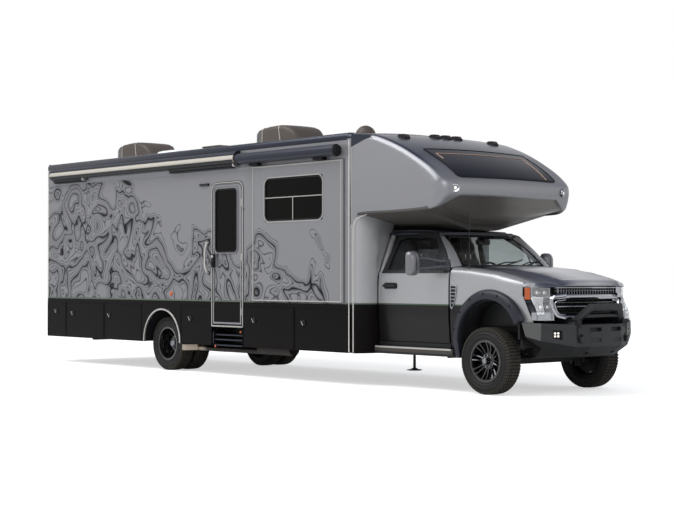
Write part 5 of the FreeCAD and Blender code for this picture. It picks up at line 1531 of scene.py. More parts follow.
# %% Running boards and fender vents
board_alloy = coated("dusty_step_aluminium", "#3C3834", 0.4, 0.5, 0.004, 0.0003, 0.35, "#4A4540")
boards = Shape()
BOARD_X = (2.575, 4.045)
boards.pad("X", (0.88, 0.445), (1.055, 0.545), 0.03, 4, ((BOARD_X[0], 0.012),
    (BOARD_X[0] + 0.012, 0.0), (BOARD_X[1] - 0.012, 0.0), (BOARD_X[1], 0.012)))
# The black strip is the board's lower edge. The bright satin strip along the top outer edge is a
# painted highlight of that edge.
for low, high, paint in (((1.046, 0.447), (1.0575, 0.48), 1), ((1.022, 0.523), (1.0568, 0.5465),
        2)):
    boards.prism(rounded(low, high, 0.004, 3), "X", BOARD_X[0] + 0.02, BOARD_X[1] - 0.02, paint)
for x in (2.75, 3.25, 3.75):
    boards.block((x, 0.62, 0.49), (x + 0.05, 0.9, 0.53), 1)
    boards.block((x, 0.6, 0.49), (x + 0.05, 0.66, 0.66), 1)
boards.block((2.66, 0.9, 0.52), (3.93, 0.935, 0.63), 1)
boards.both_sides().piece("running_boards", [board_alloy, trim_plastic, satin_trim],
    nodes=("steps",), bevel=0.002)
for side, sign in SIDES:
    rib = Shape()
    rib.block((2.62, sign * 0.965 - 0.066, 0.543), (2.632, sign * 0.965 + 0.066, 0.548))
    repeat(f"{side}_board_ribs", GRID, rib, {"Count": 46, "Step": (0.0305, 0, 0)}, trim_plastic)
vents = Shape()
vent_outline = [(AXLE - 0.642, 1.366), (AXLE - 0.52, 1.36), (AXLE - 0.535, 1.24),
    (AXLE - 0.565, 1.12), (AXLE - 0.605, 1.05), (AXLE - 0.642, 1.065)]
grown = even(vent_outline, 30)
shrunk = [(x + (AXLE - 0.59 - x) * 0.26, z + (1.22 - z) * 0.12) for x, z in grown]
vents.frame(grown, shrunk, "Y", 0.985, 1.01)
vents.prism(shrunk, "Y", 0.985, 1.001, 1)
for k in range(5):
    vents.block((AXLE - 0.632, 0.99, 1.125 + 0.045 * k), (AXLE - 0.575 + 0.008 * k, 1.008,
        1.137 + 0.045 * k))
vents.both_sides().piece("fender_vents", [chrome, trim_plastic], bevel=0.0015)

# %% Wing panels between the house and the cab
wings = Shape()
for low, high, paint in ((0.44, BELT_LINE, 1), (BELT_LINE + 0.018, 2.36, 0), (BELT_LINE,
        BELT_LINE + 0.018, 2)):
    wings.block((HOUSE_FRONT + 0.002, SIDE - 0.05, low), (HOUSE_FRONT + 0.075, SIDE, high), paint)
    wings.skin([[(HOUSE_FRONT + 0.07, SIDE - 0.001, z), (HOUSE_FRONT + 0.1, SIDE - 0.018, z),
        (2.555, min(SIDE - 0.14, cab_side(min(z, WAIST)) + 0.14), z),
        (2.585, min(cab_side(z), SIDE - 0.2) + 0.01, z), (2.575, min(cab_side(z), SIDE - 0.2)
        - 0.02, z), (HOUSE_FRONT + 0.04, SIDE - 0.05, z)] for z in (np.linspace(low, high, 8)
        if high - low > 0.1 else (low, high))], paint)
wings.both_sides().piece("wing_panels", [cab_silver, black_gelcoat, green_line],
    slot="body_silver", nodes=("cab_side_panels",), angle=30)

# %% Splash shields between the bumper and the axle
shields = Shape()
shields.prism(((AXLE + 0.46, 0.89), (AXLE + 0.6, 0.86), (AXLE + 0.6, 0.6), (AXLE + 0.5, 0.47),
    (AXLE + 0.46, 0.465)), "Y", -0.66, 0.66)
shields.prism(((AXLE + 0.42, 0.89), (AXLE + 0.47, 0.88), (AXLE + 0.47, 0.48), (AXLE + 0.3, 0.445),
    (AXLE + 0.24, 0.52)), "Y", -0.545, 0.545)
for side in (-1, 1):
    low, high = sorted((side * 0.64, side * 0.985))
    shields.block((AXLE + 0.5, low, 0.7), (AXLE + 0.53, high, 0.93))
    shields.block((AXLE + 0.5, side * 0.8 - 0.14, 0.6), (AXLE + 0.53, side * 0.8 + 0.14, 0.72))
    low, high = sorted((side * 0.62, side * 0.655))
    shields.block((AXLE - 0.6, low, 0.6), (AXLE - 0.435, high, 1.3))
    shields.block((AXLE - 0.44, low, 0.775), (AXLE + 0.44, high, 1.3))
    shields.block((AXLE + 0.435, low, 0.6), (AXLE + 0.5, high, 1.3))
shields.piece("splash_shields", chassis_paint, slot="chassis_steel", bevel=0.004)

# %% [markdown]
# ## Wheels
# The tyre is a turned section with grooves, and its tread blocks, shoulder lugs and sidewall ribs
# repeat round it. The front rim has eight pairs of ridged spokes that dish inward to a hub
# standing proud, with the wheel nuts round it. The outer rear rim is the same casting seen from
# its other side, so it is a deep dish with its nuts standing on the hub.

# %% Tyre section
TYRE_R, TYRE_HALF, BEAD_R = 0.418, 0.122, 0.258


def tyre_section():
    """Radius and place across, from one bead over the tread to the other."""
    side = [(BEAD_R, 0.1), (0.268, 0.112), (0.275, 0.114), (0.279, 0.109), (0.292, 0.115),
        (0.3, 0.1215), (0.306, 0.1225), (0.31, 0.1175), (0.33, 0.1165), (0.336, 0.1225),
        (0.343, 0.1225), (0.348, 0.1165), (0.366, 0.1125), (0.382, 0.104), (0.394, 0.098),
        (0.401, 0.092), (0.404, 0.084)]
    tread = []
    for groove in (0.06, 0.022):
        tread += [(0.405, groove + 0.01), (0.396, groove + 0.006), (0.396, groove - 0.006),
            (0.4055, groove - 0.01)]
    half = side + tread
    return half + [(r, -w) for r, w in half[::-1]]


def make_tyre(name, across, body, nodes, places):
    hollow = [(BEAD_R + 0.012, -0.092), (0.385, -0.085), (0.388, 0.0), (0.385, 0.085),
        (BEAD_R + 0.012, 0.092)]
    tyre = Shape()
    for y in places:
        tyre.turn(tyre_section() + hollow, (across, y, TYRE), 0, 72)
    tyre.piece(name, tyre_rubber, body, "tyre_rubber", nodes, angle=40)
    for number, y in enumerate(places):
        lug = Shape()
        for low, high, top in ((0.064, 0.098, 0.4145), (0.026, 0.056, 0.4175),
                (-0.018, 0.018, 0.4175), (-0.056, -0.026, 0.4175), (-0.098, -0.064, 0.4145)):
            skew = 0.008 if low > 0 else -0.008
            lug.skin([[(-0.0145 + skew, low, 0.4), (0.0135 + skew, low, 0.4), (0.012 + skew,
                low + 0.001, top), (-0.013 + skew, low + 0.001, top)], [(-0.0145 - skew, high,
                0.4), (0.0135 - skew, high, 0.4), (0.012 - skew, high - 0.001, top),
                (-0.013 - skew, high - 0.001, top)]])
        for side in (-1, 1):
            lug.skin([[(x - side * 0.008, side * w, r) for w, r in ((0.098, 0.414),
                (0.1115, 0.403), (0.1195, 0.374), (0.106, 0.37), (0.092, 0.398))]
                for x in (-0.013, 0.011)])
        repeat(f"{name}_tread_{number}", RING, lug, {"Count": 62, "Step Angle": math.tau / 62,
            "Centre": (across, y, TYRE)}, worn_rubber, body)


FRONT_Y, DUAL_Y, TWIN = 0.935, 0.912, 0.155
for side, sign in SIDES:
    make_tyre(f"{side}_front_tyre_carcass", AXLE, f"{side}_front_wheel", (f"{side}_front_tyre",),
        (sign * FRONT_Y,))
    make_tyre(f"{side}_rear_tyre_carcasses", REAR_AXLE, f"{side}_rear_wheels",
        (f"{side}_rear_tyres",), (sign * (DUAL_Y + TWIN), sign * (DUAL_Y - TWIN)))

# %% Rims
BARREL = [(0.262, 0.104), (0.262, 0.096), (0.244, 0.09), (0.228, 0.04), (0.222, 0.0),
    (0.228, -0.05), (0.244, -0.092), (0.262, -0.098), (0.262, -0.104)]
BARREL += [(r - 0.01, w * 0.98) for r, w in BARREL[:0:-1]] + [(0.246, 0.106)]


def front_rim(side, sign):
    rim = Shape()
    centre = (AXLE, sign * FRONT_Y, TYRE)
    rim.turn(BARREL, centre, 0, 60, sign=sign)
    rim.turn(((0.001, 0.06), (0.06, 0.06), (0.1, 0.05), (0.104, 0.038), (0.104, 0.01),
        (0.001, 0.005)), centre, 0, 48, sign=sign)
    rim.turn(((0.001, 0.12), (0.034, 0.12), (0.042, 0.114), (0.045, 0.08), (0.054, 0.058),
        (0.001, 0.055)), centre, 0, 36, sign=sign)
    rim.turn(((0.001, 0.1245), (0.026, 0.1235), (0.032, 0.118), (0.001, 0.118)), centre, 1, 36,
        sign=sign)
    rim.turn(((0.235, 0.104), (0.25, 0.106), (0.258, 0.1), (0.25, 0.094), (0.232, 0.092)), centre,
        0, 60, sign=sign)
    rim.turn(((0.001, 0.004), (0.165, 0.004), (0.17, -0.012), (0.213, -0.02), (0.213, -0.034),
        (0.001, -0.034)), centre, 2, 48, sign=sign)
    rim.piece(f"{side}_front_rim_barrel", [wheel_gloss, cap_grey, chassis_paint],
        f"{side}_front_wheel", "wheel_black", (f"{side}_front_rim",), angle=30)
    spoke = Shape()
    for lean in (-1, 1):
        rings = []
        for r, w, half, deep in ((0.088, 0.054, 0.017, 0.026), (0.13, 0.052, 0.013, 0.026),
                (0.18, 0.066, 0.012, 0.026), (0.218, 0.088, 0.013, 0.024), (0.242, 0.098, 0.02,
                0.016)):
            x = lean * (0.014 + 0.145 * (r - 0.088))
            rings.append([(x + half * a, sign * (w + b), r) for a, b in ((-1, -deep),
                (-0.75, -0.003), (0, 0.006), (0.75, -0.003), (1, -deep))])
        spoke.skin(rings)
    repeat(f"{side}_front_spokes", RING, spoke, {"Count": 8, "First Angle": 0.16,
        "Step Angle": math.tau / 8, "Centre": centre}, wheel_gloss, f"{side}_front_wheel",
        angle=28)
    nut = Shape()
    nut.turn([(0.001, 0.077), (0.007, 0.075), (0.0105, 0.068), (0.0115, 0.045), (0.001, 0.045)],
        (0, 0, 0.076), 0, 6, sign=sign)
    repeat(f"{side}_front_wheel_nuts", RING, nut, {"Count": 8, "First Angle": 0.2,
        "Step Angle": math.pi / 4, "Centre": centre}, chrome, f"{side}_front_wheel")


def rear_rims(side, sign):
    rims = Shape()
    outer = (REAR_AXLE, sign * (DUAL_Y + TWIN), TYRE)
    inner = (REAR_AXLE, sign * (DUAL_Y - TWIN), TYRE)
    rims.turn(BARREL, outer, 0, 60, sign=sign)
    rims.turn(BARREL, inner, 0, 60, sign=sign)
    disc = [(0.001, -0.062), (0.105, -0.062), (0.125, -0.052), (0.15, -0.058), (0.205, -0.07),
        (0.236, -0.08), (0.236, -0.095), (0.2, -0.086), (0.001, -0.08)]
    rims.turn(disc, outer, 0, 60, sign=sign)
    rims.turn(disc, inner, 0, 60, sign=-sign)
    rims.turn(((0.001, 0.03), (0.044, 0.024), (0.056, 0.006), (0.06, -0.062), (0.001, -0.062)),
        outer, 1, 36, sign=sign)
    rims.turn(((0.235, 0.104), (0.252, 0.107), (0.26, 0.1), (0.252, 0.094), (0.232, 0.092)), outer,
        0, 60, sign=sign)
    rims.piece(f"{side}_rear_rim_pair", [wheel_gloss, cap_grey], f"{side}_rear_wheels",
        "wheel_black", (f"{side}_rear_rims",), angle=30)
    hole = Shape()
    hole.turn([(0.001, -0.0525), (0.019, -0.0535), (0.024, -0.064), (0.001, -0.07)], (0, 0, 0.176),
        0, 16, sign=sign)
    repeat(f"{side}_rear_hand_holes", RING, hole, {"Count": 8, "Step Angle": math.pi / 4,
        "Centre": outer}, seal_rubber, f"{side}_rear_wheels")
    nut = Shape()
    nut.turn([(0.001, -0.03), (0.008, -0.032), (0.0125, -0.04), (0.0135, -0.064), (0.001, -0.064)],
        (0, 0, 0.083), 0, 6, sign=sign)
    repeat(f"{side}_rear_wheel_nuts", RING, nut, {"Count": 8, "First Angle": 0.39,
        "Step Angle": math.pi / 4, "Centre": outer}, chrome, f"{side}_rear_wheels")


for side, sign in SIDES:
    front_rim(side, sign)
    rear_rims(side, sign)
print("wheels: tyre radius", TYRE_R, "m")

# %% [markdown]
# ## Rails, mouldings and the belt stripe
# An extruded rail caps the joint between wall and roof, and it is dark and rounded. Bright
# mouldings cover the joints between panels, and a thin dark-green stripe runs over the line where
# silver meets black.

# %% Roof rails and panel mouldings
rails = Shape()
RAIL = [(1.16, 3.412), (1.225, 3.408), (1.268, 3.396), (1.288, 3.372), (1.293, 3.345),
    (1.288, 3.306), (1.276, 3.3), (1.262, 3.318), (1.225, 3.33), (1.16, 3.36)]
rails.skin([[(x, y - dip, z - dip * (z > 3.34)) for y, z in RAIL] for x, dip in ((HOUSE_REAR
    - 0.012, 0.012), (HOUSE_REAR + 0.01, 0.0), (HOUSE_FRONT - 0.1, 0.0), (HOUSE_FRONT + 0.004,
    0.03))])
rails.both_sides()
rails.skin([[(HOUSE_REAR - 0.006 - (a - 1.225) * 0.16, y, b - 0.003) for a, b in RAIL]
    for y in (-1.262, 1.262)])
rails.piece("roof_rails", dark_rail, slot="body_black", bevel=0.003, angle=40)
membrane = Shape()
membrane.skin([[(x, y, 3.372 + rise * (1 - (max(0.0, abs(y) - 0.42) / 0.85) ** 1.7))
    for y in np.linspace(-1.262, 1.262, 33)] + [(x, 1.262, 3.3), (x, -1.262, 3.3)]
    for x, rise in ((HOUSE_REAR + 0.004, 0.05), (HOUSE_REAR + 0.1, 0.095),
    (HOUSE_REAR + 0.3, 0.116), (HOUSE_FRONT - 1.1, 0.116), (HOUSE_FRONT - 0.6, 0.085),
    (HOUSE_FRONT - 0.2, 0.045), (HOUSE_FRONT + 0.002, 0.02))])
membrane.piece("roof_membrane", roof_sheet, slot="roof_membrane", nodes=("roof",), angle=40)
mouldings = Shape()
X_BACK, X_FRONT = AXLE - 2.281, AXLE - 2.191
for x in (X_BACK, HOUSE_REAR + 0.014):
    mouldings.skin([[(x - 0.011, SIDE - 0.004, z), (x - 0.007, SIDE + 0.005, z), (x + 0.007,
        SIDE + 0.005, z), (x + 0.011, SIDE - 0.004, z)] for z in (0.45 if x > 0 else 1.1, 3.3)])
sweep = [(X_FRONT, SIDE + 0.001, z) for z in (0.45, 1.0, 1.6, 2.05)] + [(X_FRONT + 0.006,
    SIDE + 0.001, 2.12), (X_FRONT + 0.03, SIDE + 0.001, 2.18), (X_FRONT + 0.075, SIDE, 2.232),
    (X_FRONT + 0.15, SIDE - 0.004, 2.268), (X_FRONT + 0.26, SIDE - 0.01, 2.288)]
mouldings.pipe(sweep, [0.009] * 7 + [0.007, 0.004], sides=8)
mouldings.block((AXLE - 2.236, SIDE - 0.004, 2.13), (AXLE - 2.228, SIDE + 0.003, 3.2))
mouldings.block((AXLE - 2.236, SIDE - 0.004, 2.128), (AXLE - 2.2, SIDE + 0.002, 2.135))
mouldings.both_sides()
for y in (-1.262, 1.262):
    mouldings.block((HOUSE_REAR - 0.006, y - 0.012, 1.1), (HOUSE_REAR + 0.004, y + 0.012, 3.3))
mouldings.piece("panel_mouldings", bright_trim, bevel=0.002)
STRIPE_LOW, STRIPE_HIGH = 1.094, 1.116
stripe = Shape()
stripe.block((HOUSE_REAR, SIDE - 0.004, STRIPE_LOW), (HOUSE_FRONT + 0.076, SIDE + 0.0018,
    STRIPE_HIGH))
for low, high in ((HOUSE_REAR, -0.79), (-0.018, 0.205), (2.255, HOUSE_FRONT + 0.076)):
    stripe.block((low, -SIDE - 0.0018, STRIPE_LOW), (high, -SIDE + 0.004, STRIPE_HIGH))
stripe.block((HOUSE_REAR - 0.0018, -SIDE, STRIPE_LOW), (HOUSE_REAR + 0.004, SIDE, STRIPE_HIGH))
stripe.piece("belt_stripe", green_line)
door_stripe = Shape().block((-0.757, -1.2945, STRIPE_LOW), (-0.045, -1.29, STRIPE_HIGH))
door_stripe.piece("door_stripe", green_line, "house_door")
gutters = Shape()
for sign in (-1, 1):
    gutters.block((HOUSE_REAR + 0.02, sign * 1.288 - 0.004, 3.035), (HOUSE_FRONT - 0.12,
        sign * 1.288 + 0.004, 3.062))
gutters.piece("awning_mounting_strip", cap_grey, bevel=0.002)

# %% [markdown]
# ## Windows of the house
# Every window is dark glass in a thin clamp ring with round corners. Wide ones have a fixed pane
# above and two small sliding panes below, parted by slim bars.

# %% Window rings, bars and the left windows
def window(name, low, high, face, body, bars=(), corner=0.1, edge=satin_trim, nodes=()):
    """A clamp ring round a pane on the side whose face is at that y."""
    sign = 1 if face > 0 else -1

    def outline(inset):
        return rounded(low, high, corner - inset, 8, inset)

    def depths(back, front):
        return sorted((face - sign * back, face + sign * front))

    ring = Shape()
    ring.frame(outline(-0.014), outline(0.0), "Y", face - sign * 0.014, face + sign * 0.006)
    ring.frame(outline(0.004), outline(0.026), "Y", face - sign * 0.016, face + sign * 0.0025, 1)
    for (x0, z0), (x1, z1) in bars:
        dx, dz = (0.006, 0) if z1 - z0 > x1 - x0 else (0, 0.006)
        for (y0, y1), dx, dz, paint in ((depths(0.014, 0.0), 0, 0, 1), (depths(0.012, 0.0035), dx,
                dz, 0)):
            ring.block((x0 + dx, y0, z0 + dz), (x1 - dx, y1, z1 - dz), paint)
    ring.piece(f"{name}_ring", [edge, seal_rubber], body, "window_glass", bevel=0.0015)
    glass = Shape().prism(outline(0.0), "Y", *depths(0.018, -0.01))
    glass.piece(f"{name}_pane", privacy_glass, body, "window_glass", nodes)


for number, (x0, x1, z0, z1) in enumerate(((-4.64, -3.84, 2.05, 2.6), (-1.64, -0.74, 2.05, 2.6),
        (0.31, 1.66, 1.85, 2.6))):
    middle_x, bar_z = (x0 + x1) / 2, z0 + (z1 - z0) * 0.46
    window(f"left_window_{number}", (x0, z0), (x1, z1), SIDE, "chassis",
        (((x0 + 0.02, bar_z - 0.014), (x1 - 0.02, bar_z + 0.014)), ((middle_x - 0.014, z0 + 0.02),
        (middle_x + 0.014, bar_z))))
window("slide_out_window", (0.519, 2.25), (1.809, 2.865), -1.308, "slide_out",
    (((0.53, 2.572), (1.8, 2.596)), ((1.15, 2.26), (1.176, 2.58))), corner=0.105,
    nodes=("slide_out_window",))
window("entry_door_window", (-0.701, 1.82), (-0.152, 2.77), -1.293, "house_door", corner=0.075,
    edge=silver_paint, nodes=("entry_door_window",))

# %% [markdown]
# ## Slide-out room
# The slide-out's face overlaps the wall with a flange, and a rubber wiper seals the gap behind
# it. Its topper is a spring roller whose short cloth shields its roof, held by two brackets.

# %% Slide-out flange and topper
slide = Shape()
S0, S1, Z0, Z1 = 0.247, 2.209, 1.118, 3.045
outer = rounded((S0, Z0), (S1, Z1), 0.012, 3)
inner = rounded((S0 + 0.016, Z0 + 0.016), (S1 - 0.016, Z1 - 0.016), 0.008, 3)
slide.frame(outer, inner, "Y", -1.316, -1.306)
for low, high in (((S0 - 0.016, Z0 - 0.012), (S0, Z1 + 0.01)), ((S1, Z0 - 0.012),
        (S1 + 0.016, Z1 + 0.01)), ((S0 - 0.016, Z1), (S1 + 0.016, Z1 + 0.014)),
        ((S0 - 0.016, Z0 - 0.016), (S1 + 0.016, Z0))):
    slide.block((low[0], -1.303, low[1]), (high[0], -1.288, high[1]), 1)
slide.piece("slide_out_flange", [satin_trim, seal_rubber], "slide_out", "body_silver", bevel=0.002)
topper, TOPPER_Y, TOPPER_Z = Shape(), -1.366, 3.17
T0, T1 = AXLE - 4.635, AXLE - 2.435
topper.turn([(0.001, T0 + 0.03), (0.074, T0 + 0.03), (0.0745, 0.6), (0.074, T1 - 0.03),
    (0.001, T1 - 0.03)], (0, TOPPER_Y, TOPPER_Z), 0, 32, "X")
cover = arc((0, 0), 0.084, -20, 150, 12) + arc((0, 0), 0.079, 150, -20, 12)
topper.skin([[(x, TOPPER_Y - a, TOPPER_Z + b) for a, b in cover] for x in (T0 + 0.02, T1 - 0.02)])
for x in (T0, T1 - 0.03):
    topper.turn([(0.001, 0.0), (0.078, 0.0), (0.084, 0.006), (0.084, 0.026), (0.078, 0.03),
        (0.001, 0.03)], (x, TOPPER_Y, TOPPER_Z), 1, 28, "X")
    topper.block((x + 0.004, -1.345, 3.128), (x + 0.026, -1.288, 3.215), 1)
for x in (T0 + 0.26, T1 - 0.5):
    topper.block((x, -1.375, 3.062), (x + 0.19, -1.3, 3.1), 2)
topper.piece("slide_topper_roller", [dark_rail, trim_plastic, seal_rubber], "slide_out",
    "awning_fabric", ("slide_out_awning",), bevel=0.003)

# %% [markdown]
# ## Patio awning
# The long awning rolls up in a cradle under the roof rail: the pale back of its cloth shows on
# the roller, a dark channel lies over it, and the two folded arms hang beneath its ends.

# %% Patio awning
awning, ROLL_Y, ROLL_Z = Shape(), -1.352, 3.19
A0, A1 = max(AXLE - 9.985, HOUSE_REAR + 0.1), AXLE - 4.69
awning.turn([(0.001, A0 + 0.02), (0.07, A0 + 0.02), (0.0715, -2.5), (0.07, A1 - 0.02),
    (0.001, A1 - 0.02)], (0, ROLL_Y, ROLL_Z), 0, 36, "X")
# A dark lead bar over the roll's lower outer quarter. It is partly the real bar and partly painted
# shade under the lit roll.
lead_bar_and_shade = [(ROLL_Y - r * math.cos(a), ROLL_Z - r * math.sin(a)) for r, angles in ((0.08,
    np.linspace(0.22, 1.35, 7)), (0.0722, np.linspace(1.35, 0.22, 7))) for a in angles]
awning.prism(lead_bar_and_shade, "X", A0 + 0.03, A1 - 0.03, 2)
channel = [(-1.287, 3.3), (-1.32, 3.306), (-1.366, 3.296), (-1.404, 3.264), (-1.41, 3.246),
    (-1.402, 3.242), (-1.362, 3.276), (-1.318, 3.288), (-1.287, 3.282)]
awning.prism(channel, "X", A0, A1, 1)
awning.block((A0 + 0.03, -1.3, 3.062), (A1 - 0.03, -1.287, 3.29), 4)
for x in (A0, A1 - 0.05):
    awning.skin([[(x + dx, y, z) for y, z in ((-1.287, 3.292), (-1.36, 3.286), (-1.404, 3.25),
        (-1.41, 3.17), (-1.385, 3.125), (-1.33, 3.11), (-1.287, 3.11))] for dx in (0.0, 0.05)], 2)
for x0, x1 in ((A0 + 0.08, A0 + 1.02), (A1 - 1.72, A1 - 0.06)):
    awning.prism(rounded((-1.385, 3.082), (-1.335, 3.118), 0.008, 3), "X", x0, x1, 2)
    awning.prism(rounded((-1.345, 3.055), (-1.3, 3.085), 0.008, 3), "X", x0 - 0.03, x1 - 0.06, 2)
for x in (A0 + 1.03, A1 - 0.06):
    awning.turn([(0.001, -0.014), (0.034, -0.014), (0.038, 0.0), (0.034, 0.014), (0.001, 0.014)],
        (x, -1.352, 3.104), 3, 20, "X")
awning.piece("patio_awning_roller", [awning_cloth, dark_rail, trim_plastic, bright_trim, cap_grey],
    slot="awning_fabric", nodes=("patio_awning",), bevel=0.003)

# %% [markdown]
# ## Entry door
# The entry door stands in a bright extruded frame with round upper corners and a black seal. The
# leaf has a raised rim, a black latch on its rear edge and hinges on its front edge, and a curved
# grab handle is bolted to the wall beside it.

# %% Door frame, rim, latch and grab handle
def door_outline(grow, corner):
    (x0, z0), (x1, z1) = (-0.775 - grow, 0.742 - grow), (-0.028 + grow, 2.848 + grow)
    return ([(x0, z0), (x1, z0)] + arc((x1 - corner, z1 - corner), corner, 0, 90, 8)
        + arc((x0 + corner, z1 - corner), corner, 90, 180, 8))


door_frame = Shape()
door_frame.frame(door_outline(0.016, 0.125), door_outline(0.0, 0.11), "Y", -1.294, -1.286)
door_frame.frame(door_outline(0.024, 0.133), door_outline(0.014, 0.12), "Y", -1.29, -1.286, 1)
door_frame.block((-0.775, -1.303, 0.722), (-0.028, -1.288, 0.742))
door_frame.piece("entry_door_frame", [satin_trim, seal_rubber], bevel=0.0025)
leaf = Shape()
leaf.frame(door_outline(-0.0175, 0.0925), door_outline(-0.0225, 0.0875), "Y", -1.2925, -1.29, 1)
leaf.frame(door_outline(-0.024, 0.086), door_outline(-0.05, 0.06), "Y", -1.2935, -1.29)
leaf.block((-0.752, -1.33, 1.6), (-0.7, -1.293, 1.8), 1)
leaf.block((-0.742, -1.342, 1.63), (-0.712, -1.322, 1.7), 1)
leaf.turn([(0.02, -0.004), (0.022, 0.0), (0.012, 0.006), (0.001, 0.006), (0.001, -0.004)],
    (-0.726, -1.33, 1.765), 2, 20)
for z in (0.95, 1.75, 2.55):
    leaf.turn([(0.001, -0.05), (0.0071, -0.05), (0.0071, 0.05), (0.001, 0.05)],
        (-0.0508, -1.2924, z), 2, 14, "Z")
leaf.piece("entry_door_rim", [silver_paint, trim_plastic, bright_trim], "house_door",
    "trim_plastic", bevel=0.0025)
grab = Shape()
grab_path = [(-0.865, -1.287, 1.98), (-0.872, -1.33, 1.965), (-0.88, -1.345, 1.9),
    (-0.886, -1.35, 1.8), (-0.886, -1.35, 1.7), (-0.88, -1.345, 1.6), (-0.872, -1.33, 1.535),
    (-0.865, -1.287, 1.52)]
grab.pipe(grab_path, 0.0135, 0, 12)
for z in (1.98, 1.52):
    grab.turn([(0.001, -0.006), (0.03, -0.006), (0.028, 0.006), (0.001, 0.008)],
        (-0.865, -1.29, z), 1, 20)
grab.piece("grab_handle", [bright_trim, trim_plastic], bevel=0.002)

# %% Entry steps folded in their recess
entry = Shape()
entry.block((-0.785, -1.27, 0.44), (-0.765, -0.95, 0.66))
entry.block((-0.045, -1.27, 0.44), (-0.025, -0.95, 0.66))
entry.block((-0.765, -1.0, 0.44), (-0.045, -0.97, 0.7))
for z, y in ((0.612, -1.262), (0.54, -1.268), (0.458, -1.272)):
    entry.block((-0.745, y + 0.012, z - 0.012), (-0.06, -1.02, z), 1)
    entry.skin([[(x, y + a, z + b) for a, b in ((0.0, -0.02), (0.0, -0.003), (0.005, 0.002),
        (0.02, 0.002), (0.02, -0.02))] for x in (-0.745, -0.06)], 2)
entry.block((-0.762, -1.284, 0.475), (-0.745, -1.268, 0.635), 2)
for x, z in ((-0.705, 0.43), (-0.085, 0.655)):
    entry.turn([(0.001, -0.008), (0.018, -0.008), (0.016, 0.002), (0.001, 0.004)], (x, -1.276, z),
        3, 16)
entry.piece("entry_steps", [trim_plastic, chassis_paint, dark_rail, orange_lens], bevel=0.002)

# %% [markdown]
# ## Hatch trims and locks
# Each storage hatch has a slim raised edge and a lock with a T handle: a dark cup with a bright
# lever standing across it. They are small, so one lock serves every hatch. A matching bright
# moulding follows the edge of each rear wheel arch.

# %% Hatches
def hatch_lock(shape, x, z, sign):
    y = sign * 1.291
    shape.turn([(0.001, -0.002), (0.04, -0.002), (0.043, 0.003), (0.038, 0.006), (0.033, 0.002),
        (0.001, 0.002)], (x, y, z), 1, 24, sign=sign)
    lever = Shape().skin([[(a, sign * w, b) for a, b in ((-half, -0.007), (half, -0.007),
        (half, 0.007), (-half, 0.007))] for half, w in ((0.01, 0.0), (0.008, 0.014),
        (0.034, 0.018), (0.034, 0.026), (0.03, 0.028))])
    turn = Matrix.Rotation(math.radians(-55 * sign), 3, "Y")
    lever.moved(turn, (x, y, z))
    lever.paints = [2] * len(lever.faces)
    shape.join(lever)


HATCH_LOCKS = (("right_rear_corner_hatch", ((-9.937, 0.876),)), ("right_rear_hatch",
    ((-9.394, 0.849),)), ("right_mid_hatch", ((-8.243, 0.835),)), ("right_step_hatch",
    ((-5.954, 0.829),)), ("right_slide_hatch", ((-4.363, 0.832),)), ("right_front_hatch",
    ((-3.236, 0.821),)), ("left_rear_hatch", ((-9.3, 0.835), (-7.65, 0.835))), ("left_front_hatch",
    ((-4.4, 0.835), (-2.6, 0.835))))
seals = Shape()
for name, locks in HATCH_LOCKS:
    (x0, _, z0), (x1, _, z1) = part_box(name)
    sign = 1 if name.startswith("left") else -1
    near, far = [rounded((x0 - grow, z0 + 0.001), (x1 + grow, z1 - 0.002), 0.006, 3)
        for grow in (0.012, -0.015)]
    seals.frame(near, far, "Y", *sorted((sign * 1.228, sign * 1.2425)))
    trim = Shape()
    outer = rounded((x0 + 0.004, z0 + 0.004), (x1 - 0.004, z1 - 0.009), 0.014, 4)
    inner = rounded((x0 + 0.012, z0 + 0.012), (x1 - 0.012, z1 - 0.017), 0.008, 4)
    trim.frame(outer, inner, "Y", sign * 1.289, sign * 1.2925)
    for x, z in locks:
        hatch_lock(trim, AXLE + x, z, sign)
    trim.piece(f"{name}_trim", [black_gelcoat, trim_plastic, chrome], f"{name}_lid",
        "trim_plastic", bevel=0.001)
seals.piece("hatch_seals", seal_rubber)

# %% Rear wheel arches: bright edge and black liner
arches = Shape()
ARCH_RADIUS, ARCH_HEIGHT = 0.49, 0.46
edge = ([(REAR_AXLE - ARCH_RADIUS, 0.445), (REAR_AXLE - ARCH_RADIUS, 0.455)]
    + arc((REAR_AXLE, ARCH_HEIGHT), ARCH_RADIUS, 180, 0, 41) + [(REAR_AXLE + ARCH_RADIUS, 0.455),
    (REAR_AXLE + ARCH_RADIUS, 0.445)])
rings = []
for x, z in edge:
    away = Vector((x - REAR_AXLE, max(0.0, z - ARCH_HEIGHT))).normalized()
    rings.append([(x + away.x * r, y, z + away.y * r) for r, y in ((-0.004, SIDE - 0.02),
        (-0.004, SIDE + 0.01), (0.004, SIDE + 0.014), (0.02, SIDE + 0.008),
        (0.022, SIDE - 0.001))])
arches.skin(rings)
arches.both_sides().piece("rear_arch_mouldings", bright_trim, bevel=0.0015)
liner = Shape()
outer = arc((REAR_AXLE, ARCH_HEIGHT), 0.502, -2, 182, 25)
inner = arc((REAR_AXLE, ARCH_HEIGHT), 0.494, 182, -2, 25)
liner.prism(outer + inner, "Y", 0.6, SIDE - 0.03)
liner.prism(outer, "Y", 0.585, 0.6)
liner.both_sides().piece("rear_wheel_liners", trim_plastic)

# %% [markdown]
# ## Small lights and fittings on the walls
# A low porch light sits beside the entry door, an amber side marker over the rear wheel, and a
# small inlet cover near the rear corner. The rear wall carries round clearance lamps, two tall
# tail lamps, a blank number plate, and the ladder.

# %% Porch light, marker, inlet, clearance lamps
def behind(*levels):
    """Layers of a pad on the rear wall: how far each stands out, and how far it is drawn in."""
    return [(HOUSE_REAR - out, inset) for out, inset in levels]


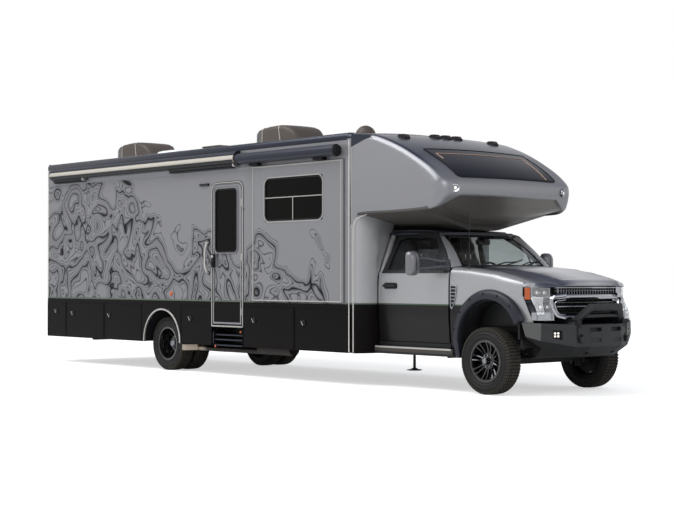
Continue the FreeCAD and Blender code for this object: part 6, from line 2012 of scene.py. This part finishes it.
fittings = Shape()
fittings.prism(((-1.285, 2.825), (-1.312, 2.83), (-1.322, 2.845), (-1.312, 2.862),
    (-1.285, 2.866)), "X", -1.075, -0.86)
fittings.pad("Y", (-5.19, 1.835), (-5.118, 1.945), 0.012, 4, ((-1.285, -0.006), (-1.293, -0.006),
    (-1.303, 0.004)))
for sign in (-1, 1):
    fittings.turn([(0.001, 0.0), (0.036, 0.0), (0.036, 0.01), (0.028, 0.018), (0.001, 0.021)],
        (-1.851, sign * 1.285, 1.205), 1, 24, sign=sign)
for y in (-1.08, -0.22, 0.0, 0.22, 1.08):
    fittings.pad("X", (y - 0.05, 3.215), (y + 0.05, 3.255), 0.01, 3, behind((0.0, 0.0),
        (0.012, 0.0), (0.022, 0.008)), 2)
for y in (-1.14, 1.14):
    fittings.pad("X", (y - 0.06, 1.15), (y + 0.06, 1.53), 0.02, 4, behind((0.0, -0.004),
        (0.014, -0.004), (0.02, 0.004)), 4)
    for z0, z1, paint in ((1.165, 1.275, 3), (1.285, 1.395, 1), (1.405, 1.515, 2)):
        fittings.pad("X", (y - 0.048, z0), (y + 0.048, z1), 0.015, 4, behind((0.018, 0.0),
            (0.026, 0.0), (0.032, 0.01)), paint)
fittings.pad("X", (-0.165, 0.985), (0.165, 1.155), 0.012, 3, behind((0.0, 0.0), (0.004, 0.0),
    (0.007, 0.003)), 5)
fittings.block((HOUSE_REAR - 0.02, -0.1, 1.165), (HOUSE_REAR, 0.1, 1.185))
fittings.piece("wall_lamps_and_plate", [trim_plastic, orange_lens, red_lens, bright_lamp,
    seal_rubber, blank_plate], slot="lamp_lens", bevel=0.0015)
for sign in (-1, 1):
    tail_rib = Shape()
    tail_rib.block((HOUSE_REAR - 0.0345, sign * 1.14 - 0.04, 1.302), (HOUSE_REAR - 0.028,
        sign * 1.14 + 0.04, 1.305))
    repeat(f"{'left' if sign > 0 else 'right'}_tail_lamp_ribs", GRID, tail_rib, {"Count": 20,
        "Columns": 10, "Step": (0, 0, 0.009), "Row Step": (0, 0, 0.12)}, red_lens)
hatch_rear = Shape()
outer = rounded((-0.95, 0.5), (0.95, 1.04), 0.03, 5)
inner = rounded((-0.935, 0.515), (0.935, 1.025), 0.02, 5)
hatch_rear.frame(outer, inner, "X", HOUSE_REAR - 0.006, HOUSE_REAR + 0.002)
outer = rounded((-0.62, 2.05), (0.62, 2.62), 0.1, 8)
inner = rounded((-0.6, 2.07), (0.6, 2.6), 0.085, 8)
hatch_rear.frame(outer, inner, "X", HOUSE_REAR - 0.007, HOUSE_REAR + 0.002, 1)
hatch_rear.prism(inner, "X", HOUSE_REAR - 0.003, HOUSE_REAR + 0.002, 2)
hatch_rear.block((HOUSE_REAR - 0.006, -0.012, 2.075), (HOUSE_REAR, 0.012, 2.595), 1)
hatch_rear.piece("rear_window_and_panel", [black_gelcoat, bright_trim, privacy_glass],
    slot="window_glass", bevel=0.0015)

# %% Ladder and rear bumper
ladder, LADDER_X = Shape(), HOUSE_REAR - 0.086
for y in (0.725, 1.055):
    path = [(HOUSE_REAR - 0.004, y, 1.16), (HOUSE_REAR - 0.07, y, 1.17), (LADDER_X, y, 1.21),
        (LADDER_X, y, 2.2), (LADDER_X, y, 3.1), (HOUSE_REAR - 0.082, y, 3.24), (HOUSE_REAR - 0.062,
        y, 3.34), (HOUSE_REAR - 0.02, y, 3.42), (HOUSE_REAR + 0.05, y, 3.46), (HOUSE_REAR + 0.13,
        y, 3.465), (HOUSE_REAR + 0.15, y, 3.42)]
    ladder.pipe(path, 0.0125, sides=14)
    for z in (1.75, 2.55, 3.05):
        ladder.pipe([(LADDER_X, y, z), (HOUSE_REAR + 0.002, y, z)], 0.01, sides=10)
        ladder.turn([(0.001, 0.0), (0.026, 0.0), (0.024, -0.008), (0.001, -0.008)],
            (HOUSE_REAR, y, z), 0, 16, "X")
ladder.piece("ladder_rails", bright_trim, slot="ladder_aluminium", nodes=("rear_ladder",))
rung = Shape()
rung.skin([[(LADDER_X + 0.016 * math.cos(a), y, 1.35 + 0.01 * math.sin(a))
    for a in (math.tau * k / 10 for k in range(10))] for y in (0.735, 1.045)])
for x in (-0.007, 0.007):
    rung.block((LADDER_X + x - 0.002, 0.745, 1.358), (LADDER_X + x + 0.002, 1.035, 1.362))
repeat("ladder_rungs", GRID, rung, {"Count": 7, "Step": (0, 0, 0.3)}, bright_trim)
rear_bar = Shape()
section = [(HOUSE_REAR - 0.004, 0.49), (HOUSE_REAR - 0.045, 0.484), (HOUSE_REAR - 0.058, 0.496),
    (HOUSE_REAR - 0.06, 0.604), (HOUSE_REAR - 0.048, 0.618), (HOUSE_REAR - 0.004, 0.62)]
rear_bar.skin([[(x + bend, y, z) for x, z in section] for y, bend in ((-1.175, 0.05),
    (-1.16, 0.02), (-1.12, 0.0), (1.12, 0.0), (1.16, 0.02), (1.175, 0.05))])
rear_bar.block((HOUSE_REAR - 0.05, -0.5, 0.618), (HOUSE_REAR - 0.005, 0.5, 0.623), 1)
for y in (-1.0, 1.0):
    rear_bar.pad("X", (y - 0.05, 0.53), (y + 0.05, 0.575), 0.01, 3, behind((0.055, 0.0),
        (0.064, 0.0)), 2)
rear_bar.piece("rear_bumper_bar", [bumper_coat, bright_trim, red_lens], slot="bumper_black",
    nodes=("rear_bumper",), bevel=0.003)

# %% [markdown]
# The levelling jacks are hydraulic rams with a round foot. The front pair hangs low, and the rear
# pair is drawn up behind the skirt.

# %% Levelling jacks
jacks = Shape()
for x, foot in ((2.8, 0.2), (-3.77, 0.425)):
    for y in (-0.52, 0.52):
        jacks.turn([(0.001, 0.0), (0.085, 0.0), (0.105, 0.006), (0.105, 0.012), (0.05, 0.02),
            (0.03, 0.034), (0.001, 0.034)], (x, y, foot), 0, 28, "Z")
        jacks.turn([(0.001, 0.03), (0.019, 0.03), (0.019, 0.56 - foot), (0.001, 0.56 - foot)],
            (x, y, foot), 1, 20, "Z")
        jacks.turn([(0.001, 0.5), (0.036, 0.5), (0.04, 0.51), (0.04, 0.66), (0.001, 0.66)],
            (x, y, 0.0), 0, 24, "Z")
        jacks.block((x - 0.07, y - 0.09, 0.62), (x + 0.07, y + 0.09, 0.66))
jacks.piece("jack_rams", [cap_grey, chassis_paint], slot="chassis_steel",
    nodes=("leveling_jacks",), bevel=0.002)

# %% [markdown]
# ## On the roof
# Each air conditioner is a low plastic shroud: steep and slotted at the rear, long and falling at
# the front, with a pale joint line across it. Between them are a clear dome, a lidded vent and,
# on the cap's edge, a ball-shaped aerial.

# %% Air-conditioner shrouds
ROOF_TOP = 3.488
SHROUD = ((0.0, 0.03, 0.3), (0.004, 0.16, 0.315), (0.015, 0.215, 0.325), (0.05, 0.243, 0.335),
    (0.16, 0.262, 0.342), (0.33, 0.278, 0.345), (0.52, 0.284, 0.345), (0.68, 0.272, 0.34),
    (0.79, 0.236, 0.328), (0.87, 0.18, 0.305), (0.925, 0.11, 0.275), (0.955, 0.035, 0.245))


def shroud_ring(x, high, half, start):
    """A cross-section: upright sides, round shoulders and a slightly crowned top."""
    corner = min(0.07, high * 0.6)
    points = [(-half - 0.004, 0.0), (-half, high - corner)]
    points += [(-half + corner - corner * math.cos(a), high - corner + corner * math.sin(a))
        for a in (math.radians(d) for d in (22, 45, 68, 90))]
    points += [(y, high + 0.006 * (1 - (y / half) ** 2)) for y in (-half * 0.5, 0.0, half * 0.5)]
    points += [(-y, z) for y, z in points[5:1:-1]] + [(half, high - corner), (half + 0.004, 0.0)]
    return [(start + x, y, ROOF_TOP + z) for y, z in points]


COOLERS_X = (-4.91, -0.95)
coolers = Shape()
for start in COOLERS_X:
    coolers.skin([shroud_ring(x, z, w, start) for x, z, w in SHROUD])
    for at, lean in ((0.165, 0.0), (0.56, 0.06)):
        rings = []
        for x in (at, at + 0.014):
            z, w = (float(np.interp(x, [p[0] for p in SHROUD], [p[k] for p in SHROUD]))
                for k in (1, 2))
            rings.append([(px + lean * (1 - (pz - ROOF_TOP) / z), py, pz)
                for px, py, pz in shroud_ring(x, z + 0.004, w + 0.004, start)])
        coolers.skin(rings, 1)
    coolers.skin([shroud_ring(x, 0.012, 0.35, start) for x in (-0.004, 0.955)], 2)
coolers.piece("cooler_shrouds", [cooler_plastic, bright_trim, trim_plastic], slot="roof_plastic",
    nodes=("air_conditioners",), angle=30)
for number, start in enumerate(COOLERS_X):
    slat = Shape()
    slat.block((start - 0.004, -0.26, 3.54), (start + 0.01, -0.005, 3.548))
    slat.block((start - 0.004, 0.005, 3.54), (start + 0.01, 0.26, 3.548))
    for side in (-1, 1):
        slat.block((start + 0.03, side * 0.333 - 0.01, 3.54), (start + 0.145, side * 0.333 + 0.01,
            3.548))
    repeat(f"cooler_louvres_{number}", GRID, slat, {"Count": 7, "Step": (0, 0, 0.021)}, cap_grey)

# %% Skylight, vent, aerial ball
fitted = Shape()
fitted.skin([raised(rounded((-3.66, -0.41), (-3.04, 0.01), max(0.02, 0.05 + out * 0.1), 5, -out),
    "Z", z) for out, z in ((0.0, 3.486), (0.0, 3.5), (-0.02, 3.502), (-0.025, 3.53),
    (-0.05, 3.556), (-0.1, 3.572), (-0.17, 3.58))])
fitted.pad("Z", (-2.3, -0.41), (-1.83, 0.01), 0.03, 5, ((3.486, 0.0), (3.505, 0.0), (3.507, 0.012),
    (3.535, 0.012), (3.54, 0.0), (3.556, 0.006), (3.565, 0.06)), 1)
ball = [(0.001, 0.132), (0.03, 0.129), (0.07, 0.114), (0.105, 0.088), (0.13, 0.055),
    (0.146, 0.015), (0.149, -0.005), (0.001, -0.005)]
fitted.turn(ball, (1.53, -0.27, ROOF_TOP), 1, 40, "Z")
fitted.turn([(0.001, 0.006), (0.16, 0.006), (0.164, -0.04), (0.001, -0.04)], (1.53, -0.27, 3.486),
    2, 40, "Z")
for x, y in ((-2.9, 0.72), (0.5, 0.8), (-4.6, 0.85)):
    fitted.turn([(0.001, 0.075), (0.05, 0.07), (0.055, 0.055), (0.03, 0.05), (0.028, 0.0),
        (0.001, 0.0)], (x, y, 3.44), 0, 20, "Z")
fitted.piece("roof_dome_vent_aerial", [skylight_plastic, cooler_plastic, trim_plastic],
    slot="roof_plastic", nodes=("roof_fittings",), bevel=0.002)

# %% [markdown]
# ## Inside the cab
# Through the glass show two high-backed seats, a dashboard, the steering wheel and the inside
# mirror. The cushions are foam under cloth, so each starts as a slightly small closed shape, and
# a pressure from inside swells it against its own cloth. How far a point may move is capped. The
# dashboard and wheel are moulded parts, so they are drawn.

# %% Padded seat cushions and backs
def cushion_mesh(name, outlines):
    """A closed soft block from rounded cross-sections, each given as (centre, half sizes)."""
    shape = Shape()
    rings = []
    for (x, y, z), (half_y, half_other), flat in outlines:
        ring = []
        for k in range(28):
            a = math.tau * k / 28
            c, s = math.cos(a), math.sin(a)
            u = half_y * math.copysign(abs(c) ** 0.5, c)
            v = half_other * math.copysign(abs(s) ** 0.5, s)
            ring.append((x + (0 if flat else v), y + u, z + (v if flat else 0)))
        rings.append(ring)
    return shape.skin(rings)


def padded_piece(name, shape, cap, nodes=()):
    made = shape.piece(name, seat_cloth, slot="seat_fabric", nodes=nodes, angle=180)
    remesh = made.modifiers.new("remesh", "REMESH")
    remesh.mode, remesh.voxel_size = "VOXEL", 0.012
    grown = made.evaluated_get(bpy.context.evaluated_depsgraph_get())
    fine = bpy.data.meshes.new_from_object(grown)
    made.modifiers.remove(remesh)
    made.data = fine
    before = np.array([v.co[:] for v in fine.vertices])
    cloth = made.modifiers.new("cloth", "CLOTH")
    cloth.settings.quality = 5
    cloth.settings.mass = 0.3
    cloth.settings.tension_stiffness = cloth.settings.compression_stiffness = 12
    cloth.settings.shear_stiffness = 6
    cloth.settings.bending_stiffness = 1.5
    cloth.settings.use_pressure = True
    cloth.settings.uniform_pressure_force = 4
    cloth.settings.effector_weights.gravity = 0
    cloth.point_cache.frame_start, cloth.point_cache.frame_end = 1, 16
    for frame_number in range(1, 17):
        bpy.context.scene.frame_set(frame_number)
    swollen = bpy.data.meshes.new_from_object(made.evaluated_get(
        bpy.context.evaluated_depsgraph_get()))
    made.modifiers.remove(cloth)
    after = np.array([v.co[:] for v in swollen.vertices])
    moved = after - before
    far = np.linalg.norm(moved, axis=1, keepdims=True)
    moved *= np.minimum(1.0, cap / np.maximum(far, 1e-9))
    swollen.vertices.foreach_set("co", (before + moved).ravel())
    made.data = swollen
    bpy.context.scene.frame_set(1)
    print(name, "swelled by up to", round(float(np.linalg.norm(moved, axis=1).max()), 3), "m")
    made.data.materials.clear()
    made.data.materials.append(seat_cloth)
    made.data.shade_smooth()
    return made


seats_low, seats_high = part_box("seats")
SEAT_Y = 0.42
for side, y in (("left", SEAT_Y), ("right", -SEAT_Y)):
    base = cushion_mesh("base", [((2.93, y, 1.145), (0.19, 0.03), True), ((2.94, y, 1.145),
        (0.215, 0.055), True), ((3.1, y, 1.15), (0.222, 0.06), True), ((3.32, y, 1.158),
        (0.222, 0.06), True), ((3.385, y, 1.155), (0.212, 0.05), True), ((3.4, y, 1.15),
        (0.19, 0.025), True)])
    padded_piece(f"{side}_seat_cushion", base, 0.022, ("seats",) if side == "left" else ())
    back = cushion_mesh("back", [((2.975, y, 1.2), (0.18, 0.03), False), ((2.97, y, 1.22),
        (0.205, 0.052), False), ((2.945, y, 1.4), (0.215, 0.058), False), ((2.915, y, 1.62),
        (0.205, 0.052), False), ((2.9, y, 1.72), (0.175, 0.045), False), ((2.898, y, 1.735),
        (0.15, 0.025), False)])
    padded_piece(f"{side}_seat_back", back, 0.022)
    head = cushion_mesh("head", [((2.885, y, 1.775), (0.09, 0.02), False), ((2.884, y, 1.79),
        (0.115, 0.038), False), ((2.88, y, 1.86), (0.118, 0.042), False), ((2.876, y, 1.925),
        (0.105, 0.036), False), ((2.876, y, 1.94), (0.085, 0.02), False)])
    padded_piece(f"{side}_head_rest", head, 0.014)
bases = Shape()
for y in (SEAT_Y, -SEAT_Y):
    bases.skin([[(x, y + a, z) for a, z in ((-0.2, 1.0), (0.2, 1.0), (0.215, 1.04), (0.215, 1.085),
        (-0.215, 1.085), (-0.215, 1.04))] for x in (2.86, 3.38)])
    bases.block((2.92, y - 0.16, 0.66), (3.34, y + 0.16, 1.0))
    for post in (-0.05, 0.05):
        bases.pipe([(2.89, y + post, 1.7), (2.882, y + post, 1.8)], 0.007, 1, 8)
bases.piece("seat_bases", [trim_plastic, chrome])

# %% Dashboard, steering wheel, inside mirror and visors
dash = Shape()
profile = ((3.5, 1.135), (3.455, 1.3), (3.47, 1.42), (3.52, 1.475), (3.6, 1.505), (3.74, 1.545),
    (3.86, 1.575), (3.892, 1.56), (3.892, 1.135))
rings = []
for y in np.linspace(-0.845, 0.845, 33):
    binnacle = 0.035 * math.exp(-((y - SEAT_Y) / 0.17) ** 2)
    rings.append([(x, y, z + (binnacle if 3.5 < x < 3.7 else 0.0) - 0.015 * (y / 0.85) ** 2)
        for x, z in profile])
dash.skin(rings)
for y in (-0.68, 0.0, 0.68):
    dash.block((3.448, y - 0.075, 1.375), (3.462, y + 0.075, 1.42), 1)
dash.block((3.444, -0.14, 1.17), (3.47, 0.14, 1.345), 1)
dash.piece("dashboard_moulding", [trim_plastic, seal_rubber], nodes=("dashboard",), bevel=0.004)
wheel = Shape()
tilt = Matrix.Rotation(math.radians(-28), 3, "Y")
rim_path = [(0.0, 0.185 * math.cos(a), 0.185 * math.sin(a)) for a in (math.tau * k / 36
    for k in range(36))]
wheel.pipe(rim_path, 0.0145, 0, 10, closed=True)
for a in (0, 180, 270):
    c, s = math.cos(math.radians(a)), math.sin(math.radians(a))
    wheel.pipe([(0.01, 0.05 * c, 0.05 * s), (0.015, 0.12 * c, 0.12 * s),
        (0.0, 0.18 * c, 0.18 * s)], [0.022, 0.014, 0.012], 0, 8)
wheel.turn([(0.001, -0.022), (0.055, -0.018), (0.066, 0.0), (0.06, 0.03), (0.001, 0.04)],
    (0, 0, 0), 0, 24, "X")
wheel.pipe([(0.02, 0, 0), (0.17, 0, -0.005)], 0.024, 0, 12)
wheel.moved(tilt, (3.375, SEAT_Y, 1.49))
wheel.piece("steering_wheel", trim_plastic)
mirror_inside = Shape()
mirror_inside.pad("X", (-0.125, 1.885), (0.125, 1.955), 0.022, 5, ((3.555, 0.004), (3.56, 0.0),
    (3.585, 0.0), (3.598, 0.012)))
mirror_inside.pipe([(3.595, 0, 1.93), (3.64, 0, 1.985)], 0.012, 0, 8)
for y in (SEAT_Y, -SEAT_Y):
    mirror_inside.skin([[(x, y + a, height + b) for a, b in rounded((-0.19, -0.008), (0.19, 0.008),
        0.007, 3)] for x, height in ((3.42, 2.015), (3.56, 1.985))], 1)
mirror_inside.piece("inside_mirror_and_visors", [trim_plastic, seal_rubber])
print("seats from", round(seats_low[0], 2), "to", round(seats_high[0], 2))
